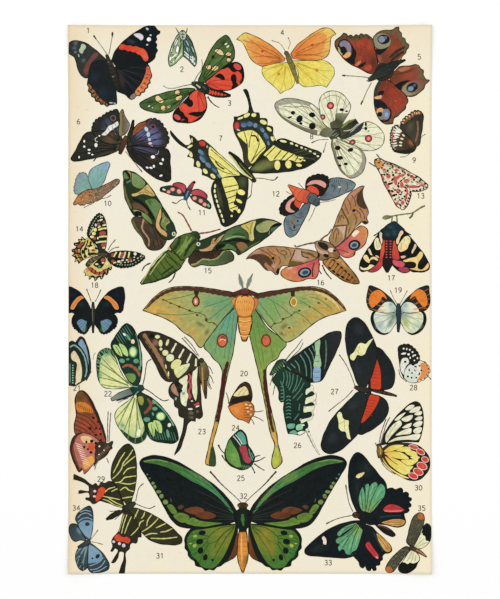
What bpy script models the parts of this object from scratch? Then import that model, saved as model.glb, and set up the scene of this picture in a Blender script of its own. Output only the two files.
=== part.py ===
"""Butterfly chart: one printed sheet of plate paper that lies face up on a table.

Metres, +Z up. The top of the printed face is towards +Y and its left edge towards -X.
The origin is on the table under the middle of the sheet. The sheet lies flat except
at its four corners, which lift a little from the table as old plate paper does.
"""

import bmesh
import bpy

# Driving dimensions
SHEET_WIDTH = 0.190
SHEET_HEIGHT = 0.287
PAPER_THICKNESS = 0.0003

# The flat field that touches the table; outside it both ways the corners curl up
FLAT_WIDTH = 0.120
FLAT_HEIGHT = 0.200
CURL_STEPS_X = 5
CURL_STEPS_Y = 6

# How far each corner stands above the table, by the signs of its x and y
CORNER_LIFTS = {
    (-1, 1): 0.0010,
    (1, 1): 0.0016,
    (-1, -1): 0.0014,
    (1, -1): 0.0022,
}

PAPER_COLOUR = (0.86, 0.80, 0.66, 1.0)
PAPER_ROUGHNESS = 0.75


def clear_scene():
    """Removes every object, so that the script can be run again in the same file."""
    for old in list(bpy.data.objects):
        bpy.data.objects.remove(old, do_unlink=True)


def paper_material():
    """Uncoated plate paper, toned cream with age."""
    material = bpy.data.materials.new("plate_paper")
    material.use_nodes = True
    shader = material.node_tree.nodes["Principled BSDF"]
    shader.inputs["Base Color"].default_value = PAPER_COLOUR
    shader.inputs["Roughness"].default_value = PAPER_ROUGHNESS
    shader.inputs["Metallic"].default_value = 0.0
    return material


def grid_line(index, steps, flat, full):
    """Where grid line number index lies along one side: one wide flat cell, then even steps to each edge."""
    beyond = index - steps
    if beyond <= 0:
        return -flat / 2 + beyond * (full - flat) / 2 / steps
    return flat / 2 + (beyond - 1) * (full - flat) / 2 / steps


def curl(distance, flat, full):
    """From 0 at the edge of the flat field to 1 at the edge of the sheet, starting level."""
    share = max(0.0, (abs(distance) - flat / 2) / ((full - flat) / 2))
    return share * share


def lift(x, y):
    """Height of the sheet's underside above the table at (x, y)."""
    corner = (1 if x > 0 else -1, 1 if y > 0 else -1)
    return CORNER_LIFTS[corner] * curl(x, FLAT_WIDTH, SHEET_WIDTH) * curl(y, FLAT_HEIGHT, SHEET_HEIGHT)


def sheet_underside():
    """The underside as an open grid, its cells wide where the sheet is flat and narrow where it curls."""
    columns = 2 * CURL_STEPS_X + 1
    rows = 2 * CURL_STEPS_Y + 1
    shape = bmesh.new()
    bmesh.ops.create_grid(shape, x_segments=columns, y_segments=rows, size=0.5)
    for vertex in shape.verts:
        column = round((vertex.co.x + 0.5) * columns)
        row = round((vertex.co.y + 0.5) * rows)
        x = grid_line(column, CURL_STEPS_X, FLAT_WIDTH, SHEET_WIDTH)
        y = grid_line(row, CURL_STEPS_Y, FLAT_HEIGHT, SHEET_HEIGHT)
        vertex.co = (x, y, lift(x, y))
    mesh = bpy.data.meshes.new("sheet")
    shape.to_mesh(mesh)
    shape.free()
    return mesh


def make_sheet(collection):
    """The sheet of paper: its underside, thickened upwards."""
    sheet = bpy.data.objects.new("sheet", sheet_underside())
    collection.objects.link(sheet)
    sheet.data.materials.append(paper_material())
    paper = sheet.modifiers.new("paper_thickness", "SOLIDIFY")
    paper.thickness = PAPER_THICKNESS
    paper.offset = 1.0
    paper.use_even_offset = True
    return sheet


def main():
    clear_scene()
    collection = bpy.data.collections.new("butterfly_chart")
    bpy.context.scene.collection.children.link(collection)
    make_sheet(collection)


main()
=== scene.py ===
"""Printed butterfly chart: a sheet of toned plate paper, printed with thirty-five butterflies and moths.

Every figure is drawn as a flat plate of ink: areas, lines and soft tints laid one over another in
millimetres from the sheet's top left corner, x to the right and y down. The layers are then cut into one
closed film that lies on the paper and follows the lift of its corners.
"""

import copy
import math
import random

import bmesh
import bpy
import numpy as np
from bpy.props import FloatProperty, FloatVectorProperty, PointerProperty
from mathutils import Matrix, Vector
from mathutils.geometry import delaunay_2d_cdt


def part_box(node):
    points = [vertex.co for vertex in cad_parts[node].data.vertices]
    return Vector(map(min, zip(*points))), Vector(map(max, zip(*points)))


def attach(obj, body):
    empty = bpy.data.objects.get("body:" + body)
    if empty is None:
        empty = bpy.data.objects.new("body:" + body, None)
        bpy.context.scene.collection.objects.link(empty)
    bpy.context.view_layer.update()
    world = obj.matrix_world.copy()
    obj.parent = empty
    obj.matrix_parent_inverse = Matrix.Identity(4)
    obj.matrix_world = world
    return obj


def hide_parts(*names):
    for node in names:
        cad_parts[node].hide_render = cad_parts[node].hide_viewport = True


bl_info = {
    "name": "Butterfly Chart",
    "version": (1, 0, 0),
    "blender": (4, 5, 0),
    "location": "View3D > Sidebar > Butterfly Chart",
    "description": "Builds a printed chart of butterflies and moths on toned plate paper",
    "category": "Object",
}

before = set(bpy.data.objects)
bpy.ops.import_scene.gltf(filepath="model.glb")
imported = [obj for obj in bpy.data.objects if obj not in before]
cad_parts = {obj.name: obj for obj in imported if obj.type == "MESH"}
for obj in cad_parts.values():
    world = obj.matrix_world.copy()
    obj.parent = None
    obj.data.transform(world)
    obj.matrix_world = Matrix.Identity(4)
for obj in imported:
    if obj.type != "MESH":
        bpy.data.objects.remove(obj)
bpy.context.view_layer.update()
LOW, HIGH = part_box("sheet")
MM = 0.001
WIDTH = (HIGH.x - LOW.x) / MM
HEIGHT = (HIGH.y - LOW.y) / MM

# The flat field of the sheet, in metres; outside it both ways the corners curl up
FLAT_WIDTH = 0.120
FLAT_HEIGHT = 0.200

# Drawing, in millimetres
CURVE_STEP = 0.55
LOBE_STEPS = 7
EDGE_MARGIN = 0.12
MARGIN_OVERLAP = 0.6
MERGE = 0.002

# Points inside areas wider than FILL_WIDTH both ways, in shifted rows, so that tints vary over them
FILL_WIDTH = 3
FILL_SPACING = 1.15
FILL_ROWS = FILL_SPACING * 0.87
FILL_JITTER = 0.2

# Brightness of a perfect white card under the studio light; inks and paper are mixed for it
STUDIO_LEVEL = 1.08

# Inks that many figures share
LINE = "16180f"
SOOT = "141714"
SOFT_LINE = "423f30"
FEELER = "3f3c30"

# A hand's unevenness: how much a stroke or an outline swells, how fast it wavers from point to point,
# and the range of its start. Strokes print a little wider than they are drawn
STROKE_GAIN = 1.14
STROKE_WAVER = 0.14
STROKE_PACE = 1.1
OUTLINE_WAVER = 0.25
OUTLINE_PACE = 0.47
WAVER_STARTS = 6

# How many of its thicknesses the film reaches down, a little way into the sheet
FILM_REACH = 1.3

# Flecks of a speckle: how many places are tried for each one, and how its size varies
SPECKLE_TRIES = 8
SPECKLE_SIZES = (0.6, 1.3)

# Figure numbers: advance and left bearing as shares of the height, curve step and stroke in millimetres
DIGIT_ADVANCE = 0.82
DIGIT_BEARING = 0.06
DIGIT_STEP = 0.25
DIGIT_STROKE = 0.36

# Stage, in metres
FLOOR_HALF_WIDTH = 3.0
FLOOR_CELLS = 8
LAMP_WIDTH = 0.9
LAMP_DEPTH = 1.2
LAMP_SIDE = 0.9
LAMP_BACK = 0.25
LAMP_HEIGHT = 1.1
SENSOR = 36.0


def linear(code):
    """Linear colour of a hexadecimal ink code, as a reflectance under the studio light."""
    channels = [int(code[i:i + 2], 16) / 255 for i in (0, 2, 4)]
    return [(c / 12.92 if c < 0.04045 else ((c + 0.055) / 1.055) ** 2.4) / STUDIO_LEVEL for c in channels]


# ------------------------------------------------------------------ the sheet's shape


def corner_lifts():
    """Height of the underside at each corner of the frame's sheet, by the signs of x and y."""
    lifts = {}
    for right in (-1, 1):
        for back in (-1, 1):
            corner = Vector((HIGH.x * right, HIGH.y * back))
            near = [v.co.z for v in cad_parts["sheet"].data.vertices if (v.co.xy - corner).length < MM]
            lifts[right, back] = min(near)
    return lifts


LIFTS = corner_lifts()
THICKNESS = HIGH.z - max(LIFTS.values())


def curl(distance, flat, full):
    """From 0 at the edge of the flat field to 1 at the edge of the sheet, starting level."""
    return np.maximum(0.0, (np.abs(distance) - flat / 2) / ((full - flat) / 2)) ** 2


def underside(x, y):
    """Height of the sheet's underside at arrays of x and y, in metres."""
    bend = curl(x, FLAT_WIDTH, HIGH.x - LOW.x) * curl(y, FLAT_HEIGHT, HIGH.y - LOW.y)
    back = np.where(x > 0, LIFTS[1, 1], LIFTS[-1, 1])
    front = np.where(x > 0, LIFTS[1, -1], LIFTS[-1, -1])
    return bend * np.where(y > 0, back, front)


def on_sheet(points, rise):
    """Places in metres of points in sheet millimetres, at a height of rise above the underside."""
    x = LOW.x + points[:, 0] * MM
    y = HIGH.y - points[:, 1] * MM
    return np.column_stack([x, y, underside(x, y) + rise])


# ------------------------------------------------------------------ lines and outlines


def parse(path):
    """Points of a path written as "x,y x,y ...", and which of them are corners, marked with !."""
    words = path.split()
    points = np.array([[float(v) for v in word.rstrip("!").split(",")] for word in words])
    return points, [word.endswith("!") for word in words]


def smooth(path, closed=False, step=CURVE_STEP):
    """A curve through a path, in even steps and sharp only at its corners, and where each point is in it."""
    points, sharp = parse(path)
    count = len(points)
    spans = count if closed else count - 1
    line, starts = [], []
    for i in range(spans):
        starts.append(len(line))
        j = (i + 1) % count
        start, end = points[i], points[j]
        span = np.linalg.norm(end - start) + 1e-6
        chord = (end - start) / span
        slope_in, slope_out = chord, chord
        if not sharp[i] and (closed or i > 0):
            slope_in = tangent(points[i - 1], start, end)
        if not sharp[j] and (closed or i < spans - 1):
            slope_out = tangent(start, end, points[(j + 1) % count])
        steps = max(1, math.ceil(span / step))
        for k in range(steps):
            t = k / steps
            line.append(hermite(start, end, slope_in * span, slope_out * span, t))
    if not closed:
        line.append(points[-1])
    return np.array(line), starts


def tangent(before, here, after):
    """Direction of a smooth curve at a point between its neighbours."""
    first, second = np.linalg.norm(here - before) + 1e-6, np.linalg.norm(after - here) + 1e-6
    return ((here - before) / first * second + (after - here) / second * first) / (first + second)


def hermite(start, end, slope_in, slope_out, t):
    """Point at t on the cubic that leaves start along slope_in and reaches end along slope_out."""
    t2, t3 = t * t, t * t * t
    return ((2 * t3 - 3 * t2 + 1) * start + (t3 - 2 * t2 + t) * slope_in
            + (3 * t2 - 2 * t3) * end + (t3 - t2) * slope_out)


def ellipse(x, y, rx, ry, turn=0.0):
    """Outline of an ellipse turned by an angle in degrees."""
    steps = max(8, math.ceil(2 * math.pi * max(rx, ry) / CURVE_STEP))
    angle = np.linspace(0, 2 * math.pi, steps, endpoint=False)
    across, down = rx * np.cos(angle), ry * np.sin(angle)
    c, s = math.cos(math.radians(turn)), math.sin(math.radians(turn))
    return np.column_stack([x + across * c - down * s, y + across * s + down * c])


def sides(line, widths):
    """The two sides of a stroke along a line of points, with a width for each point."""
    ahead = np.gradient(line, axis=0)
    ahead /= np.linalg.norm(ahead, axis=1)[:, None] + 1e-9
    normal = np.column_stack([-ahead[:, 1], ahead[:, 0]]) * (np.asarray(widths) / 2)[:, None]
    return line + normal, line - normal


def ribbon(line, widths):
    """The four-sided pieces of a stroke along a line of points."""
    left, right = sides(line, widths)
    return [np.array([left[i], left[i + 1], right[i + 1], right[i]]) for i in range(len(line) - 1)]


def spread(values, count):
    """Values eased over a number of points."""
    values = np.atleast_1d(values)
    if len(values) == 1:
        return np.full(count, float(values[0]))
    return np.interp(np.linspace(0, 1, count), np.linspace(0, 1, len(values)), values)


def even(line, count):
    """Points at even distances along a line, its ends left out."""
    lengths = np.insert(np.cumsum(np.linalg.norm(np.diff(line, axis=0), axis=1)), 0, 0.0)
    at = (np.arange(count) + 0.5) / count * lengths[-1]
    return np.column_stack([np.interp(at, lengths, line[:, 0]), np.interp(at, lengths, line[:, 1])])


def inward(stretch, loop):
    """Unit normals along a stretch of a closed loop that point into it."""
    ahead = np.gradient(stretch, axis=0)
    ahead /= np.linalg.norm(ahead, axis=1)[:, None] + 1e-9
    x, y = loop[:, 0], loop[:, 1]
    turn = 1 if (x * np.roll(y, -1) - y * np.roll(x, -1)).sum() > 0 else -1
    return np.column_stack([-ahead[:, 1], ahead[:, 0]]) * turn


def scallop(loop, starts, first, last, count, depth):
    """Cuts a stretch of an outline into lobes, or into sharp teeth if depth is negative."""
    begin, end = starts[first], starts[last] if last < len(starts) else len(loop)
    fine = LOBE_STEPS * count
    stretch = np.take(loop, range(begin, end + 1), axis=0, mode="wrap")
    lengths = np.insert(np.cumsum(np.linalg.norm(np.diff(stretch, axis=0), axis=1)), 0, 0.0)
    at = np.linspace(0, lengths[-1], fine + 1)
    stretch = np.column_stack([np.interp(at, lengths, stretch[:, 0]), np.interp(at, lengths, stretch[:, 1])])
    wave = np.abs(np.sin(np.linspace(0, math.pi * count, fine + 1)))
    depths = depth * (1 - wave) if depth > 0 else -depth * wave
    stretch = stretch + inward(stretch, loop) * depths[:, None]
    grown = fine - (end - begin)
    moved = [moved_start(start, begin, end, fine, grown) for start in starts]
    return np.vstack([loop[:begin], stretch[:-1], loop[end:]]), moved


def moved_start(start, begin, end, fine, grown):
    """Where a point of an outline lies after the stretch from begin to end is cut into fine steps."""
    if start <= begin:
        return start
    if start >= end:
        return start + grown
    return begin + round((start - begin) * fine / (end - begin))


def inside(points, loop):
    """Which points lie inside a closed loop."""
    x, y = points[:, 0], points[:, 1]
    hit = np.zeros(len(points), bool)
    for (ax, ay), (bx, by) in zip(loop, np.roll(loop, -1, axis=0)):
        if ay != by:
            crosses = (ay > y) != (by > y)
            hit ^= crosses & (x < (bx - ax) * (y - ay) / (by - ay) + ax)
    return hit


# ------------------------------------------------------------------ a plate of inks


class Layer:
    """One layer of ink: loops that it fills, or the soft ellipse that it tints."""

    def __init__(self, loops, ink, hub, streak, within, soft=None, along=None, edge=None):
        self.loops = loops
        self.inks = [linear(code) for code in ink.split(">")]
        self.hub = hub
        self.streak = streak
        self.within = within
        self.soft = soft
        self.along = along
        self.edge = edge

    def colours(self, points):
        """Colour at each point: one ink, or inks that run from the hub outwards or along a line."""
        if len(self.inks) == 1:
            return np.tile(self.inks[0], (len(points), 1))
        if self.along is not None:
            start, end = self.along
            share = (points - start) @ (end - start) / ((end - start) @ (end - start))
        else:
            far = max(np.linalg.norm(loop - self.hub, axis=1).max() for loop in self.loops)
            share = np.linalg.norm(points - self.hub, axis=1) / far
        stops = np.linspace(0, 1, len(self.inks))
        return np.column_stack([np.interp(share, stops, [ink[i] for ink in self.inks]) for i in range(3)])

    def covers(self, points):
        """Which points the layer's loops cover."""
        found = np.zeros(len(points), bool)
        for loop in self.loops:
            low, high = loop.min(0), loop.max(0)
            near = np.flatnonzero(((points >= low) & (points <= high)).all(1) & ~found)
            if len(near):
                found[near[inside(points[near], loop)]] = True
        return found

    def weights(self, points):
        """Strength of a soft tint at each point."""
        x, y, rx, ry, turn, amount = self.soft
        c, s = math.cos(math.radians(turn)), math.sin(math.radians(turn))
        across = ((points[:, 0] - x) * c + (points[:, 1] - y) * s) / rx
        down = ((points[:, 1] - y) * c - (points[:, 0] - x) * s) / ry
        return amount * np.maximum(0.0, 1 - across ** 2 - down ** 2) ** 1.5


class Plate:
    """One figure of the chart, drawn layer by layer in sheet millimetres."""

    def __init__(self, name):
        self.name = name
        self.layers = []
        self.dice = random.Random(name)

    def add(self, loops, ink, within=None, hub=None, streak=None, **more):
        """Adds a layer; one drawn within another takes its hub and streaks and is cut by its outline."""
        if within is not None:
            parent = self.layers[within]
            hub = parent.hub if hub is None else hub
            streak = parent.streak if streak is None else streak
        hub = np.zeros(2) if hub is None else np.asarray(hub, float)
        self.layers.append(Layer(loops, ink, hub, streak or 0.0, within, **more))
        return len(self.layers) - 1

    def area(self, path, ink, within=None, edge=0.0, line=LINE, hub=None, streak=None, along=None,
             teeth=None):
        """A filled outline; edge is the width of the line round it, and teeth what scallop takes."""
        loop, starts = smooth(path, closed=True)
        if teeth is not None:
            loop, starts = scallop(loop, starts, *teeth)
        if within is None and hub is None:
            hub = loop[0]
        if along is not None:
            along = parse(along)[0]
        if within is None and streak is None:
            streak = 0.5
        shape = self.add([loop], ink, within, hub, streak, along=along, edge=(edge, line) if edge else None)
        self.layers[shape].starts = starts
        return shape

    def rim(self, shape, first, last, inset=0.0):
        """The stretch of an area's outline from one of its points to another, drawn in by inset."""
        loop, starts = self.layers[shape].loops[0], self.layers[shape].starts
        begin, end = starts[first % len(starts)], starts[last % len(starts)]
        if end <= begin:
            end += len(loop)
        picked = np.take(loop, range(begin, end + 1), axis=0, mode="wrap")
        return picked + inward(picked, loop) * np.asarray(inset).reshape(-1, 1)

    def margin(self, shape, first, last, widths, ink):
        """A band of ink along the inside of an outline, as wide as widths along it."""
        outer = self.rim(shape, first, last, -MARGIN_OVERLAP)
        inner = self.rim(shape, first, last, spread(widths, len(outer)))
        return self.add([np.vstack([outer, inner[::-1]])], ink, shape)

    def beads(self, shape, first, last, count, inset, rx, ink, ry=None):
        """A row of oval spots along the inside of an outline."""
        row = even(self.rim(shape, first, last, inset), count)
        ahead = np.gradient(row, axis=0)
        turns = np.degrees(np.arctan2(ahead[:, 1], ahead[:, 0]))
        loops = [ellipse(*spot, rx, ry or rx, turn) for spot, turn in zip(row, turns)]
        return self.add(loops, ink, shape)

    def fan(self, shape, first, last, count, width=(0.32, 0.18), ink=LINE, hub=None, bow=0.05, start=0.12,
            inset=0.0):
        """Veins that spread from a wing's root to a stretch of its outline."""
        root = self.layers[shape].hub if hub is None else hub
        tips = even(self.rim(shape, first, last, inset), count)
        self.veins(root, tips, width, ink, shape, bow, start)

    def line(self, path, width=0.3, ink=LINE, within=None, club=0.0):
        """A stroke; width is one value or several eased along it, and club a knob at its end."""
        points = smooth(path)[0]
        return self.stroke(points, spread(width, len(points)), ink, within, club)

    def waver(self, count, amount, pace):
        """Shares of a width at a number of points along a line, as an uneven hand draws it."""
        return 1 + amount * np.sin(np.arange(count) * pace + self.dice.uniform(0, WAVER_STARTS))

    def stroke(self, points, widths, ink, within=None, club=0.0):
        """A stroke along a line of points with a hand's unevenness."""
        waver = STROKE_GAIN * self.waver(len(points), STROKE_WAVER, STROKE_PACE)
        quads = ribbon(points, widths * waver)
        if club:
            ahead = points[-1] - points[-2]
            turn = math.degrees(math.atan2(ahead[1], ahead[0]))
            quads.append(ellipse(*(points[-1] - ahead * 0.4), club * 1.7, club * 0.8, turn))
        return self.add(quads, ink, within, streak=0.0)

    def lines(self, paths, width=0.3, ink=LINE, within=None, club=0.0):
        """Several strokes, with their paths parted by /."""
        for path in paths.split("/"):
            self.line(path, width, ink, within, club)

    def dots(self, places, ink, r=0.5, within=None, ry=None, turn=0.0, ring=0.0, ring_ink=LINE):
        """Round or oval spots; a place is x,y or x,y,r or x,y,rx,ry or x,y,rx,ry,turn."""
        loops, rings = [], []
        for word in places.split():
            values = [float(v) for v in word.split(",")]
            x, y, rx = values[0], values[1], values[2] if len(values) > 2 else r
            down = values[3] if len(values) > 3 else (ry or rx)
            lean = values[4] if len(values) > 4 else turn
            loops.append(ellipse(x, y, rx, down, lean))
            rings.append(ellipse(x, y, rx + ring, down + ring, lean))
        if ring:
            self.add(rings, ring_ink, within)
        return self.add(loops, ink, within)

    def glow(self, x, y, rx, ry, ink, amount=0.8, turn=0.0, within=None):
        """A soft oval tint over what is drawn so far."""
        box = ellipse(x, y, rx, ry, turn)
        return self.add([box], ink, within, soft=(x, y, rx, ry, turn, amount))

    def glows(self, places, ink, amount=0.8, within=None):
        """Several soft tints; a place is x,y,rx,ry or x,y,rx,ry,turn."""
        for word in places.split():
            values = [float(v) for v in word.split(",")]
            self.glow(*values[:4], ink, amount, values[4] if len(values) > 4 else 0.0, within)

    def veins(self, hub, tips, width=(0.35, 0.2), ink=LINE, within=None, bow=0.06, start=0.1):
        """Veins that leave near a hub and bow a little on the way to their tips."""
        hub = np.array(hub, float)
        for i, tip in enumerate(parse(tips)[0] if isinstance(tips, str) else tips):
            reach = tip - hub
            side = np.array([-reach[1], reach[0]]) * bow * (1 if i % 2 else -1)
            t = np.linspace(start, 1, max(3, math.ceil(np.linalg.norm(reach) / CURVE_STEP)))[:, None]
            points = hub + reach * t + side * np.sin(math.pi * t)
            self.stroke(points, spread(width, len(points)), ink, within)

    def hatch(self, start, end, count, tip, width=0.25, ink=LINE, within=None):
        """Short parallel strokes, spaced evenly from start to end, that each run by the offset tip."""
        start, end, tip = (np.array(p, float) for p in (start, end, tip))
        for i in range(count):
            foot = start + (end - start) * i / max(1, count - 1)
            points = np.array([foot, foot + tip * 0.5, foot + tip])
            self.stroke(points, spread((width, width, width * 0.5), 3), ink, within)

    def body(self, path, widths, ink, rings=0, ring_ink=LINE, edge=0.3, line=LINE, ring_width=0.3):
        """A body as thick as widths along a path, with rings across it; inks run along it."""
        points = smooth(path)[0]
        left, right = sides(points, spread(widths, len(points)))
        loop = np.vstack([left, right[::-1]])
        ends = np.array([points[0], points[-1]])
        shape = self.add([loop], ink, None, points[0], 0.3, along=ends, edge=(edge, line) if edge else None)
        for i in range(rings):
            k = round((i + 0.7) * (len(points) - 1) / (rings + 0.2))
            k = min(max(k, 1), len(points) - 2)
            bulge = (points[k + 1] - points[k - 1]) * 0.5
            across = np.array([left[k], points[k] + bulge, right[k]])
            self.stroke(across, np.full(3, ring_width), ring_ink, shape)
        return shape

    def speckle(self, within, count, size, inks, stretch=1.6):
        """Many small flecks of ink at even places of a layer, each a little turned."""
        loop = self.layers[within].loops[0]
        low, high = loop.min(0), loop.max(0)
        groups = [[] for _ in inks]
        placed, tries = 0, 0
        while placed < count and tries < count * SPECKLE_TRIES:
            tries += 1
            spot = np.array([[self.dice.uniform(low[0], high[0]), self.dice.uniform(low[1], high[1])]])
            if inside(spot, loop)[0]:
                r = size * self.dice.uniform(*SPECKLE_SIZES)
                turn = self.dice.uniform(0, 180)
                groups[placed % len(inks)].append(ellipse(*spot[0], r * stretch, r / stretch, turn)[::2])
                placed += 1
        for group, ink in zip(groups, inks):
            self.add(group, ink, within)

    def mirror(self, first, axis):
        """Repeats the layers from the first on, turned over across the line x = axis."""
        shift = len(self.layers) - first
        for layer in self.layers[first:]:
            twin = copy.copy(layer)
            twin.loops = [loop[::-1] * (-1, 1) + (2 * axis, 0) for loop in layer.loops]
            twin.hub = layer.hub * (-1, 1) + (2 * axis, 0)
            if layer.within is not None:
                twin.within = layer.within + shift
            if layer.along is not None:
                twin.along = layer.along * (-1, 1) + (2 * axis, 0)
            if layer.soft is not None:
                x, y, rx, ry, turn, amount = layer.soft
                twin.soft = (2 * axis - x, y, rx, ry, -turn, amount)
            self.layers.append(twin)
        return shift

    def ordered(self):
        """Layers in printing order, with each outline after everything drawn within its area."""
        last = {}
        for i, layer in enumerate(self.layers):
            root = i
            while root is not None:
                last[root] = i
                root = self.layers[root].within
        after = {}
        for i, layer in enumerate(self.layers):
            if layer.edge:
                after.setdefault(last[i], []).append(i)
        order = []
        for i, layer in enumerate(self.layers):
            order.append((i, layer))
            order += [(None, self.outline(self.layers[k])) for k in sorted(after.get(i, []), reverse=True)]
        return order

    def outline(self, layer):
        """The line of ink round an area."""
        width, ink = layer.edge
        loop = np.vstack([layer.loops[0], layer.loops[0][:2]])
        waver = self.waver(len(loop), OUTLINE_WAVER, OUTLINE_PACE)
        return Layer(ribbon(loop, width * waver), ink, layer.hub, 0.0, layer.within)


def fill_points(layers, dice):
    """Points scattered evenly inside the larger areas, so that tints can vary over them."""
    loops = [loop for _, layer in layers for loop in layer.loops if np.ptp(loop, axis=0).min() > FILL_WIDTH]
    if not loops:
        return np.zeros((0, 2))
    low = np.min([loop.min(0) for loop in loops], axis=0)
    high = np.max([loop.max(0) for loop in loops], axis=0)
    rows = []
    for j, y in enumerate(np.arange(low[1], high[1], FILL_ROWS)):
        for x in np.arange(low[0] + (j % 2) * FILL_SPACING / 2, high[0], FILL_SPACING):
            rows.append([v + dice.uniform(-FILL_JITTER, FILL_JITTER) for v in (x, y)])
    points = np.array(rows)
    kept = np.zeros(len(points), bool)
    for loop in loops:
        kept |= inside(points, loop)
    return points[kept]


def cut_plate(layers, dice):
    """Cuts all outlines of the layers into one triangulation: its points and triangles."""
    points, edges = [], []
    frame_loop = np.array([(EDGE_MARGIN, EDGE_MARGIN), (WIDTH - EDGE_MARGIN, EDGE_MARGIN),
                           (WIDTH - EDGE_MARGIN, HEIGHT - EDGE_MARGIN), (EDGE_MARGIN, HEIGHT - EDGE_MARGIN)])
    for loop in [frame_loop] + [loop for _, layer in layers if not layer.soft for loop in layer.loops]:
        first = len(points)
        points += [Vector(p) for p in loop]
        edges += [(first + i, first + (i + 1) % len(loop)) for i in range(len(loop))]
    points += [Vector(p) for p in fill_points(layers, dice)]
    made = delaunay_2d_cdt(points, edges, [], 0, MERGE)
    places = np.array([tuple(p) for p in made[0]])
    triangles = np.array([f for f in made[2] if len(f) == 3])
    return places, triangles


def ink_plate(plate):
    """Triangulates a plate and works out each triangle corner's ink, hub and streaks."""
    layers = plate.ordered()
    places, triangles = cut_plate(layers, plate.dice)
    centres = places[triangles].mean(1)
    corners = places[triangles].reshape(-1, 2)
    colours = np.zeros((len(triangles), 3, 3))
    hubs = np.zeros((len(triangles), 3))
    printed = np.zeros(len(triangles), bool)
    masks = {}
    for index, layer in layers:
        mask = layer.covers(centres) if not layer.soft else printed.copy()
        if layer.within is not None:
            mask &= masks[layer.within]
        if index is not None:
            masks[index] = mask
        rows = np.repeat(mask, 3)
        if not mask.any():
            continue
        ink = layer.colours(corners[rows]).reshape(-1, 3, 3)
        if layer.soft:
            share = layer.weights(corners[rows]).reshape(-1, 3, 1)
            colours[mask] = colours[mask] * (1 - share) + ink * share
            continue
        colours[mask] = ink
        hubs[mask] = [*layer.hub, layer.streak]
        printed |= mask
    on_paper = ((centres > EDGE_MARGIN) & (centres < (WIDTH - EDGE_MARGIN, HEIGHT - EDGE_MARGIN))).all(1)
    keep = printed & on_paper
    return places, triangles[keep], colours[keep], hubs[keep]


def film_mesh(plate, film):
    """One closed film of ink that lies on the paper, with its inks and hubs at its corners."""
    places, triangles, colours, hubs = ink_plate(plate)
    used, flat = np.unique(triangles, return_inverse=True)
    triangles, places = flat.reshape(-1, 3), places[used]
    count = len(places)
    turn = np.cross(places[triangles[:, 1]] - places[triangles[:, 0]],
                    places[triangles[:, 2]] - places[triangles[:, 0]]) > 0
    triangles[turn] = triangles[turn][:, ::-1]
    colours[turn] = colours[turn][:, ::-1]
    top, bottom = triangles, triangles[:, ::-1] + count
    edges = np.vstack([triangles[:, [0, 1]], triangles[:, [1, 2]], triangles[:, [2, 0]]])
    owner = np.tile(np.arange(len(triangles)), 3)
    keys = np.sort(edges, axis=1) @ np.array([count, 1])
    _, first, times = np.unique(keys, return_index=True, return_counts=True)
    rim, rim_owner = edges[first[times == 1]], owner[first[times == 1]]
    walls = np.column_stack([rim[:, 1], rim[:, 0], rim[:, 0] + count, rim[:, 1] + count])
    verts = np.vstack([on_sheet(places, THICKNESS), on_sheet(places, THICKNESS - FILM_REACH * film)])
    mesh = bpy.data.meshes.new(plate.name)
    mesh.from_pydata(verts.tolist(), [], top.tolist() + bottom.tolist() + walls.tolist())
    wall_colours = np.repeat(colours[rim_owner].mean(1)[:, None], 4, axis=1)
    ink = np.vstack([colours.reshape(-1, 3), colours[:, ::-1].reshape(-1, 3), wall_colours.reshape(-1, 3)])
    hub = np.vstack([np.repeat(hubs, 3, axis=0)] * 2 + [np.repeat(hubs[rim_owner], 4, axis=0)])
    store(mesh, "ink", "FLOAT_COLOR", "color", np.column_stack([ink, np.ones(len(ink))]))
    store(mesh, "hub", "FLOAT_VECTOR", "vector", hub)
    mesh.update()
    return mesh


def store(mesh, name, kind, field, values):
    """Writes values for a mesh's corners to an attribute."""
    attribute = mesh.attributes.new(name, kind, "CORNER")
    attribute.data.foreach_set(field, np.asarray(values, np.float32).ravel())


def link(name, mesh, material):
    """A named piece that rides on the frame and takes its finish from a material slot."""
    piece = bpy.data.objects.new(name, mesh)
    bpy.context.scene.collection.objects.link(piece)
    mesh.materials.append(material)
    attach(piece, "root")
    return piece


# ------------------------------------------------------------------ materials


class Value:
    """A shader socket whose arithmetic adds Math nodes."""

    def __init__(self, tree, socket):
        self.tree = tree
        self.socket = socket

    def math(self, operation, *others, first=None):
        """A Math node on this value and others, or with another value first."""
        node = self.tree.nodes.new("ShaderNodeMath")
        node.operation = operation
        for place, value in enumerate([first if first is not None else self, *others]):
            feed(self.tree, node.inputs[place], value)
        return Value(self.tree, node.outputs[0])

    def __add__(self, other):
        return self.math("ADD", other)

    def __sub__(self, other):
        return self.math("SUBTRACT", other)

    def __rsub__(self, other):
        return self.math("SUBTRACT", self, first=other)

    def __mul__(self, other):
        return self.math("MULTIPLY", other)

    def __truediv__(self, other):
        return self.math("DIVIDE", other)

    __radd__ = __add__
    __rmul__ = __mul__

    def clamped(self):
        """The value held between 0 and 1."""
        held = self.math("MULTIPLY", 1.0)
        held.socket.node.use_clamp = True
        return held


def feed(tree, socket, value):
    """Links a value to a socket, or sets the socket to a plain number or colour."""
    if isinstance(value, Value):
        tree.links.new(value.socket, socket)
    else:
        socket.default_value = value


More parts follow.
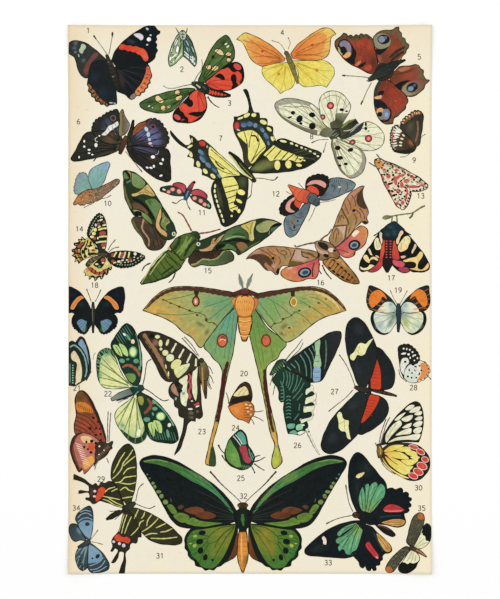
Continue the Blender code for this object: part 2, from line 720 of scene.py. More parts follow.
class Finish:
    """A material and the nodes of its Principled shader."""

    def __init__(self, name, **constants):
        self.material = bpy.data.materials.new(name)
        self.material.use_nodes = True
        self.tree = self.material.node_tree
        self.shader = self.tree.nodes["Principled BSDF"]
        for socket, value in constants.items():
            self.shader.inputs[socket.replace("_", " ")].default_value = value

    def node(self, kind, settings=None, output=0, **sockets):
        """Any node: its settings first, then its sockets by name, with _ for a space."""
        node = self.tree.nodes.new(kind)
        for name, value in (settings or {}).items():
            if name == "stops":
                set_stops(node.color_ramp, value)
            else:
                setattr(node, name, value)
        for name, value in sockets.items():
            key = int(name[2:]) if name.startswith("at") else name.replace("_", " ")
            feed(self.tree, node.inputs[key], value)
        return Value(self.tree, node.outputs[output])

    def place(self):
        """Position in millimetres."""
        position = self.node("ShaderNodeTexCoord", output="Object")
        return self.node("ShaderNodeVectorMath", {"operation": "SCALE"}, Vector=position, Scale=1 / MM)

    def split(self, vector):
        """The three parts of a vector."""
        node = self.tree.nodes.new("ShaderNodeSeparateXYZ")
        feed(self.tree, node.inputs[0], vector)
        return [Value(self.tree, out) for out in node.outputs]

    def noise(self, vector, scale, detail=3.0, roughness=0.5):
        """Soft noise from 0 to 1; scale is in features per millimetre."""
        return self.node("ShaderNodeTexNoise", Vector=vector, Scale=scale, Detail=detail, Roughness=roughness)

    def ramp(self, value, low, high):
        """A value stretched so that low becomes 0 and high becomes 1, clamped."""
        return ((value - low) / (high - low)).clamped()

    def mix(self, factor, first, second, blend="MIX"):
        """Two colours mixed by a factor."""
        node = self.tree.nodes.new("ShaderNodeMix")
        node.data_type = "RGBA"
        node.blend_type = blend
        feed(self.tree, node.inputs["Factor"], factor)
        feed(self.tree, node.inputs["A"], first)
        feed(self.tree, node.inputs["B"], second)
        return Value(self.tree, node.outputs["Result"])

    def grey(self, value):
        """A value as a grey colour."""
        return self.node("ShaderNodeCombineColor", Red=value, Green=value, Blue=value)

    def colour(self, value):
        """Gives the shader its colour."""
        feed(self.tree, self.shader.inputs["Base Color"], value)

    def roughness(self, value):
        """Gives the shader its roughness."""
        feed(self.tree, self.shader.inputs["Roughness"], value)

    def bump(self, height, strength, distance):
        """Fine relief of the surface."""
        normal = self.node("ShaderNodeBump", Height=height, Strength=strength, Distance=distance)
        feed(self.tree, self.shader.inputs["Normal"], normal)


def set_stops(ramp, stops):
    """Sets a ramp's stops from pairs of a place and a colour."""
    while len(ramp.elements) < len(stops):
        ramp.elements.new(0.5)
    for element, (place, colour) in zip(ramp.elements, stops):
        element.position = place
        element.color = colour


def rgba(colour):
    """A colour with full opacity."""
    return (*colour[:3], 1.0)


def paper_finish(settings):
    """Uncoated plate paper: cream, toned at its edges, with mottling, fibres, foxing and a fine tooth."""
    finish = Finish("plate_paper", Specular_IOR_Level=0.25)
    place = finish.place()
    x, y, _ = finish.split(place)
    half_width, half_height = WIDTH / 2, HEIGHT / 2
    drift = finish.noise(place, 0.02, 2.0)
    left = 1 - finish.ramp(x + half_width + (drift - 0.5) * 14, 0.0, 22.0)
    back = 1 - finish.ramp(half_height - y + (drift - 0.5) * 16, 0.0, 34.0)
    right = 1 - finish.ramp(half_width - x + (drift - 0.5) * 14, 0.0, 40.0)
    front = 1 - finish.ramp(half_height + y + (drift - 0.5) * 14, 0.0, 34.0)
    centre = rgba(settings.paper_colour)
    tan = rgba(settings.toned_colour)
    gold = rgba(settings.edge_colour)
    colour = finish.mix((right * 0.75 + front * 0.45).clamped(), centre, gold)
    colour = finish.mix((left * left * 0.85 + back * back * 0.55).clamped(), colour, tan)
    cloud = finish.ramp(finish.noise(place, 0.035, 3.0), 0.35, 0.7)
    colour = finish.mix(cloud * 0.30, colour, rgba(linear("ece9e4")))
    pink = finish.ramp(finish.noise(place, 0.11, 2.0), 0.55, 0.72)
    colour = finish.mix(pink * 0.16, colour, rgba(linear("efd9cf")))
    leaf = finish.ramp(finish.noise(place, 0.14, 2.0), 0.58, 0.74)
    colour = finish.mix(leaf * 0.12, colour, rgba(linear("dfe3d2")))
    grain = finish.noise(place, 1.6, 4.0, 0.6)
    tooth = finish.noise(place, 7.0, 3.0, 0.6)
    shade = 1.0 + (grain - 0.5) * 0.10 + (tooth - 0.5) * 0.06
    colour = finish.mix(1.0, colour, finish.grey(shade), "MULTIPLY")
    fox = finish.ramp(finish.noise(place, 0.45, 1.0), 0.745, 0.79)
    colour = finish.mix(fox * 0.30, colour, rgba(linear("c9a877")))
    long_way = finish.node("ShaderNodeMapping", Vector=place, Scale=(1.0, 0.16, 1.0),
                           Rotation=(0.0, 0.0, 0.5))
    fibres = finish.ramp(finish.noise(long_way, 3.2, 2.0), 0.66, 0.78)
    colour = finish.mix(fibres * 0.12, colour, rgba(linear("cdbb94")))
    finish.colour(colour)
    finish.roughness(settings.roughness + (grain - 0.5) * 0.2)
    finish.bump(grain * 0.5 + tooth * 0.5 + fibres * 0.3, 0.5, 0.00004)
    return finish.material


def ink_finish(settings):
    """Printing inks: the plate's colours with brushed streaks from each wing's root and a stone's grain."""
    finish = Finish("printing_ink", Specular_IOR_Level=0.05)
    place = finish.place()
    ink = finish.node("ShaderNodeAttribute", {"attribute_name": "ink"}, output="Color")
    hub = finish.node("ShaderNodeAttribute", {"attribute_name": "hub"}, output="Vector")
    hub_x, hub_y, amount = finish.split(hub)
    x, y, _ = finish.split(place)
    across = x + WIDTH / 2 - hub_x
    down = HEIGHT / 2 - y - hub_y
    angle = across.math("ARCTAN2", down, first=across)
    reach = (across * across + down * down).math("SQRT")
    fan = finish.node("ShaderNodeCombineXYZ", X=angle * 9.0, Y=reach * 0.11, Z=hub_x)
    brush = finish.noise(fan, 2.6, 3.0, 0.6)
    mottle = finish.noise(place, 0.55, 3.0)
    grain = finish.noise(place, 3.4, 3.0, 0.65)
    tooth = finish.noise(place, 7.0, 3.0, 0.6)
    shade = 1.0 + (brush - 0.5) * amount * 1.5 + (mottle - 0.5) * 0.40 + (grain - 0.5) * 0.40
    thin = finish.node("ShaderNodeCombineXYZ", X=angle * 30.0, Y=reach * 0.16, Z=hub_x)
    shade = shade - finish.ramp(finish.noise(thin, 2.0, 2.0), 0.56, 0.68) * amount * 0.36
    colour = finish.mix(1.0, ink, finish.grey(shade), "MULTIPLY")
    paper = rgba(settings.paper_show)
    bare = finish.ramp(grain * 0.55 + tooth * 0.45, 0.60, 0.74)
    colour = finish.mix(bare * settings.wear, colour, paper)
    finish.colour(colour)
    finish.roughness(0.58 + (grain - 0.5) * 0.25)
    finish.bump(grain * 0.5 + tooth * 0.5, 0.35, 0.00003)
    return finish.material


# ------------------------------------------------------------------ the figures


def red_admiral(p):
    """Black wings crossed by red bands, with white marks at the tips and scalloped orange borders."""
    left_fore = p.area("21,19.6! 18.4,16.6 16,14.4 13,12 10,9.8 7,8.6 4,8.1 2,8.4 0.5,9.2! 0.3,12 0.4,15! "
                       "1.6,15.8 3,16.7 4,19 4.6,22 5.6,24.4 7,26.5 9,27.7 10.8,27.2! 14,24",
                       "2b2d2a>343835>2a302f", edge=0.4)
    p.area("14,14.3 15.6,14.9 15.2,16.4 13,18.4 11.6,20.4 11,23 10.6,25 9.4,26.1 8,25 8,23.4 8.8,21 "
           "10.4,18.6 12.2,16", "7a4a42>6a3f38", left_fore)
    p.glow(8.9, 23.6, 1, 1.8, "8a4038", 0.7, 0, left_fore)
    p.area("7,9.9 8.8,10.4 9.2,11.3 8,13.4 7.2,14.9 6,14.4 5.6,13.2 6.4,11.6", "b6c1a0", left_fore)
    p.dots("5.4,15.9,.4,.9,-20", "a3ab9c", within=left_fore)
    p.glows("3.9,9.6,1.2,.9 3.3,12,1,1 3.9,14.2,.9,.9 7.8,18.4,.9,.9", "7a8590", 0.85, left_fore)
    left_hind = p.area("23,20! 17,18.4 12.6,19.6 11,23 10.4,27.4 9.8,31.2! 10.6,32.4 10.5,34.6 11.8,35.6 "
                       "12.2,37.4 13.6,38 14.4,39.8 16,40 17,41.6 18.6,41.4 20.3,42.5 21.4,41.7! 23,41.6 "
                       "25.3,41.1! 25.2,37 25,34.6 25,30", "1e2122>1a2023>1c2428", edge=0.4)
    p.margin(left_hind, 5, 15, (0.8, 2.2, 2.4, 2.0, 1.6, 1.0), "93683f")
    p.beads(left_hind, 6, 15, 6, 1.3, 0.55, "4a2c1c", 0.8)
    p.glow(17.6, 40, 1.3, 1, "9c4a34", 0.8, 0, left_hind)
    p.margin(left_hind, 5, 15, (0.3, 0.6, 0.6, 0.4), "3a2a1c")
    p.dots("22.3,40.6,1.1,.4 24.2,40.8,.7,.3", "a9b6b6", within=left_hind)
    p.glows("14,27,3,4 18,35,3,4", "262f3c", 0.6, left_hind)
    hind = p.area("24,22! 30,19.6 36,19.4 41,20! 42.4,21.6 43,24 43.5,27 42.7,28.6 42.9,30.2 41.7,31 "
                  "41.5,32.6 40.3,33.4 39.8,35 38.2,35.4 37.4,36.8 35.6,37 34.6,38.3 32.8,38.9! 31.4,38 "
                  "30,36.6 28,35.6 26,34.6 24.6,31", "1f1e1e>161b1d>151a20", edge=0.4)
    p.area("41.1,21.6 40.4,24.8 39.4,27.6 38.2,30.2 36.8,32.2 35.4,33.8 34.8,35.4 36,37.6 39,36.6 42,33 "
           "44.4,28 43.4,22", "d75a44>e0794a>dd8a50", hind, along="42,22 35,36")
    p.margin(hind, 5, 14, (0.2, 0.4, 0.6, 0.5, 0.7, 0.5), "6f4632")
    p.dots("41.2,27.5,.6,.5 39.9,30.3,.6,.5 38.3,32.7,.55,.5 36.6,34.5,.6,.55", "8f4322", within=hind)
    p.glows("41.9,24.6,.8,1.4 40.6,31.6,1,.8,-45", "c23f2c", 0.7, hind)
    p.area("33.2,36.2 34.8,35.6 36,36.4 34.8,38.6 32.6,39.2 32.2,37.6", "6a5a50>8a7a68", hind)
    p.glow(28, 29, 2.2, 6, "3a302c", 0.8, -12, hind)
    p.fan(hind, 4, 16, 7, (0.3, 0.2), "2c3234", bow=0.03)
    fore = p.area("22.4,18.6! 24.4,13.6 27,10.2 30.4,7 34,4.3 37,2.4 40,0.8 42.6,0.2 45,0.5 46,1.7 "
                  "46.7,2.6 48,3.2 47.7,4.3 46.2,5.2 45.9,6.2 46.4,7.4 45.5,8.7 46.3,10.2 45.9,11.5 "
                  "46.7,13.4 45.8,14.7 45.2,17 43.6,18.8 41.4,20.1! 34,21 27,23", "1b1d1c>12181a>101820",
                  edge=0.4)
    p.area("26.4,12.2 27.6,9.9 29.4,10.1 30.6,10.6 32.4,10.6 34,11.2 35.4,11 37.4,11.8 38.8,12.1 40.6,13.6 "
           "41.5,15.6 41.7,18 40.4,18.9 39.2,18 38.4,16.5 37.4,15.6 36.2,15.2 35,14.2 33.6,14.1 32.4,13.5 "
           "31,13.6 29.6,12.8 28,12.9", "b9583c>d33c2a>dc5a3c", fore)
    p.glows("39.8,16,1.6,2.4,-20 28,10.9,1.2,.8", "e0714e", 0.7, fore)
    p.area("34,4.8 36,4.1 38,4.4 39.3,5.8 39,7.4 38.1,8 36.6,7 35,5.9", "f4f0ea>d9cfd4", fore, edge=0.25,
           line="3a3a3a")
    p.dots("42.1,7.4,1.15,1.05", "eef0ee", within=fore)
    p.dots("43,5.2,.6,.5 41.2,10.2,.6,.5", "b7c0c2", within=fore)
    p.line("40.6,1.5 41.8,2.3", 0.8, "b9c6bd", fore)
    p.glows("42.8,3.3,.8,.7 33,8.6,3,1.4,20", "3a4654", 0.7, fore)
    p.body("20,15.4 20.9,18 22.4,22 24,27 25.4,31.6 26.3,34.9", (1.2, 2.2, 3.4, 3.6, 2.8, 0.9),
           "38342a>25241f", 9, "17160f", 0.3)
    p.dots("20.9,19.3,.5,.4 23.4,26.9,.6,.5", "6a6a60")
    p.lines("20.3,15.4 17.3,11 14.3,7/21.2,15.2 22.2,10 22.9,6", (0.5, 0.35, 0.35), "8a866f")
    p.lines("14.6,7.4 13.2,5.4/22.9,6.4 23.1,3.6", (0.4, 0.8, 0.7), "3c3a2c")


def folded_moth(p):
    """A small moth at rest, pale green on one side and slate green on the other, with white windows."""
    dark, pale = "1e2f24", "eef2e6"
    p.lines("58,4.6 57,2.8 56.1,1.2/61.2,4.8 61.9,3 62.2,1.3", (0.6, 0.4, 0.25), "2a3026")
    right = p.area("60,5.2! 61.8,4.9 63.9,7.3 65.4,11 66.6,14.6 67.1,18.3 66.9,20.4 66,21.7! 64.6,20.2 "
                   "62.4,18 60,16!", "566f5e>4a6455>5f7a68", edge=0.45, line=dark, hub=(60.4, 5))
    p.area("61.2,7.6 62.4,8.4 63.2,10.6 62.6,11.2 61.5,9.8", "b9cfd0>93aeb0", right, edge=0.2, line=dark)
    p.area("61.6,11.4 62.8,11.6 63.6,13.8 62.9,14.8 61.9,13.4", "c3d6d4>8faaae", right, edge=0.2, line=dark)
    p.area("64.2,10.8 65,11.6 65.7,14.2 64.8,14", "a9bfae", right, edge=0.2, line=dark)
    p.area("64.6,16 65.8,16.2 66.2,18.2 65.3,18.8", "cfdccb", right, edge=0.2, line=dark)
    p.lines("60.6,15.2 62.4,16.6 64.4,18.2 66,19.8/60.5,13.6 62.4,15.4 64.4,16.9", (0.3, 0.55, 0.3), pale,
            right)
    p.lines("60.6,7 62.8,12.4 63.4,17.6/60.9,6 64,11.4 65.9,17.4/60.5,10.4 62.4,14.4/61.4,5.4 64.4,9 "
            "66,13.6", 0.4, dark, right)
    p.dots("66,20.2,.5,.4 64.9,19.2,.5,.35", pale, within=right)
    left = p.area("59.9,5.2! 57.5,4.9 55.4,7.9 53.8,11.6 52.5,15.9 52.3,18.9 52.5,20.6 53.2,21.7! 56,20 "
                  "58.2,17.8 60,16!", "93a77c>a2b486>8ca57a", edge=0.4, line=dark, hub=(59.4, 5))
    p.area("56.6,6.9 57.4,7.6 56.8,9.6 55.6,11 55,10.4 55.6,8.4", pale, left, edge=0.3, line=dark)
    p.area("57,10.6 57.9,11.2 57.8,13 56.9,14.6 56.1,13.8 56.3,12", "f6f7ee", left, edge=0.3, line=dark)
    p.area("54.4,11.4 55,12 54.6,14 53.7,14.6 53.5,13.4", "dfe9cf", left, edge=0.25, line=dark)
    p.area("53.2,16.4 53.9,16.8 53.7,18.4 53,18.8", "e8efdb", left, edge=0.25, line=dark)
    p.lines("53.4,20.4 55.4,18.8 57.6,16.6 59.4,14.6/53.2,17.6 55,16.4 56.6,15", (0.3, 0.55, 0.3), "f2f5e4",
            left)
    p.lines("59.4,6.4 58.6,11 57.6,15.4/58.2,5.2 55.2,10.8 53.4,16/59.4,9.4 58.4,13.4 55.4,19", 0.35,
            "3c5634", left)
    p.dots("54.6,15.6,.5,.4 55.8,17.2,.5,.4 58.7,8,.35,1,10 54,19.6,.5,.4", "44603c", within=left)
    p.line("59.9,6 60.1,11 60,16", (0.6, 0.5, 0.35), dark)
    p.area("58,4.4 58.6,3.2 59.6,2.6 60.8,3.2 61.6,4.6 61.4,6.4 60.6,7.6 59.4,7.6 58.3,6.4",
           "a9b0a0>c3c8b6", edge=0.35, line="343c30")
    p.dots("59.6,3.1,.7,.45", "262b24")
    p.lines("58.6,5 59.6,4.6 60.8,5/58.9,6.4 59.8,6 60.7,6.4/59.8,4 59.8,7.2", 0.35, "3b4238")


def jersey_moth(p):
    """Dark green forewings with cream spots over red hindwings with black blotches."""
    red, green, spot = "de5642>d8492f", "40582c>506b36>425a32", "ddb576>ead09c"
    hind = p.area("71.4,29.8! 74,27.6 77,25 80,22.6 83,20.8 85.6,19.8 88,19.3 90,20.3 91.2,22.4 91.8,25 "
                  "91.6,28 90.8,30 88.8,31.7 86.4,33 84,34 80,34.1 76,33.5 73.4,32.3", red, edge=0.5)
    p.fan(hind, 10, 16, 6, (0.35, 0.2), "a83424", start=0.1)
    p.area("79.6,23 83,20.7 85.6,19.7 88,19.2 90.2,20.2 91.5,22.6 92,26 91.6,29 90.3,30.6 89.5,29.8 "
           "90.6,27.6 90.5,25.8 89.4,24.5 88.3,24 87.2,24.6 85.8,24.4 84.6,23.1 83.3,22.1 81.6,22.9", SOOT,
           hind)
    p.dots("88.4,21.7,2.2,1.5,35", "cf4c48", within=hind)
    p.area("76.6,26.7 77.6,25.9 79.4,25.2 80.7,25.9 81.7,27.3 81.9,28.5 80.5,28.7 79,27.8", SOOT, hind)
    p.area("85.5,26 86.7,25.5 87.7,26.4 88,28 87.9,29.6 88.8,31.2 86.4,33.2 85.4,33.2 85.9,31 85.5,29.6 "
           "84.9,28.2", SOOT, hind)
    p.glow(89.6, 28.4, 1.4, 1.6, "c9503c", 0.7, 0, hind)
    top = p.area("69,30.4! 68.1,29.4 69.2,26 70.2,22.6 71.8,18.6 73.6,14.6 75.8,10.8 78.4,7.8 80.8,5.9 "
                 "82.3,5.2 83.8,6.2 85.2,8.4 86.4,11.4 87,14.4 86.6,17.4 85.4,19.1 83.4,20.5 80.8,22.3 "
                 "77.6,24.8 74.6,27.3 71.6,29.8!", green, edge=0.5)
    p.glows("78,18.4,4,1.4,-35 73.6,25.4,2.6,1.2,-45 84,12.6,1.6,2", "6a8544", 0.7, top)
    p.glows("76,16.8,1.6,1.6 81,9.6,2.6,2 80,20.4,2,1,-30", "1c2f1e", 0.7, top)
    p.area("76.3,13.4 77.9,12.3 79.6,12.7 80.7,14 81.4,15.6 79.8,15.8 77.8,14.6", spot, top, edge=0.3)
    p.dots("83.7,15.1,1.5,.9,-5 83.9,18.1,1.1,.9 73.4,22,1.5,1.05,-10 76.6,22.5,1.9,1.2,-18", "e8c88e",
           within=top, ring=0.3)
    p.dots("83.8,16.6,1,.5 74.8,22.2,.4,.9 75.6,16.6,.7,.9", SOOT, within=top)
    p.dots("82.4,9.8,.9,.4,-35 83.4,11.1,.9,.5,-35", "dcdcc4", within=top)
    p.dots("79.6,10.2,.5,.4", "6a7058", within=top)
    p.fan(top, 9, 16, 5, (0.4, 0.2), "1a2c19")
    low_hind = p.area("67.6,33.6! 65.4,34.6 63,37 60.4,40 57.6,42.6 55.6,45 54.6,47.6 55,49.4 57,50.6 "
                      "60,51 63,51.1 66.4,50.4 69,48.8 71,46.4 72.2,43.6 72.3,40.4 71.6,37.4 70.4,34.8",
                      red, edge=0.5)
    p.fan(low_hind, 11, 16, 6, (0.35, 0.2), "a83424", start=0.1)
    p.area("60.2,40.8 61.6,38.4 63.3,36.5 63.5,38.5 64.9,39.6 65.2,41.6 64,42.9 62.4,42.3 61.6,41.4", SOOT,
           low_hind)
    p.area("57.6,42.4 58.6,44.6 60.2,45.7 61,47.4 62.4,48.4 62.6,51.3 57,50.9 54.4,49.6 54.4,46.8", SOOT,
           low_hind)
    p.dots("56.9,48.1,2,1.2,35", "d6504a", within=low_hind)
    p.dots("59.8,49.5,1,.4,-10", "a8403a", within=low_hind)
    p.area("62.6,46.3 65,45.4 67.6,45.3 70.2,45 72.4,43.2 71.8,46.4 69.6,47.2 67.6,47.9 65.6,47.5", SOOT,
           low_hind)
    p.area("71.9,45.6 69.8,48.9 67,50.7 63.6,51.4 66.6,49.4 69.4,47.4", SOOT, low_hind)
    low = p.area("66.4,33.4! 63,32.9 58,33.6 53,34.6 48,35.9 43,37.6 39.4,39.4 37.2,41.3 37.6,42.6 "
                 "39.4,43.9 43,45.2 47,45.9 51,45.9 54,45 57,42.4 60,39.2 63,36.2 66,34!", green, edge=0.5)
    p.glows("52,39.6,3,1.2,-15 62,34.8,3,1,-10 45,43,4,1.4,10", "6a8544", 0.7, low)
    p.glows("51.6,36.6,2,1.2 43,40,3,1.4,-20 55,41,2,1.4", "1c2f1e", 0.7, low)
    p.area("45.4,38 45.9,37 47.2,36.8 48.5,38 49.9,39.8 49,40.9 47.2,40.5 45.7,39.2", spot, low, edge=0.3)
    p.dots("57,35.3,1.2,1.3 57.8,38,1.8,1.2,-28 49.6,43.3,1.2,1.3", "e6c48a", within=low, ring=0.3)
    p.dots("52.5,42.7,1.5,.6,-25", "cfc48c", within=low, ring=0.25)
    p.dots("57.3,36.6,.9,.3 51,43.3,.4,.6", SOOT, within=low)
    p.dots("42.2,42.3,.8,.5,-30 44,43.2,.5,.35", "c4c4aa", within=low, ring=0.25)
    p.fan(low, 6, 14, 5, (0.4, 0.2), "1a2c19")
    p.body("72,34.4 75,35.1 78,35.8 81,36.3 84.8,36.8", (2.6, 3.7, 3.8, 3, 1), "2c1a18>1e1816", 0, edge=0.4)
    p.dots("74,34.9,.8,1.2 75.5,35.3,.7,1.15 77,35.6,.7,1.1 78.5,35.9,.7,.95 80.2,36.3,.9,.7 "
           "82,36.5,.7,.35", "cf4b38")
    p.body("64.4,30.4 67,31 69.6,32.4 71.4,33.6 72.6,35.6", (1.6, 3.2, 4.6, 4.8, 2.4), "27402e>1a2420", 0,
           edge=0.3)
    p.line("66.9,31.1 69,32.7", 0.6, "ddb990")
    p.line("70.4,32 72,33.6", 0.4, "4f6a48")
    p.lines("64.6,30.9 60,31.8 54.6,33 51.6,32.8 49.6,31.6/65.6,29.9 67.4,26.4 69.6,23.2 70,19.6 69.6,17.8",
            (0.5, 0.35, 0.3), "75745f")
    p.line("72.8,37.3 74.6,40 76.8,42 78.9,43.1", (0.8, 0.5, 0.4), "45453a")


def cleopatra(p):
    """Orange forewings over yellow hindwings, veined, with one spot on each wing."""
    yellow = "e3c84a>ecd964>e8dc74"
    left_hind = p.area("113.5,19.5! 101.5,22 101.3,24.5 103,28 107,31.5 110,34.5 111,35.8! 112.5,34.7 "
                       "117,32.5 118.3,30 117,24 115,19.5!", yellow, edge=0.35, line="6b6a35")
    p.veins((113.7, 20), "102,22.6 101.6,25 103.4,28.2 107,31.2 110.6,34.8 113.6,33.8 117,31.6", (0.3, 0.16),
            "a89a3c", left_hind)
    p.glow(111, 27, 5, 4, "d8c24c", 0.5, 60, left_hind)
    p.dots("110,25.5,.8", "cf7d35", within=left_hind)
    right_hind = p.area("117,18.5! 124,18.5 132,18 136,19.5 139,22.5! 139,26 137,29.5 135,32.5! 132,31.5 "
                        "127,32 123,32 121,30.5 120,24", yellow, edge=0.35, line="6b6a35")
    p.veins((117.5, 19), "136.6,20.4 138.8,24 137.2,29 134.6,31.8 129,31.6 124,31.6 121,29.4", (0.3, 0.16),
            "a89a3c", right_hind)
    p.glow(126, 26, 6, 4, "dcc552", 0.5, 10, right_hind)
    p.dots("130,23.5,.9", "d08238", within=right_hind)
    orange = "dd7a35>e09247>e6cf6a"
    left = p.area("113.5,17.5! 108,12 102,8 96,5 92.5,4 88,7.3! 90.5,8.5 93,12.5 95,17 98,20 101.5,21.6! "
                  "106,20.5 113,18.7!", orange, edge=0.4, line="6a4a28")
    p.area("112.8,17.2 108,13.2 101,9.6 95.4,7.6 93,9.6 95.6,14 98.6,18.2 102.4,19.8 108,19", "dd7c37>e39a50",
           left)
    p.veins((113, 17.8), "93.6,6.2 91,8 93.4,12.4 95.4,16.8 98.6,20 102,21.2", (0.35, 0.2), "9a552a", left)
    p.dots("101.5,13.6,.75", "b5481f", within=left)
    right = p.area("116.3,15! 119,11 124,7 129,3.5 134,1.4 137,1.8 140,4.5! 137.5,6.5 137,10 136.5,14 "
                   "135,16.5 132,18 124,18.3 117.5,17.5!", orange, edge=0.4, line="6a4a28")
    p.area("117,15 121,11 126.4,7.2 132,4.2 135.2,5.4 134.2,9 133.6,12.6 131.2,15.4 125,16.6 118,16.8",
           "dd7c37>e39a50", right)
    p.veins((117, 15.8), "134.6,2 138.8,4.6 136.8,8.6 136.4,13.2 134.2,16.8 129,17.8", (0.35, 0.2), "9a552a",
            right)
    p.dots("127.6,10.4,.8", "b5481f", within=right)
    p.body("114,14 115.2,17 116.8,21 118.6,26 120,30.5", (1.7, 2.8, 2.6, 2.0, 1.0), "6a5f38>8d8040", 5,
           ring_ink="57502b", line="4a4528")
    p.dots("113.9,14.6,1,1.1", "5d5634", ring=0.15)
    p.lines("113.5,13.5 110.5,9.5 106.5,8/115,12.5 116,9 115,6.5", (0.26, 0.22, 0.3), "7a4b2c", club=0.3)


def peacock(p):
    """Brick red wings with brown margins and a large eye at each tip."""
    brick, brown, black, ring = "6a3024>8c3c2a>99442e", "5f4d37", "171c1d", "8d8d70"
    peacock_lower_wings(p, brick, brown, black, ring)
    peacock_upper_wings(p, brick, black, ring)
    peacock_body(p)


def peacock_lower_wings(p, brick, brown, black, ring):
    """The peacock's two lower wings."""
    right_hind = p.area("167,25.6! 170,24.6 173.4,21.7 176,21.3 179,21.2 181.6,20.6 183.4,21.2 184.2,22.7 "
                        "185.7,23.8 185.7,26 186.5,27.6 187,28.4 188.9,28.8 188,30 186.8,31 186,33 184,35 "
                        "181.6,36.7 178.6,37.4 176,36.8 173.4,34.8 169,30", "5a3426>8a4430>86503a",
                        edge=0.4)
    p.margin(right_hind, 6, 18, (0.6, 2.6, 3.0, 2.6, 2.0, 1.2), "6d5c44")
    p.area("172.4,23.4 174.4,22.2 177,21.8 179,22.2 176.6,23.6 174,24.4", "a9694c", right_hind)
    p.line("170.6,25.6 174,25.2 178,24.2 181,22.6", (0.4, 0.9, 0.3), "4f3a24", right_hind)
    p.glow(177, 26.4, 5, 1.6, "a04c34", 0.7, -6, right_hind)
    p.area("170.7,31.8 173,30 176,29 178.9,28.8 176.4,30.5 174.6,32 173.8,34.4 171.8,33.4", black, right_hind)
    p.dots("179.4,33,5.2,3.3,-25", ring, within=right_hind)
    p.dots("180.6,32.2,4.2,3,-25", "80604a", within=right_hind)
    p.dots("179.9,32.5,3.1,2.3,-30", black, within=right_hind)
    p.dots("179.1,33.2,1.6,1.25,-20", "7d8ea2", within=right_hind)
    p.dots("181.1,31.4,1,.8,-30", "4d5a72", within=right_hind)
    low = p.area("163.6,27.6! 162,30 160.4,33 160,36 159.8,39 160.2,42.4 161,46 162.6,49 164.4,51 166,51.7 "
                 "168.4,51.6 169.8,51.5! 170,49.8 170.6,48.4 172.2,47.6 173.4,46.4 174.9,45 176.3,43.6 "
                 "176.6,41.8 177.7,40 177,37.6 175.8,35.8 173,33.4 170,30.8 167,28.4", brick, edge=0.45)
    p.glows("172,41,4,5.5,-35 170,35,3.4,3", "a3402d", 0.7, low)
    p.speckle(low, 60, 0.3, ("7a2c20", "b5583c"))
    p.margin(low, 7, 19, (1.0, 1.8, 1.6, 1.2, 1.0, 0.7, 0.6), brown)
    p.area("163,28.2 160.4,32.6 159.6,37.4 161.6,36.8 162,33.4 163.4,30.6", "344034", low)
    p.area("162,36.7 162.2,35 165.2,34.4 164.8,36 163,37", black, low)
    p.area("160,37.8 162,37.1 163.8,36.6 163.8,38.1 162,38.6 160.2,38.5", "e9d9ac>d9a878", low)
    p.area("159.8,38.8 163,39 165,40.2 166.7,42 167,43.8 164.6,44.1 162,43.6 160.4,42.6", "1b1e26", low)
    p.area("161.2,45.6 162,43.7 163.6,43.2 164.9,44 164.6,45.6 163,46.2 162,46.6", "dbaa68", low)
    p.dots("163.8,47.3,1.8,2.1", "85857c", within=low)
    p.area("164.8,44.2 167,43.9 168.1,45.4 167.9,47.6 166.8,49.6 165.5,49.2 164.7,46.6", "7a8494", low)
    p.dots("166.5,46.9,.9,1.3", "8fa8cc", within=low)
    p.dots("162.9,46.6,1.3,1.3", black, within=low)
    p.line("161.2,47 162.6,49.3 165,50.2 167.5,49.5 168.6,47 168.5,44.4 167.2,43", (0.6, 0.9, 0.5),
           "1c1b19", low)


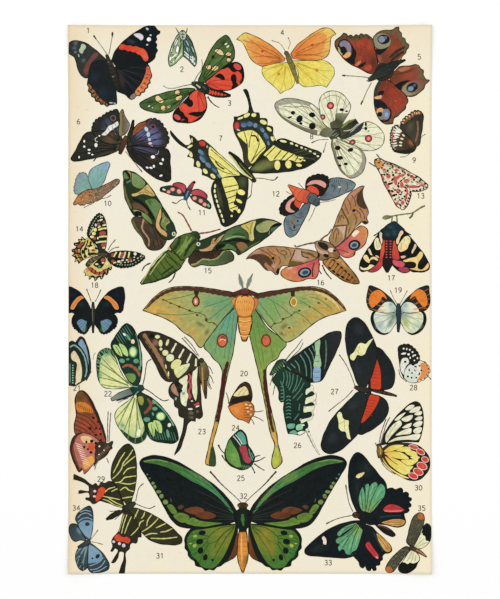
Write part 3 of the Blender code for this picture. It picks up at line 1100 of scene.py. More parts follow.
def peacock_upper_wings(p, brick, black, ring):
    """The peacock's two upper wings, with their blue eyes."""
    hind = p.area("164.4,23.6! 161.8,18 160.4,13 159.4,9 159.6,6! 161.4,4.2 164,2.9 166.4,2.5 168.4,2.7 "
                  "170,2.2 171.3,1.1 172.9,0.9! 173,3 174.2,4.2 174.4,6 176,7.2 176.5,9 178.1,10.2 "
                  "178,11.7 176.8,13 176.4,14.6 175,16 173.4,18.6 171,20.6 168,22.4",
                  "57382a>84402c>7c4a34", edge=0.4)
    p.margin(hind, 4, 20, (1.6, 2.4, 1.8, 2.4, 2.6, 2.0, 2.4, 1.8, 1.0), "68583f")
    p.glow(169.6, 11.6, 4, 5, "93452e", 0.7, -30, hind)
    p.lines("168.6,19 172,15.9 175.6,13.8/168,17 172,13.6 176,11.4", (0.9, 1.4, 0.8), "322d20", hind)
    p.area("170.8,19.7 172.6,18 174.4,16.3 174,17.8 172.4,19.4", "9c7c50", hind)
    p.glows("162.8,17.6,1.4,3,-10", "a06a50", 0.7, hind)
    p.dots("164,8.4,4.6,4.1", ring, within=hind)
    p.area("160.8,12.7 163,12.5 165.4,12.1 167.5,11.1 166.2,13 164.2,14.7 162.4,15.6 161.1,14.7", black, hind)
    p.dots("164.9,7.4,3.2,2.5", black, within=hind)
    p.dots("163.9,7.4,1.75,1.7", "858a9a", within=hind)
    p.dots("165.9,6.5,.8,1", "646c80", within=hind)
    fore = p.area("163,24.6! 158,25.4 154.4,23.8 150.6,21.8 147.6,20.4 145,18.4 142.6,15.8 140.6,13 "
                  "139.4,10.2 139.6,8.2 141.2,6.8 142.8,5.6 143.8,4.1! 145.2,4.4 146.4,5.7 147.8,5.1 "
                  "149,5.9 150.6,4.9 151.8,5.6 153.2,4.4 154.4,4.9 156,4.8 157.5,5.8 159,7 159.8,9.4 "
                  "160.2,12 160.9,15 161.8,19", brick, edge=0.45)
    p.glows("152.6,9.6,3,2.4 152.4,17.4,1.6,1.6 157.6,11,2,4", "b04a30", 0.75, fore)
    p.speckle(fore, 70, 0.3, ("7a2c20", "b5583c"))
    p.glow(159.6, 19.4, 2.4, 4, "4a2a20", 0.7, 0, fore)
    p.margin(fore, 7, 24, (0.6, 1.0, 2.2, 2.4, 2.2, 2.4, 2.2, 1.2, 0.8), "5e4b34")
    p.beads(fore, 13, 23, 6, 1.1, 0.5, "3c2c1e", 0.4)
    p.area("148.2,9.8 149.4,12 150.7,14 150.5,16 149.9,18 149.7,20.6 148,20.2 144.8,18 147.4,16.4 "
           "148.4,13.6", black, fore)
    p.dots("144.6,11.6,3.8,4.4,-10", "1f2122", within=fore)
    p.line("141.3,11.4 141.9,13.6 143.2,15.4", (0.4, 1, 0.5), "c4ad6c", fore)
    p.area("141.8,10.4 142.2,9 143.6,8 145.6,8.2 147.4,9.8 148,12 147.5,14.2 146,13.6 145.2,12 144,11 "
           "142.6,11.3", "8d8b96>857a8c", fore)
    p.dots("143.8,13.2,1.6,1.7", black, within=fore)
    p.area("143.5,16.3 144.6,15.2 146,13.9 147.8,14.5 147,16.4 145.2,17.1", "dca766", fore)
    p.area("149.8,20.8 150.9,19.6 153.2,18.5 152.6,20 151.1,21.3", "e0b48a>c96a3e", fore)
    p.area("151.4,21.7 154,19.8 155.9,19.1 155.2,20.2 154,21.6 152.6,22.3", black, fore)
    p.area("154.6,22.6 156,20.9 158.4,21 158.8,22.6 157,23.9", "ab4832", fore)


def peacock_body(p):
    """The peacock's body, feelers and legs."""
    p.area("160,25.8 163.4,19.8 167.4,20.4 170.4,22 170,25.6 166,29 162.4,29.2", "2b2420>3a2a22")
    p.body("157,28.6 159,27.6 162,25.9 165,24 169,21.6 173,19.4 176.2,18.2", (2, 3, 5, 5.6, 4.4, 2.2, 0.8),
           "30352e>1c2422", 0)
    p.speckle(len(p.layers) - 1, 40, 0.28, ("454c42", "10161a"))
    p.lines("157.4,27 158.6,27.8/156.6,29.6 158.4,28.8/157,28.8 155.9,29.2", 0.35, "3a3a30")
    p.lines("157.6,27.4 150,26.7 144,26.3/158.6,30 156.4,34 153.8,40", (0.5, 0.4, 0.5), "8a8876")
    p.lines("144.8,26.4 143.2,26.2/153.9,39.6 153,41.5", (0.7, 0.8), "33352c")


def purple_emperor(p):
    """Dark wings with a violet sheen, a white band and white spots, and brown hind lobes."""
    left_hind = p.area("28,62! 27.4,54 26.6,47 25.5,44 23,44.5 20.5,45.3 18,47 15.5,48.5 13.5,50 12.6,52 "
                       "12,54.5 14,58 20,62", "3a382f>2a2b28>2b2b26", edge=0.5, teeth=(4, 10, 7, 0.6))
    p.glows("21,51,5,3.4,-25 19,55,4,2", "4a5166", 0.7, left_hind)
    left_fore = p.area("28,64! 27.5,58 20,55 13,55.6 10,56 8,57.6 6,61 4,65 2,68.5 1.3,70 2.2,71 5,71 "
                       "12,69.8 20,68 25,66", "4a4534>2e2f28>262820", edge=0.5)
    p.glows("22,59.5,5,3,-10 24,57,3,2", "6a4c35", 0.8, left_fore)
    p.glow(25, 55.5, 4, 2.6, "60606a", 0.7)
    p.fan(left_fore, 5, 11, 8, (0.5, 0.3), "202119")
    p.fan(left_hind, 4, 10, 6, (0.4, 0.25), "20221d")
    p.dots("23.4,48.5,1.1", "3a2a2a", ring=0.4, ring_ink="7d6360")
    p.area("25.8,50.4 26.2,52 23.8,54 21.6,55.6 19.4,57.6 17.4,57.4 19.6,55 21,52.8 23.4,51.8", "ebe8dd")
    p.lines("24.4,51.4 24.9,53.2/22.8,52.2 23.2,54.4/20.6,53.6 21.6,55.8/19.2,55.6 20,57.2", 0.22, "77726a")
    p.dots("8.3,60.7,.5,.7 8.3,63.5,.6 10.8,65.2,.8,.5 10.8,66.9,.7,.4 12.5,67.7,.6,.4 14.4,62.7,.8,1.1 "
           "5.6,69,.4,.7 16.2,57.9,.5,.4", "f1efe6")
    p.lines("15.2,58.6 14,59.4 14.4,60.8 15.4,60.8", 0.35, "cfcabb")
    p.area("27.2,58 26.8,50 27,45.5 28.2,44 29.4,47 31,50 32,52 31.4,54.4 29.6,57", "8a7d58>6b6144>8e8288",
           edge=0.35, along="26.8,50 32,50")
    p.line("28,45 28.6,50 28.4,56", 0.5, "5c5239")
    right_hind = p.area("30.5,63! 32,58.6 34,54.6 36.4,51.6 40,50.2 42,49 44,48.6 47,49.3 49,51 50.2,53 "
                        "51.7,55 52.2,57 52.9,59.4 52.4,61.6 50,64.5 42,66 36,65", "35332d>3d3c4c>2c2b27",
                        edge=0.5, teeth=(6, 14, 8, 0.6))
    p.glows("44,58.6,8,5.4,60 38,57.6,4,3,-50", "6f7198", 0.85, right_hind)
    p.glow(46, 57, 3, 4, "5f628c", 0.6, 0, right_hind)
    p.fan(right_hind, 6, 14, 9, (0.5, 0.3), "26252a")
    p.area("33.8,57.4 34.6,54 36.8,51.4 40.4,50.6 40.6,52.4 38,54.4", "a9622f>8a4e2c", within=right_hind)
    p.lines("40.8,52.6 42.6,50.2 44.4,49/34.4,57 36.6,53.6 40.6,51.8", 0.5, "7c3a2c", right_hind)
    p.dots("44.3,53.1,.9,.8", "241c1e", within=right_hind, ring=0.4, ring_ink="8a5349")
    p.dots("40.8,54.4,.9,1.4,-30 41.8,57.2,.9,1.3 42.4,59.8,.8,.8", "bccad6", within=right_hind)
    p.dots("42.8,61.8,1,.7 43.6,63.4,.7,.4", "d8b9bd", within=right_hind)
    right_fore = p.area("30,63.5! 36,62.8 44,63.6 50,64.3 52,65 53,67 53.2,72 53.6,78 53.3,81 52,81.8 "
                        "48,81 44,79 38,74 33,69.5", "2c2723>2a2826>23251f", edge=0.5)
    p.glows("41,65.6,7,2.2,10 36,64,4,1.6", "54516c", 0.8, right_fore)
    p.glow(44, 70, 4, 3, "4e3d38", 0.7, 0, right_fore)
    p.fan(right_fore, 4, 10, 8, (0.5, 0.3), "1b1c19")
    p.lines("47.2,65.6 46.8,67.2 45.4,67.8", 0.35, "a09aa6")
    p.dots("44.2,68.9,1.1,.9 49.4,70.3,.6,.8 48.4,72.4,.9,.6,20 41.2,74.5,.8,.5,20 43.2,74.6,.9,.5,20 "
           "44.7,73.8,.6,.8 48.4,78.7,.9,.5,-20", "f1efe6")
    p.body("31,61 32.2,57 33.4,53 34,49.6", (2.2, 2.2, 1.8, 1.0), "33331f>1c1d17", 4)
    p.body("30.4,58 29,61.5 27.8,64.5 26.9,67.4", (1.8, 3, 2.6, 1.4), "5a3d28>3b2a1e", 0)
    p.lines("25.6,65.6 19.5,67.2 15,69 13.2,71/29.8,66 33.4,70.4 38.4,76.6", (0.3, 0.26, 0.5), FEELER,
            club=0.4)


def small_blue(p):
    """Turquoise upper wings above speckled brown undersides, seen from the side."""
    hind = p.area("12.2,86! 10,79 8.5,77 6.5,77 5,78 4,80 3.2,83 2.7,86 3,87.5 4.5,88.6 6.5,88.6 9,87",
                  "86aa9c>81a498>8a969f", edge=0.45, line="5d6266", teeth=(2, 9, 8, 0.4))
    p.fan(hind, 2, 9, 5, 0.2, "6f9c90")
    fore = p.area("12.6,86! 10.4,79.5 11.2,76.4 13,74.5 16,73 19,71.8 20.6,71.4 21.7,72.5 21,75 20,78 "
                  "18.5,82 16,85", "7ea69a>86aea6>90aab8", edge=0.45, line="5a616b")
    p.fan(fore, 4, 9, 6, 0.2, "6a9f97")
    p.glow(18.6, 73.5, 3, 1.8, "8fa6cc", 0.7, -30, fore)
    under = p.area("26.8,81! 26,80.6 22,82 18,84 14,85.6 10,86 7,87.6 5.4,88.8 4.5,90 3,92.5 2.5,94 5,93.8 "
                   "7,94.4 10,93.5 13,93 15,92 16.2,91.4 19,88.9 22,86.5 25,84 26.6,82.2",
                   "84705a>927559>aa7a50", edge=0.45, line="4a3c2b", hub=(26, 81), teeth=(10, 16, 6, 0.5))
    p.glows("6,91,3.6,2,-20 10,89,3,2", "cf8440", 0.7, under)
    p.speckle(under, 90, 0.34, ("4f3d2b", "5d4630"), 1.3)
    p.speckle(under, 26, 0.3, ("cdb28c", "d7a877"), 1.2)
    p.line("16.6,85.4 14.4,88.4 15.4,91.6", 0.3, "5c4831", under)
    p.lines("17,90.8 20,90.2 22.4,88.9/8,95.6 10,94.4 12.4,93.4", (0.3, 0.25, 0.4), FEELER)


def swallowtail(p):
    """Yellow and black, with a blue band and a red eye on each tailed hindwing."""
    yellow = "e3db7a>ece383"
    swallowtail_upper_wings(p, yellow)
    swallowtail_lower_wings(p, yellow)
    swallowtail_body(p)


def swallowtail_upper_wings(p, yellow):
    """The swallowtail's two upper wings, one of them with its tail."""
    hind = p.area("92.6,75.5! 91.6,70 91,65.5 89.5,61.5 87.5,57.5 86.4,54.5 86.2,52 86.8,49.5 86.6,48 "
                  "88.6,47.8 91.2,46.8 93.6,45.8 94.5,43.4 94,40 92.6,36 91.4,33.8! 92.4,33.4 95,38.6 "
                  "96,43 97.2,45.6 99.5,45.8 100.2,48.6! 103.7,49 104,52.4! 106.6,53 107,57! 108.2,59.6 "
                  "108.6,61.4! 104,66 98,72", "3a3b27>191d19", edge=0.3)
    p.area("88.4,56.8 92,55.4 96,55 99,56.8 101.4,60 103.2,64.2 100.4,67.4 95.6,72.2 94.2,70 94,66 "
           "93.6,62.6 91,60", yellow, hind)
    p.lines("93.7,63 93,59.4 91.8,55.6/94.4,64 95,60 96.2,55.6/95.5,71.6 98,67 99.8,62 99,57/96,71 "
            "100,66.4 103,63.6", (0.45, 0.3), "4c4a25", hind)
    p.line("95.6,57.8 97.9,58 99.3,61", 0.7, SOOT, hind)
    p.area("88.4,49.4 91,48.6 91.4,47.8 90,48.2", "e6e59a", hind)
    p.dots("93.3,47.1,1.8,1,-30 97,47,1.3,1 102,50.7,1.9,1.1,25 105,54.4,1.6,.8,40 106.6,59.4,.6,1.4,-25 "
           "90,48.6,1.5,.5,-14", "e6e494", within=hind)
    p.line("107.2,58 107.9,60.2", 0.5, "d9d894", hind)
    p.dots("91.7,52.2,1.5,1.2 94.8,51.7,1.6,1.2 97.8,52.4,1.2,1.2,30 101.4,54.8,.9,1.5,-40 "
           "103.4,57.9,1,1.9,-30 104.6,61.6,.6,1.3,-15", "6d90a8", within=hind)
    p.glows("93,51.6,6,2 100,53.6,3,1.6,40 103.6,58.6,1.8,4,-25", "35526b", 0.75, hind)
    p.dots("88.1,52.6,1.2,1.9,10", "c8402f", within=hind, ring=0.5, ring_ink="5a2a20")
    p.dots("88.9,54.8,1,.5,20", "b9c2cb", within=hind)
    fore = p.area("93.5,77! 97,77.2 103,77.4 110,77 118,76 125,74 129,71.5 132,68.6 132.4,67! 131,66.2 "
                  "125,64 118,61.4 112,59.4 109.6,60 108,61.6 103,66.5 97,73", "23241a>24261f>1f221d",
                  edge=0.55)
    p.glows("103,73,8,3.4,-12 99,75,5,2", "7c8048", 0.85, fore)
    p.area("106.8,62.6 109,63.8 111.4,65.2 115,66.4 119,68 123,69.6 122.4,71 119.2,71.6 117.4,70.8 "
           "112,70.6 108,70.4 105.8,71 103.6,68.8 101.8,67.8", yellow, fore)
    p.lines("103.4,68.6 108.2,63.6/107.4,70.2 111.4,65.4/111,70.6 115,66.2/113.9,70.6 118,67.2/118.6,71 "
            "120.4,68.2", 0.5, "4a4a22", fore)
    p.dots("109.3,73.2,1.5,2.5 115.1,72.8,1.6,2.1,-10 120.6,73.2,1.5,.8,10", "ebe38a", within=fore)
    p.dots("121.4,70.3,.6,.5", SOOT, within=fore)
    p.dots("112.4,60.7,1.9,.6,12 116.8,61.9,1,.6,25 119.4,62.9,.9,.5,25 122,64,.8,.5,25 124.2,64.9,.7,.5,25 "
           "126.5,66,.8,.5,25 128.8,67.2,.9,.5,25 130.5,68.5,.7,.5 123.4,70.8,.6,.4", "e9e9b0", within=fore)
    p.fan(fore, 6, 10, 6, (0.3, 0.3), "4a4c33", hub=(107, 68), start=0.5)


def swallowtail_lower_wings(p, yellow):
    """The swallowtail's two lower wings."""
    low = p.area("93.4,79.6! 89,76.4 86,73.4 82,70 78,66.4 74,62.6 72,61 70,59.9 67.8,60.4 65.8,58.6 "
                 "63.4,57.6 63.8,59.4 64.3,61 63.4,62.4 62,62.8 59,61 56,58 53.3,55! 53.3,56.4 55.6,59.8 "
                 "59,63 62.4,64.8 63.6,66 62.2,68.6! 65.5,70 65.6,73.8! 69.8,75.6 69.9,78.2! 73,79.4 "
                 "75,80.6 79.6,81 86,80.6", "3a3b27>191d19", edge=0.3)
    p.area("74,63.6 77,66 80,68.4 84.4,71.4 87.6,75.4 89.6,78.4 86,79.6 81,80.4 79.4,78.6 77.6,74.6 75,71 "
           "73.4,67.4", yellow, low)
    p.lines("74.6,65 80,69.6 88.6,77/73.8,68.4 79,72.4 86,77.6/76.6,73.8 81,76.6 88,78.4", (0.4, 0.3),
            "5c5c26", low)
    p.line("76.8,71.2 78.8,73.6 81.6,75.4", 0.6, SOOT, low)
    p.dots("67.9,72.7,1,1.7,-15 71.6,76.4,1,1.6,-40 75.6,78.9,.9,1.6,-50 64,67.6,.9,1.7,-20 "
           "63.6,63.4,1.6,.6,-30 64.6,60.2,.4,1.3", "e6e494", within=low)
    p.line("71,79 74.4,81", 0.4, "d9d894", low)
    p.dots("69.4,66.6,1,2,-45 70.2,70.2,1,2.2,-40 73.2,73.2,1,1.9,-45 76.4,75.9,.8,1.7,-45 "
           "78.8,78.8,.6,1.4,-35", "6d90a8", within=low)
    p.glows("70.6,68.6,2,5,-30 75.6,75,1.8,4.5,-45", "35526b", 0.75, low)
    p.dots("70.1,61.9,1.7,1.3,20", "cf432f", within=low, ring=0.5, ring_ink="5a2a20")
    p.dots("72.6,63.6,.5,.8", "9fb4a6", within=low)
    lower = p.area("94,79! 94,82.5 93.8,87.5 93,92 91.6,96.5 89.5,100 87,103 84,104.8 81.6,105.2 79.8,104! "
                   "79,101 77.5,97 76,92 75,88 75,84.6 76,82 79.4,80.4 86,79", "2c2d1f>24261f>1f221d",
                   edge=0.55)
    p.glows("91,82,3,4 79,90,1.4,8,-14", "555b36", 0.8, lower)
    p.area("80.4,80 86,79.4 88.4,82.8 89,85.2 87.8,87.6 87.2,91.4 86.4,93.4 88.6,95 87.4,97.8 85.6,97.6 "
           "83.4,91.6 81.6,86", yellow, lower)
    p.lines("81.6,84.9 88.6,83.5/82,87.6 88.4,86/83,90.6 87.4,89/84,93.3 87.6,92/84.6,96 88.6,94.6", 0.45,
            "4a4a22", lower)
    p.dots("87,97.2,1,.7", SOOT, within=lower)
    p.dots("90.4,87.4,2.1,1.4,18 89.3,92,1.8,.8,32 89.2,97.2,.9,1.1 85.4,99.8,.6", "ebe38a", within=lower)
    p.beads(lower, 9, 15, 8, 1.6, 1.1, "e9e9b0", 0.5)


def swallowtail_body(p):
    """The swallowtail's body, feelers and legs."""
    p.body("97,81 94.5,78 91,74 87.5,69.6 84,66.4", (2.2, 3.4, 3.4, 3.0, 1.0), "2b2c1e>17190f", 0)
    p.lines("96,80.4 92.6,78 89.6,74.8 86.6,70.6 84.2,67.6", (0.5, 0.9, 0.9, 0.7), "c9cb83")
    p.line("96.4,79.6 93,76 89.4,72", (0.3, 0.4, 0.3), "77783f")
    p.dots("97,81.2,1.4,1.2", "2c2c20")
    p.lines("98,80 102,80.2 106,81 107.6,81 109.3,79.5/96.2,82 95.8,86 95.4,89 93.4,91", (0.35, 0.3, 0.6),
            FEELER, club=0.45)


def apollo(p):
    """Cream wings with dusky margins, black spots and red eyes ringed in black."""
    cream = "dcdcb4>e9e8c9>e6e6c4"
    fore = p.area("138,57! 134,50 131,44 127,41 121,39 115,38.2 111,39 108.4,40.6 108,42 109,45 112,48.5 "
                  "117,52 123,55 130,57.4", cream, edge=0.4, line="55543f")
    p.margin(fore, 3, 10, (1.8, 2.2, 3.2, 2.2, 0.4), "a5a392")
    p.margin(fore, 9, 13, (0.5, 1.2, 1.6, 2.4), "77745f")
    p.fan(fore, 2, 10, 12, (0.3, 0.2), "8c8a62")
    p.lines("112.6,42.4 118,42.8 124,42.6 129,45", 0.45, "8f8d6c", fore)
    p.dots("117.5,45.8,1.2,1 120.9,49,1.6,2,30 127.5,46.9,1.7,1.3,10 127.6,52.8,1.8,1.8 "
           "115.8,48.2,1.3,.5,-20 121.6,51.4,.9,.7", SOOT, within=fore)
    hind = p.area("139.5,55! 134,52 132.4,49 131.4,44 131.2,40 132.4,37 135,35 139,34.4 143,35.8 146,39 "
                  "147.6,42 147,45.4 145.4,48 143,52", cream, edge=0.4, line="55543f", hub=(139.5, 54))
    p.fan(hind, 4, 12, 9, (0.3, 0.2), "8c8a62")
    p.lines("133.4,38.6 138,36.6 143,38.4 145.6,42.6", 0.35, "9a986e", hind)
    p.area("138.6,55.6 137,51 139.4,49.6 139.8,46.4 144,46 146.6,46.4 143,52.6", "55563e>43452f>8d8f70", hind,
           along="139,54 143,46")
    p.dots("143,44.2,1.2,.8 145.5,45,.8,.5", SOOT, within=hind)
    p.dots("137.1,42.1,1.4 133.1,48,.9", "cf4f4e", within=hind, ring=0.55, ring_ink="33221c")
    p.dots("137.1,42.1,.7 133.1,48,.4", "e69a90", within=hind)
    right = p.area("141,58! 148,56 152,52.4 154,51 157,50.5 160,51.5 163,54 165,57 165.2,60 164,63 161,65 "
                   "157,65.7 152,65 147,63", cream, edge=0.4, line="55543f")
    p.fan(right, 3, 12, 9, (0.3, 0.2), "8c8a62")
    p.area("141,58 146,56.4 152,52.4 154.4,50.8 153,55 150,57 147.6,58.4 143.6,59.6", "3a3d3a>2d3038", right)
    p.dots("155.6,51.8,.6,1.1 155.6,54,.8,.9", SOOT, within=right)
    p.dots("157.1,55.4,.7,.4", "7c8264", within=right)
    p.dots("157,59.3,1.4 148.6,61.3,1.2,.8,-15", "d0504f", within=right, ring=0.55, ring_ink="33221c")
    p.dots("157,59.3,.7 148.6,61.3,.5,.3", "ea9e96", within=right)
    low = p.area("138,59! 137.5,62 138.5,66.5 140,71.4 142,75.4 144.5,78.2 147.6,80 151,79.2 154,76.6 "
                 "155.3,73 155.6,70 154.6,67 152,64.4 146,61.6 141,59.4", cream, edge=0.4, line="55543f")
    p.margin(low, 5, 12, (0.6, 2.2, 2.6, 2.0, 0.8), "a19f8b")
    p.margin(low, 0, 5, (0.6, 1.6, 1.2, 0.8), "77745f")
    p.fan(low, 4, 12, 12, (0.3, 0.2), "8c8a62")
    p.dots("140.9,64.2,1.5,1.2 147.6,65.2,1.5,1,-20 142.1,69.4,1.7,1 145.1,72.6,1.1,.8 142,73.4,.9,.6", SOOT,
           within=low)
    p.body("141.5,56.6 144.5,54.6 148,52.2 151,50.2", (4, 5.4, 5, 3), "4c4f33>1c1e1a", 0)
    p.line("143,53.6 146.4,50.6 149.8,49.2", (0.8, 1.2, 0.6), "7c8448")
    p.lines("144,55.4 148,54.6 151.4,51.6", (0.4, 0.6, 0.4), "b4b2a0")
    p.body("136.4,58.4 139,56.6 142,55.6", (3.4, 5.4, 3.6), "4a4c38>33352a", 0, edge=0.35)
    p.lines("138,58 140.4,56.4/137,57 139.6,54.8/139.6,58.4 141.4,57", 0.35, "8f9078")
    p.area("131.4,57.4 134,53.6 138,54.4 137.4,58 134,58.6", "5d5e45>7c7c60")
    p.lines("136,59.8 131,60 127.4,61.4/135,61 133.4,66.4", (0.3, 0.25, 0.5), FEELER, club=0.4)


def chequered(p):
    """A small dark butterfly with closed wings, chequered white along its hindwing."""
    fore = p.area("181,64! 176,58 173.8,54 173.6,51.6 175,49 178,46.6 181,44.6 184,44.8 185.3,46.4 "
                  "185.3,52 184.4,58 183,63", "4c4636>3d382c>2f2c23", edge=0.5, teeth=(3, 7, 7, 0.7))
    p.margin(fore, 3, 7, (1.6, 2.2, 1.8), "8a5433")
    p.beads(fore, 3, 7, 8, 0.9, 0.3, "d9c4a4", 0.7)
    p.line("182.6,50 182.8,56 181.6,61", 0.8, "8a6048", fore)
    p.glow(179, 53, 2.4, 4, "5d5843", 0.7, 20, fore)
    hind = p.area("182,64! 178,58.4 174,54.6 171.6,52 170,52.8 168.6,55.4 168.2,59 168.6,63 170,65.6 "
                  "173,66.8 178,67 181,65.8", "3a2f22>54432c", edge=0.45, hub=(181, 64),
                  teeth=(3, 8, 9, 0.6))
    p.margin(hind, 2, 7, (1.8, 2.4, 2), "5a4632")
    p.beads(hind, 3, 8, 9, 2.6, 0.4, "eae4cf", 1.3)
    p.beads(hind, 3, 7, 7, 5.0, 0.45, "efead6", 1.4)
    p.beads(hind, 3, 6, 5, 7.4, 0.45, "e9e1c8", 0.9)
    p.beads(hind, 3, 8, 12, 0.7, 0.22, "e4d8bd", 0.5)
    p.line("169.6,56 169.6,61", 0.6, "9c5a48", hind)
    p.glow(179.6, 61.4, 2.6, 2.2, "a9623f", 0.85, 40, hind)
    p.area("169,63.4 171,65.2 175,65.4 180,64.6 181.6,65.4 178,67.4 172,67.2", "20241f", hind)
    p.lines("184,60.6 184.8,58.4 186.8,57/178.6,67.2 176.4,68.6 173.6,69", (0.25, 0.2, 0.4), FEELER)


def burnet(p):
    """Red hindwings and dark forewings that carry ringed pink spots."""
    red = "c0565c>a83e48"
    p.area("60.8,88! 58,86.4 55.6,84.6 54.5,83.4 56.4,82.4 59,82.6 61,83.6 61.6,86", red, edge=0.5)
    p.area("63.6,87.6! 65.5,86.2 68.5,86 71,87.3 72.6,89.4 72.2,90.8 69,90.2 66,89.4", red, edge=0.5)
    left = p.area("61,89.2! 58,89.4 54,88.8 50.4,87.6 48,86.4 48.2,85.2 51,84.2 55,84.2 58.4,85.8",
                  "2f4a3e>22302a", edge=0.45)
    p.dots("50,86,.9,.5,20", "f0e6cf", within=left)
    p.dots("52.4,87.2,.9,.8 54.5,85.9,1.1,.9 58,86.9,1.2,1.2", "e5a594", within=left, ring=0.4,
           ring_ink="8e3e3e")
    right = p.area("63.6,89.4! 66.5,89 70,90 73,91.8 74.6,94.6 74.2,96 72,95.6 68.6,93.8 65.2,91.8",
                   "2f4a3e>22302a", edge=0.45)
    p.dots("66,90.5,1,.9 69.2,91.9,1.1,.9,40 71.3,93.8,1,.9,40", "e5a594", within=right, ring=0.4,
           ring_ink="8e3e3e")
    p.dots("73.3,94.4,.6,1,-30", "7fb59a", within=right)
    p.body("61,91.4 62.4,88 63.8,85 65.4,82.2", (1.6, 3, 2.4, 1.4), "35607a>2c3444>c23c48", 0)
    p.dots("65.8,82.2,.8,.8", SOOT)
    p.line("61.6,89.6 62.8,86.6", 0.5, "6f93a6")
    p.lines("60.4,91 58.4,91.6 56.4,93.2 54.2,92.6/61.8,91.6 62.4,94 63.8,96.6", (0.4, 0.35, 0.6), "2f3a40")


def red_underwing(p):
    """Grey forewings over black hindwings that are banded with red and pink."""
    grey = "52606a>6f7c80>77868c"
    fore = p.area("130,91.4! 134,87.6 135.6,83.4 136.6,80.6 140,79.8 144,80.2 147.5,81.2 150.2,83.4 "
                  "149,85.6 145,87.8 140,90 136,91.4", grey, edge=0.45)
    p.hatch((137.4, 80.4), (148.4, 81.8), 12, (-0.4, 2), 0.25, "313a42", fore)
    p.glows("144,84.4,3.2,1.4,10", "8a7454", 0.85, fore)
    p.glows("139,84,2.4,2.4 134,88.6,2,1.6", "405062", 0.7, fore)
    p.lines("137.6,83.4 139.4,84.8 138.6,87/141,82.4 142.2,84.2 141.4,88.4/145.6,82.6 146.2,84.6 145,87", 0.3,
            "343a3e", fore)
    p.dots("141.8,84.6,.9,.5", "c8c2ae", within=fore)
    hind = p.area("124.6,87.6! 124,84 124.6,81 126.6,79 130,77.9 133.4,78 136,79.6 136.6,82 135.4,85.6 "
                  "132.6,88.8 129.4,90", "241d1a>1c1c1b", edge=0.4, teeth=(3, 8, 6, 0.4))
    p.area("124.8,85.4 126.4,84 128.6,84.4 130.6,86 131,88.4 128.6,89.2 126,88", "e0593d>cf4a34", hind)
    p.area("124.6,83.8 126.4,81.8 129.6,81 133,81.6 134.9,83.4 134.2,85 132.4,84.2 129.4,83 126.8,83.4",
           "dc9c8c", hind)
    low_hind = p.area("121.4,94.6! 122.4,91.6 120.4,89.2 117.6,88.8 114,90.6 111.2,93.4 110.2,96.4 111,99 "
                      "114,99.8 117,99.2 119.6,97.4", "241d1a>1c1c1b", edge=0.4, teeth=(4, 9, 6, 0.4))
    p.area("119.8,89.4 116.6,90.8 114,93.6 113.6,96 115.4,97.8 118.4,97.6 116,95.6 116.2,93.4 118.4,91.2",
           "dc9c8c", low_hind)
    p.area("118.8,91.2 121.4,90.4 123.4,92.4 122.8,95.2 119.6,95.2 118.2,93.4", "e0593d>cf4a34", low_hind)
    low = p.area("127,92.6! 126,96 124.6,99.6 122.4,103.6 120.4,107.6 118.4,110 116,111 114,109.4 "
                 "112.9,106 112.9,102.4 114.2,99.8 117.6,98.6 121,96.4 124,93.2", grey, edge=0.45)
    p.hatch((113.4, 101.6), (115.6, 110), 10, (2.4, -0.6), 0.25, "313a42", low)
    p.glow(117.6, 103, 1.6, 3.2, "8a7454", 0.85, 10, low)
    p.glow(121.6, 98.6, 2.4, 2, "405062", 0.7, -40, low)
    p.lines("118,99.4 120.4,100.8 123.4,100/116.4,102 118,104.4 121.6,104.4/115.6,106 117.4,107.4 "
            "119.6,107", 0.3, "343a3e", low)
    p.dots("120,102.4,.5,.7 118.2,105.6,.6,.9", "2c2a28", within=low)
    p.body("128,91.6 125,90 121.4,88.6 118,86 115,83.6", (3.6, 7, 7, 3.6, 1), "9c4434>dc6443>d9683a", 5,
           "b04a30")
    p.body("130.6,94.4 129.4,92.4 127.6,90.4 125.6,89", (2, 4.6, 5.4, 3.4), "3f4b56>59666e", 0, edge=0.35)
    p.lines("129.6,90.6 127.6,93.8/126.4,89.4 125,93.4/131,92.4 129.6,94.6", 0.4, "2d363d")
    p.lines("131.5,92.7 136,92.1 139.8,91.2/129.2,95 127.6,99 125.7,102.6/120.4,82.6 122,84.4 124,86.4/"
            "114,87 116,88.2 118,88.6", (0.3, 0.22), FEELER)


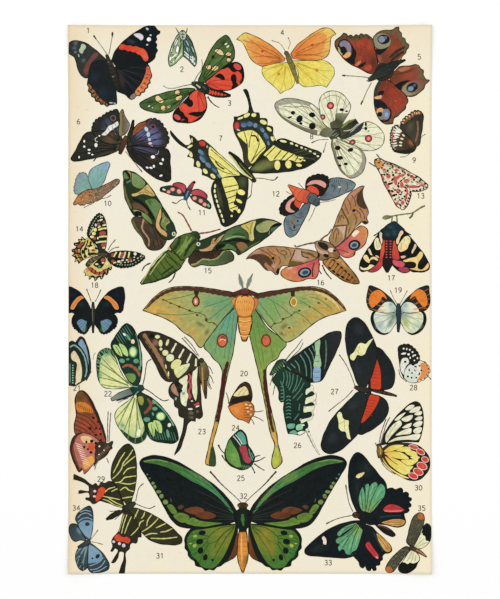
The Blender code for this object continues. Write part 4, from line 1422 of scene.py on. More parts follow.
def crimson_speckled(p):
    """A cream moth at rest, speckled all over in black and rose."""
    wings = p.area("160.2,70.4! 161.4,69.8 163.4,69.8 164.6,70.6 168,71.7 172,73.4 175.4,75 178,76.6 "
                   "181,78.2 184,80 186.2,81.9 188.1,84 187.6,85.4 186,86.3 183,86.9 180,87 179,86.8! "
                   "179.3,88 179,90 178.4,92 177.6,94 176.4,95.5 175,96.6 173.6,95.9 171.8,94.7 170.4,92.4 "
                   "168.8,89.6 167.4,87 165.8,84.4 164.6,81.6 163.4,78.4 162,75.6 161,74 160.2,72.4",
                   "e3d3ae>e9ddc0", edge=0.5, line="3a3424", hub=(161, 71))
    p.line("164.6,71 168,72.2 172,73.9 176,76", (0.8, 1.4, 1.2, 0.8), "9a8d74", wings)
    p.glows("167,73,2.4,1,25 184,82,3,2,35 186,84,1.6,1.2", "8f7a62", 0.8, wings)
    p.glows("166,76.6,1.6,1 168.6,81,1,1.4 169,84.6,2,1 173,90,1.6,1.2 182,81,2,1", "dfe3c4", 0.8, wings)
    p.area("160.4,71 161.8,70.4 164,71 165.1,72.8 164.2,74.6 162,74.6 160.7,73.2", "c58a4a>d29a58", wings)
    p.dots("167.4,78.9,1.2,1.4,-20 164.4,80,.8,1.7,-20 166.6,84.2,1.3,1.6,-30 168.5,88.4,.8,2.1,-28 "
           "172.5,86.7,1.2,1.3 174.4,83.5,1,1.7 176.9,81.5,1.7,1,-10 172,79.8,2.2,.9,-35 "
           "174.4,78.6,1.7,.7,-20 171.7,75.7,1.1,.8 179.9,79.4,1.6,.8,25 180.6,84.5,3.2,.8 "
           "185,83.7,1.6,.5,-10 177.1,86.6,.7,1.6,-15 176.6,89.9,.7,2.1,12 174.9,92.9,1,1.1 172,93.3,.9,1 "
           "171.3,82.2,.8,1.5 165.2,75.6,1,.7 178,78.2,.9,.7,30 170.6,79.6,.7,.6", "c25c55", within=wings)
    p.glows("166.6,84.2,1.2,1.4 172.4,86.6,1,1.2 176.8,81.5,1.4,.8 168.4,88,.6,1.6,-28", "d08a86", 0.7, wings)
    p.dots("162.4,75,.5,.5 164,74.7,.7,.45 167,76.1,.65,.6 168.3,75,.6,.4,30 168.7,72.7,.6,.5 "
           "169.6,74,.45,.9,-30 172.8,74.6,.7,.45,30 171.4,77.1,.7,.5,-30 173.5,77.5,.6,.45 "
           "163.9,78.2,.7,.5 165.3,78.2,.7,.5 166.7,77.9,.6,.5 169.9,78.4,.7,.7,-30 169.6,80.7,.6,.9,45 "
           "165.9,82.2,.8,.6 168,83,1,.6 169.2,82.6,.7,.5 172.6,84.2,.6,.9,-30 172.8,82.6,.5,.5 "
           "174,81.4,1,.4,-42 175.5,80.2,1,.35,-42 180.8,80.9,.7,.6 181.8,79.7,.7,.5 179.6,78.8,.8,.4 "
           "177.2,84,1,.5 176.2,84.9,.7,.4,45 176.2,86.6,.45,.7,-20 167.8,86.6,.9,.7,40 "
           "169.4,86.9,.9,.6,40 170.9,86.2,.6,.5 174.4,87.5,.4,.8,30 173.7,88.6,.8,.4 170.3,89,.9,.7,-20 "
           "171.5,88.6,.6,.6 175.8,89.6,.5,.6 174.7,90.7,.7,.4 170.9,91.2,.5,.6 173.5,91.5,.8,.4,35 "
           "172.6,92,.5,.3 173.6,94.1,.5,1.1,-30 176,77.2,.4,1,-25 177.6,78.4,.4,.8,-30 "
           "174.8,76.4,.4,1,-30 182.4,82,.9,.3,20 184,81.2,.4,1,30 179.8,82,.8,.3,30 183.4,84.4,.8,.3 "
           "185.8,84.6,.5,.4", SOOT, within=wings)
    p.dots("179,87.7,.5,1,-35 178.8,89.2,.45,.95,-35 178.3,90.7,.45,.95,-35 177.8,92.1,.45,.95,-35 "
           "177,93.3,.45,.95,-35 176.3,94.7,.4,.8,-35 180.6,86.5,.8,.4 182.2,86.4,.6,.5 184,86.1,.6,.5 "
           "185.8,85.6,.6,.5 187.1,84.8,.5,.5 186.6,82.9,.6,.5,40 185,81,.6,.4,40 182.4,79.2,.8,.3,30",
           SOOT, within=wings)
    p.line("168,73.6 172,77.2 175.8,80.6 177.6,84 179,86.8", 0.35, "8a7656", wings)
    p.speckle(wings, 70, 0.42, (SOOT, "b85850", SOOT), 1.5)
    p.dots("161,70.4,.8,.4 162.4,71.9,.7,.4 164.6,73.2,.5,.5 163,70.4,.7,.3", "3f2a18", within=wings)
    p.lines("162.9,69.7 162,68.4 161.1,67.5/161.7,74.3 159.4,73.2 157.2,71.8", (0.7, 0.5), "66655a")


def festoon(p):
    """Small cream and yellow wings netted and toothed in black, with red spots."""
    yellow, red, net = "dccd7c>cbb865", "a84c42", "1b2018"
    festoon_upper_wings(p, yellow, red, net)
    festoon_lower_wings(p, yellow, red, net)
    festoon_body(p)


def festoon_upper_wings(p, yellow, red, net):
    """The festoon's upper wings."""
    fore = p.area("19,118! 19.6,116 20,113 20.3,109 20,105.4 19.3,102 18.2,99.6 16.8,98.3 15.4,98.4 "
                  "14.2,99.4 13.2,100.6 12,102.2 11.1,103.8 10.4,105.6 9.8,107.6 9.7,109.6 10.2,110.8! "
                  "12,112.4 14,114.6 16.6,117.2", net, edge=0.3, teeth=(7, 15, 9, 0.4))
    p.beads(fore, 7, 15, 10, 1.4, 0.42, "a3ab88", 0.3)
    p.beads(fore, 7, 15, 8, 2.7, 0.5, "cfd0a8", 0.35)
    p.lines("15.6,107.2 17.4,106.5 20,106.2/16,110.8 18,110.5 20.2,110.5/14.4,113.8 17,113.3 20,113.1/"
            "17.4,116.7 19.2,116.3/17.8,104.8 19.8,104.3/15.4,106 16.8,105.1", 0.75, "dfd894", fore)
    p.area("16,108.9 17,107.9 19,107.9 19.7,108.7 19,109.8 17,110", red, fore)
    p.area("16.8,114.9 18,114 19.7,114.2 19.3,115.7 17.6,115.9", red, fore)
    p.dots("15.5,104.2,1.1,.8,-30 18.6,103,.8,.6,30 13.7,111.5,.9,.9 12.4,113.5,.8,.6", "98523f", within=fore)
    p.dots("14,107,.9,1 13.3,109,1,.9 12.3,110.7,1,.7", "e6df8e", within=fore)
    p.dots("14.3,104.6,.5,.7 17,101.9,1,.5,-20 15.4,111.4,.4,.7", "e6e3d2", within=fore)
    hind = p.area("17,119.4! 14,115.4 12,112.6 10.4,111.2 9,111.9 7,110.6! 6.8,111.8 5,111.9! 5.4,113.3 "
                  "2.8,114! 3.2,115.3 4.2,115.6 3.4,116.8 1.7,117.5! 2.2,118.7 3,118.9 1.8,120.7! "
                  "3.3,121.3 3.8,122.2 3.1,124! 4.7,123.4 5.4,124.8! 6.5,123.6 8,122.7 10.4,121.6 "
                  "13.4,120.6", yellow, edge=0.3)
    p.margin(hind, 4, 21, (0.6, 1.1, 0.9, 1.0, 0.8), net)
    p.area("4.3,115.8 5.6,114.6 7.4,113.5 8.4,114 7,115.5 5.6,116.8", red, hind, edge=0.25)
    p.dots("4.2,118,.8,1.1,-30 5.1,120,.7,1.1,-20 6.8,122.4,.8,1.1,-30", "a4502f", within=hind, ring=0.2)
    p.dots("13,117.8,1.2,.7 11.6,113.9,.7,.8", "9c5238", within=hind)
    p.lines("8.9,112.7 8,114.9 6.6,116.7 6.1,118.4 6.5,120.4 7.7,122.6/10.2,112.4 9.6,114.6 8.6,116.8 "
            "8.4,119 9.4,121.6/11.9,113 11.2,115.4 10.6,118 11.4,120.8/4,117 6.4,116.8/3.6,119.2 6.2,119.4/"
            "4.6,121.8 7,121.2", 0.6, net, hind)
    p.dots("9,117,1,.7 7.5,118.6,.7,1.2 8.8,120.9,.9,1 11.2,115.4,1.5,.5,-10 12.4,119.6,3,.7,-4 "
           "14.6,116.6,.9,.8", net, within=hind)
    p.dots("11.6,116.7,1.1,.6 9.6,119.7,.5,.9 14.4,114.4,.8,.5", "e9e2b4", within=hind)


def festoon_lower_wings(p, yellow, red, net):
    """The festoon's lower wings."""
    low_hind = p.area("18,120! 20,122 21.4,124 22.7,126.4 22.4,127.7 21.8,128.3! 21.1,127.4 21,129 "
                      "20.4,130.4 19.8,130.7! 19.1,129.9 18.5,131 17.6,132.6 17,133! 16.3,131.7 15.4,132.2 "
                      "14.4,133.5 13.8,133.8! 13.1,132 12.2,131.8 11.4,132.8 10.7,133! 10.7,131.4 "
                      "9.8,130.8 8.5,131.2! 9,129.8 8.1,129.4 8.6,128 10,126.8 12,125 14.6,122.8", yellow,
                      edge=0.3)
    p.margin(low_hind, 3, 22, (0.7, 1.0, 0.9, 1.0, 0.7), net)
    p.area("10.2,127.2 12,126.7 13.6,127.9 15.1,129.1 17,129 18.6,127.9 19.9,127.3 19.7,128.6 18,129.9 "
           "16,130.6 13.6,130.1 11.4,128.7", red, low_hind, edge=0.2)
    p.lines("12.8,127 12,129/14.4,128 13.8,130.4/16.2,128.8 16.4,130.6/18.2,127.8 18.8,129.4", 0.45, net,
            low_hind)
    p.area("13,125.4 14.4,123.6 16.6,121.8 18.4,120.8 19.6,122.6 18.9,124.6 18,126.2 16.6,127.4 14.8,126.7",
           net, low_hind)
    p.dots("18,122.9,1.1,1.1", "b04c46", within=low_hind)
    p.dots("18.1,124.3,.8,.4 14.8,125,.9,.5 20.2,124.6,.5,.8", "e6dfae", within=low_hind)
    p.dots("16.2,126.3,.7,.7", "4f8a78", within=low_hind)
    p.dots("9.9,128.3,.8,.9", "d98f54", within=low_hind)
    low = p.area("20,120.6! 22,119 25,118.3 28,118 31,118.1 34,118.4 37,119.2 39.2,120.2 40.3,121.2 "
                 "39.8,122.4 38.6,123.5 37.2,124.5 35.6,125.4 33.8,126.3 31.4,126.9 29,127.1 27,127.1 "
                 "25,126.5 23.4,125.6 21.8,124.2", net, edge=0.3, teeth=(8, 17, 10, 0.4))
    p.beads(low, 8, 17, 11, 1.4, 0.42, "a3ab88", 0.3)
    p.beads(low, 8, 16, 8, 2.7, 0.5, "cfd0a8", 0.35)
    p.lines("25.1,118.6 24.4,120 23.6,121.2/27.4,118.6 26.8,120.2 26.4,121.6/29.8,118.5 29.4,120.4 "
            "28.6,122/31.9,118.5 31.6,120.2 31.3,121.6/23.4,124.4 25,124", 0.7, "dfd894", low)
    p.area("21.9,121 22.2,119.8 23.4,119.1 23.9,119.6 23,121.2", "a04a46", low)
    p.area("27,121.8 27.5,119.6 28.4,118.7 29,119.2 28.4,121 27.7,122", "a8485a", low)
    p.dots("32.1,122.4,1.2,.8,-35 23.2,123.4,.9,.8", "984a40", within=low)
    p.dots("34.9,119.6,.8,.9 34.5,121.4,.4,.4 26.4,123.6,.9,.6,-10 28.3,123,.8,.4,-20 30.6,122.8,.6,.4",
           "e6e3d2", within=low)


def festoon_body(p):
    """The festoon's body and feelers."""
    p.area("18.4,120.2! 14,121 11.4,122 9.9,123.6 9.1,125.7 9.8,126.4 11.6,124.7 14,123.2 16.6,121.8",
           "66603c>3f3a24", edge=0.3)
    p.lines("11.4,122.6 12.4,123.6/13,121.8 14,122.8/10.4,124.2 11,124.8", 0.3, "8a8450")
    p.area("14.8,114.8 16.6,115.4 18.2,117 20.4,118.4 22.4,120.4 22,122.2 20.2,121.8 18,120.6 15.4,120.4 "
           "13,119.8 15.4,118.8", "22302c>26281e")
    p.line("14,119.6 17,119.7 20.4,120", 0.9, "4a4632")
    p.lines("20.8,117.6 22.4,114.8 24.4,112.4/21.2,118.6 23.4,116.8 26.2,116.1", (0.5, 0.35, 0.5), "66655a",
            club=0.4)


def oleander_moth(p):
    """A large moth marbled in greens, with tan bands and an eyespot by each shoulder."""
    dark, black, tan, edge = "2a3a24>25331f", "141a12", "c09468>cfa272>d6b56e", "1c2616"
    oleander_left_wings(p, dark, black, tan, edge)
    oleander_right_wings(p, dark, black, edge)
    oleander_body(p, edge)


def oleander_left_wings(p, dark, black, tan, edge):
    """The marbled moth's wings on the left."""
    hind = p.area("52,111! 50.4,114.6 47.6,117.4 44.6,117.8 41.6,116.8 40,114.6 39,111.8 36.4,108.6 34,105 "
                  "33,102 34,100.6 38,100.4 42,103", "4a3a2a>3f3528>4a4030", edge=0.45, line="2a241a")
    p.area("33.2,101.2 34.6,103 35.6,105.6 37.4,108.6 39.4,111.4 40.4,114.6 41,116.6 39.6,114.6 38.6,111.8 "
           "36,108.6 33.8,105.2", "6f6a34>636334", hind)
    p.glow(40.8, 102.6, 1.6, 1.6, "8a4a28", 0.9, 0, hind)
    p.line("39.5,101 38.9,103.7 38.5,105.7 39.2,107.8 41,110.2 42.1,112.2 41.9,115.6", (0.9, 0.6), "a9856a",
           hind)
    p.glows("46.6,114,2,2.4 43.6,107,1.4,3,-20", "5f4c3a", 0.7, hind)
    p.lines("43,103.6 45.4,109 47.4,116/44.4,112.6 45,116.6/48,112.6 49.4,115.6", 0.35, "241d16", hind)
    fore = p.area("56.5,108.6! 54.8,103.7 53,100.8 51,97.5 48.9,94.3 47.1,91.1 45.4,88.4 43.9,86.1 "
                  "42.1,83.7 40.7,82.1 38.6,79.9 36.3,78.2 33.9,76.8 31.9,76.3 30.1,76 29.1,76.3 28.9,80.8 "
                  "29.1,86.7 29.8,90.8 31.3,94.3 33,97.5 34.5,99.6 37.8,99.7 39.2,100.8 41.3,102.8 "
                  "43.6,104.6 44.8,105.2 46.6,108.1 49.5,111.6 52.4,112.2 55.4,111", dark, edge=0.5,
                  hub=(55, 110))
    p.line("29.4,84 29.7,88 31,92 33,96", (0.4, 1.2, 1.4, 0.8), "6b6a3c", fore)
    p.area("29.2,76.8 30.4,77.9 31.4,80 29.5,80.4", "5a7c4a", fore)
    p.area("30,76.2 31.9,77.9 32.4,79.5 31.3,79.4 30.6,77.6", black, fore)
    p.line("31.2,76.4 32.6,77.8 33,80.2", 0.8, "a08a5c", fore)
    p.line("30.4,82.4 32.8,81.2", 0.8, "5f7a5c", fore)
    p.area("33,77.2 35.7,77.9 38.6,79.9 40.4,82.3 39.8,84.3 37.7,85.6 35.7,85.2 33.6,83.7 32.9,81.7 33,79.3",
           "6f8550>647e40>7d9160", fore, edge=0.3, line=edge)
    p.area("33,88.7 35.7,87.6 37.7,86.4 39.2,85.2 40.7,83.7 41.6,83.1 43.6,86.1 45.2,89.3 44.2,89.6 "
           "41.8,89 38.6,88.4 36.6,89 34.5,89.6 33.3,89.3", "c2b068>b3a05c>d0b070", fore, edge=0.25,
           line="4a4422")
    p.lines("39.8,85.8 42.4,87.3 44.2,88.7/36.6,88 39.6,87.2 42,87.9/40.8,84.6 39.6,86", 0.4, "8a7a3c", fore)
    p.area("41.8,91.1 44.8,90.8 47.1,92.5 48.9,94.9 48.3,96.9 46.6,99.9 46,102 45.1,100.2 44.2,98.4 "
           "42.7,96.3 41.6,94.3 40.1,92", "4e6238>6a844a>607d4a", fore)
    p.glow(42.6, 92.4, 1.2, 2.4, "2c4a2c", 0.8, -30, fore)
    p.area("33,89.6 34.8,90.2 36.9,91.1 38.6,92.5 40.1,93.7 42.4,96.3 44.2,99.3 45.1,101.6 43.6,101.3 "
           "42.4,99.3 40.7,96.6 38.3,94 35.7,92.2 33.6,91.3", black, fore)
    p.area("33.6,92.8 36,92.8 38.6,94.3 40.7,96.3 41.8,98.4 41.3,99.3 39.2,97.5 36.3,96.3 34.2,96 33.3,94.3",
           "936438>7d5a42>5a4438", fore, edge=0.25, line=edge)
    p.area("33.6,96.6 36.3,96.6 38.6,97.8 41.3,99.3 43.3,101.9 43.9,104 43,104.3 40.7,102.5 38.9,100.8 "
           "38.3,99.6 37.7,98.4 35.7,97.5 34.5,97.8", "6c8a4c>627f46>8c9e62", fore, edge=0.25, line=edge)
    p.area("34.5,97.8 36,97.2 38,97.8 38.6,99 37.2,99.4 34.8,99.4", "10140e", fore)
    p.area("49.5,97.8 50.7,100.2 52.4,101.6 53,103.1 51.3,104.3 51,106 51.3,107.5 49.2,105.7 48.3,104.3 "
           "48.9,101.4", "66763f>7f8a50", fore)
    p.lines("50.7,100.2 49.2,103.1/53,102.8 51,104.3", 0.4, "a9b077", fore)
    p.area("48.3,95.5 48.7,97.8 48.6,100.2 47.9,102.2 47.7,104.3 48.6,106.3 50.7,107.8 51.8,109.6 "
           "51.5,110.7 49.5,109.9 47.1,107.8 46,106.3 45.7,104.3 46,101.4 47.1,98.4", tan, fore, edge=0.3,
           line="4a3a20")
    p.glows("54.4,105.4,1,2.4,-20 53,109,1,1.6", "1c3a34", 0.8, fore)


def oleander_right_wings(p, dark, black, edge):
    """The marbled moth's wings on the right."""
    right_hind = p.area("62.7,123.7! 63.4,120.6 65.5,118.4 72,118 78,117.8 83.2,117.4 84.5,118.1 "
                        "85.9,119.5 86.6,121.6 86.3,123 84.2,124 81.4,125.1 76.6,125.8 72.4,125.8 69,125.4 "
                        "67.6,126.1 65.8,126.6 64.1,125.7", "3d3226>33291f>3a3226", edge=0.45,
                        line="241f16")
    p.area("65,126 68.3,123.9 70,122.7 72.4,122.7 74.8,123 76.9,122.5 79,121.1 80.7,119 82.4,118 "
           "84.2,118.2 85.6,119 86.4,121.6 84.4,123.8 80,125.2 73,125.6 69,125.2 66.6,126.2",
           "4c5e36>5a6e44>3a4630", right_hind)
    p.glow(77.4, 120.4, 1.8, 1.2, "6a3822", 0.8, 0, right_hind)
    p.line("63.8,125.4 66.2,125 68.3,123.7 70,122.5 72.4,122.5 74.8,122.8 76.9,122.3 79,120.9 80.7,118.8 "
           "82.4,117.8 84.2,118 85.6,118.8", (0.8, 0.6, 0.6, 0.4), "a8945f", right_hind)
    p.hatch((66, 119.2), (78, 118.4), 9, (1.2, 2.8), 0.25, "1f1812", right_hind)
    p.hatch((72, 123.4), (83, 121), 8, (2, 1.6), 0.2, "2c4420", right_hind)
    right = p.area("65.4,114.4! 68.6,112.9 70.3,112.2 73.8,110.8 76.9,109.6 80,108.4 82.8,107.1 86.3,105.5 "
                   "89.8,104.4 93.2,103.2 96.7,102 100.1,101.3 103.6,101.3 107,102 109.8,103.1 111.5,103.9 "
                   "109.8,105.3 107,108.1 104.3,110.5 101.1,112.9 98.4,114.7 94.9,116.7 91.8,118.8 "
                   "88.7,120 87.8,118.8 85.9,117.8 84.2,117.4 81.4,117.8 76.6,118 70.7,118.5 66.2,117.8",
                   dark, edge=0.5, hub=(66, 115))
    p.area("68.3,117.6 71,116.9 73.4,115.7 74.5,114.3 74.8,112.9 75.9,111.4 76.9,111.2 76.6,113.3 "
           "78.3,111.2 80,110 81.8,109.1 80.7,110.8 79.4,112.6 77.3,114.7 75.9,116.4 74.8,118 71.7,118.4 "
           "68.9,118.3", "d0ab7c>bb926a>c4a474", right, edge=0.25, line="3a3018")
    p.lines("75.4,112.4 75.6,114.6/76.4,111.8 76.2,114.4/78.9,111.3 76.8,114.4", 0.3, "7a6a34", right)
    p.area("76.9,116.4 78.7,114.7 81.4,114.7 82.8,115 81.4,115.7 79.4,116.7 77.3,117.8", "10180e", right)
    p.area("81.8,109.4 83.5,107.7 86.3,106 89.4,105 91.5,106.4 93.2,108.1 94.3,110.5 94.3,112.2 91.8,111.8 "
           "89.1,111.2 86.3,111.4 83.5,112.2 81.4,112.6 80,112.9 81.1,111.2", "7a8560>5f7d48>3f513a", right)
    p.line("85.6,109.7 89.1,109.2 91.5,110 93.4,111.4", (0.5, 1.3, 1.2, 0.5), "2f5222", right)
    p.line("82.2,112 86.3,110.7 89.8,110.5 92.6,111", (0.8, 0.6, 0.3), "8aa274", right)
    p.area("80.7,112.9 84.2,112.2 88,111.5 91.8,111.9 94.6,112.6 94.6,113.6 92.5,114.3 89.8,113.3 "
           "86.3,112.9 82.8,113.6", black, right)
    p.area("82.8,114.3 84.9,114.7 87,116 88,117.4 87.7,118.5 85.6,117.4 83.5,117.1 81.4,117.4 80,117.1 "
           "81.4,116", "5f8148>4f6f40", right, edge=0.2, line=edge)
    p.area("87.7,114.3 89.8,113.3 91.8,113.6 93.6,115 93.9,116.7 92.2,117.8 90.1,118.1 88.7,116.7",
           "8f5a46>9c6048>8a6a40", right, edge=0.25, line=edge)
    p.line("90,119 94,116.9 97,114.9 100,112.9", (0.5, 1.2, 1.2, 0.4), "466638", right)
    p.area("90.1,105.2 93.2,103.6 96.7,102.2 98.1,102.2 97.8,104.3 96.9,107 97,109.8 97.2,111.9 96.4,112.9 "
           "94.9,112.6 94.4,111.9 94.4,109.8 93.6,108.1 91.8,106.7", "a8a040>b7ad4c>cbb868", right,
           edge=0.25, line="3c3c1a")
    p.line("97.6,102.6 96.6,106 96.4,109 96.8,112", 0.45, "d8cf94", right)
    p.lines("96.4,102.8 95.4,106 95.2,109.6/92.6,104.6 94.4,106.8", 0.4, "8a7f2c", right)
    p.area("98.4,105 100.5,103.6 103.6,102.2 106.7,102.4 109.5,102.9 107.1,103.9 105.3,105.6 104.7,107 "
           "101.9,108.1 99.8,108.1 98.4,107", "627f4a>7d8f52>a2a46c", right)
    p.line("109.6,103 106.9,104.1 105.2,105.8 104.6,107.1 101.9,108.2 99.6,108", 0.4, "bcae7c", right)
    p.area("106,105.5 107.8,104.1 109.8,103.7 111.2,104 108.8,105 106.7,105.8", "11150f", right)
    p.area("106,106.4 108.1,105.5 109.7,105.1 107.4,107.4 106.3,108.1", "4c6e48", right)
    p.line("105.2,107.4 105,110", 0.5, "6f8a70", right)


def oleander_body(p, edge):
    """The marbled moth's body, feelers and legs."""
    p.body("59,118 54,123.4 48.4,128.2 43,132 38,135.2", (8.4, 11.5, 10, 6.4, 1), "5b6f31>55682c>404f26", 8,
           "33421c", 0.6, edge, 0.5)
    p.line("52,116.4 57,118.6 61.4,122.4", (1.4, 0.8), "c0a864")
    p.lines("51.4,117.6 56,119.8 60.4,123.4/49.4,119.6 54,122.4 58,126.6", 0.4, "2c3a18")
    p.lines("50.6,118 45,123.6 40.6,131 38.2,135/51,119.6 46.4,125 42.6,130.6", (0.6, 0.4), "aab06a")
    p.lines("56.6,127.8 50,132 43,134.6/55,126 48.6,130.6", 0.8, "27391a")
    p.body("67.8,109.6 64,112.6 59.6,116.4 56,119.4", (3.4, 9.4, 12, 9.6), "3b4a24>586c31>4a5c2a", 0,
           edge=0.5, line=edge)
    p.lines("67,112 63,116 60.6,121/58.4,110.4 57,115 53.6,118.4", (1.2, 1.6, 0.8), "24361f")
    p.lines("62,110.4 60.4,115 56.6,119.4/64.6,111 61.6,115.4 58,120.4", (0.8, 1.4, 0.6), "77904a")
    p.hatch((60.4, 109.6), (54.6, 115.6), 9, (1.6, 2.6), 0.25, "33461f")
    p.body("64.4,108.4 67,109.4 68.6,111.4", (1.2, 2.8, 1.4), "3c4a34>232a22", 0)
    p.dots("55.1,109.2,.5,.6 68,114.5,.55,.5", "3f3424", ring=0.5, ring_ink="dfe0bc")
    p.lines("64.4,107.6 62,103 59.4,99 57.2,97.8/68.4,109 74,108.2 79.6,106.6", (0.8, 0.7, 0.55), "7f4a40")
    p.lines("43,124.4 40,126 38.4,128.6/56,129.4 54.6,132.6 52.4,134.8", (0.7, 0.6, 0.5), "3f4630")


def eyed_moth(p):
    """A tan and brown moth with hooked forewings and a blue eye on each pink hindwing."""
    tan, dark, umber = "9a7850>b48c60>a8784f>b5836a", "4c3824", "5a4a2c"
    eyed_hindwings(p)
    eyed_forewings(p, tan, dark, umber)
    eyed_body(p)


def eyed_hindwings(p):
    """The eyed moth's feelers and hindwings."""
    p.lines("130.4,113.8 126,114.2 121,115.5 119,115.9 118.3,115/131.8,112.8 133.6,110.9 135.8,109.5 "
            "137.8,106.6", (0.9, 0.7, 0.6), "6f543e")
    p.lines("131.4,124.6 131.1,128 132.4,130.2/132.8,125.4 134.2,128.6 137.6,132.9", (0.7, 0.5), "45452f")
    hind = p.area("138.4,117.4! 142,114.8 145.4,112 148.4,108.8 151,106 153,105 154.8,105.4 156.2,106.6 "
                  "156.7,108.8 156.2,111.4 155.4,114 153.6,116.2 151.4,117.6 150,118.3 149.9,119.8 "
                  "148.6,121 146.4,121.6 144,121.2 141.6,119.8 140,118.6", "b8565c>cc6a5e>d08a50",
                  edge=0.45, line="3a2c1c")
    p.glows("146,113.8,3.4,1.8,-40 143,116.4,2.6,1,-20", "c8566a", 0.8, hind)
    p.glows("151.4,110.2,1.8,1.6 147.6,118.6,2,.8", "e2806a", 0.8, hind)
    p.glows("155.4,111,1,3.6 154,107,1.6,1.4", "bb9450", 0.8, hind)
    p.glows("145.4,119.8,2.6,1,-10", "dca464", 0.9, hind)
    p.area("148.2,109.3 150.3,107.2 152.2,107.8 151,109.6 149.2,110.8", "f0e2c2", hind)
    p.line("140.6,117.4 143.6,117.8 146.6,119.2", 0.5, "8a3f3a", hind)
    p.glow(149.5, 119.4, 0.9, 1.3, "33241a", 0.9, 0, hind)
    p.dots("149.6,115,3.2,2.7,-15", "16181a", within=hind)
    p.dots("149.5,115,2.2,1.75,-15", "8296a2", within=hind)
    p.dots("149.6,115.1,1.4,1,-15", "2f4a56", within=hind)
    low_hind = p.area("130.8,121.4! 127,123 122,125 117,126 113.4,127 111.4,128.6 111.2,130.4 112.6,132 "
                      "115.4,133.4 119,134.1 122.4,133.7 124.8,132.7 126.6,132.6 128.6,132.7 130.2,131.2 "
                      "131,128.4 131.2,125", "bc4a54>cf6a5e>cd8a4a", edge=0.45, line="3a2c1c")
    p.glows("126.4,124.8,3.4,1.4,-25 121,127,2.4,1.2,-20", "c84e60", 0.8, low_hind)
    p.glows("118,128.8,2,1.6", "e48c6e", 0.8, low_hind)
    p.glows("116,126.9,2.8,.8,-10", "ead6b0", 0.9, low_hind)
    p.glows("129.6,127.4,1,3.4,8", "c6905c", 0.9, low_hind)
    p.line("128.6,124.4 127.7,128 127.8,131.6", 0.5, "3a2a20", low_hind)
    p.dots("123.6,129.4,3.6,2.7,-15", "16181a", within=low_hind)
    p.dots("123.6,129.3,2.6,1.8,-15", "7f94a0", within=low_hind)
    p.dots("123.9,129.4,1.6,1.05,-15", "2f4a56", within=low_hind)


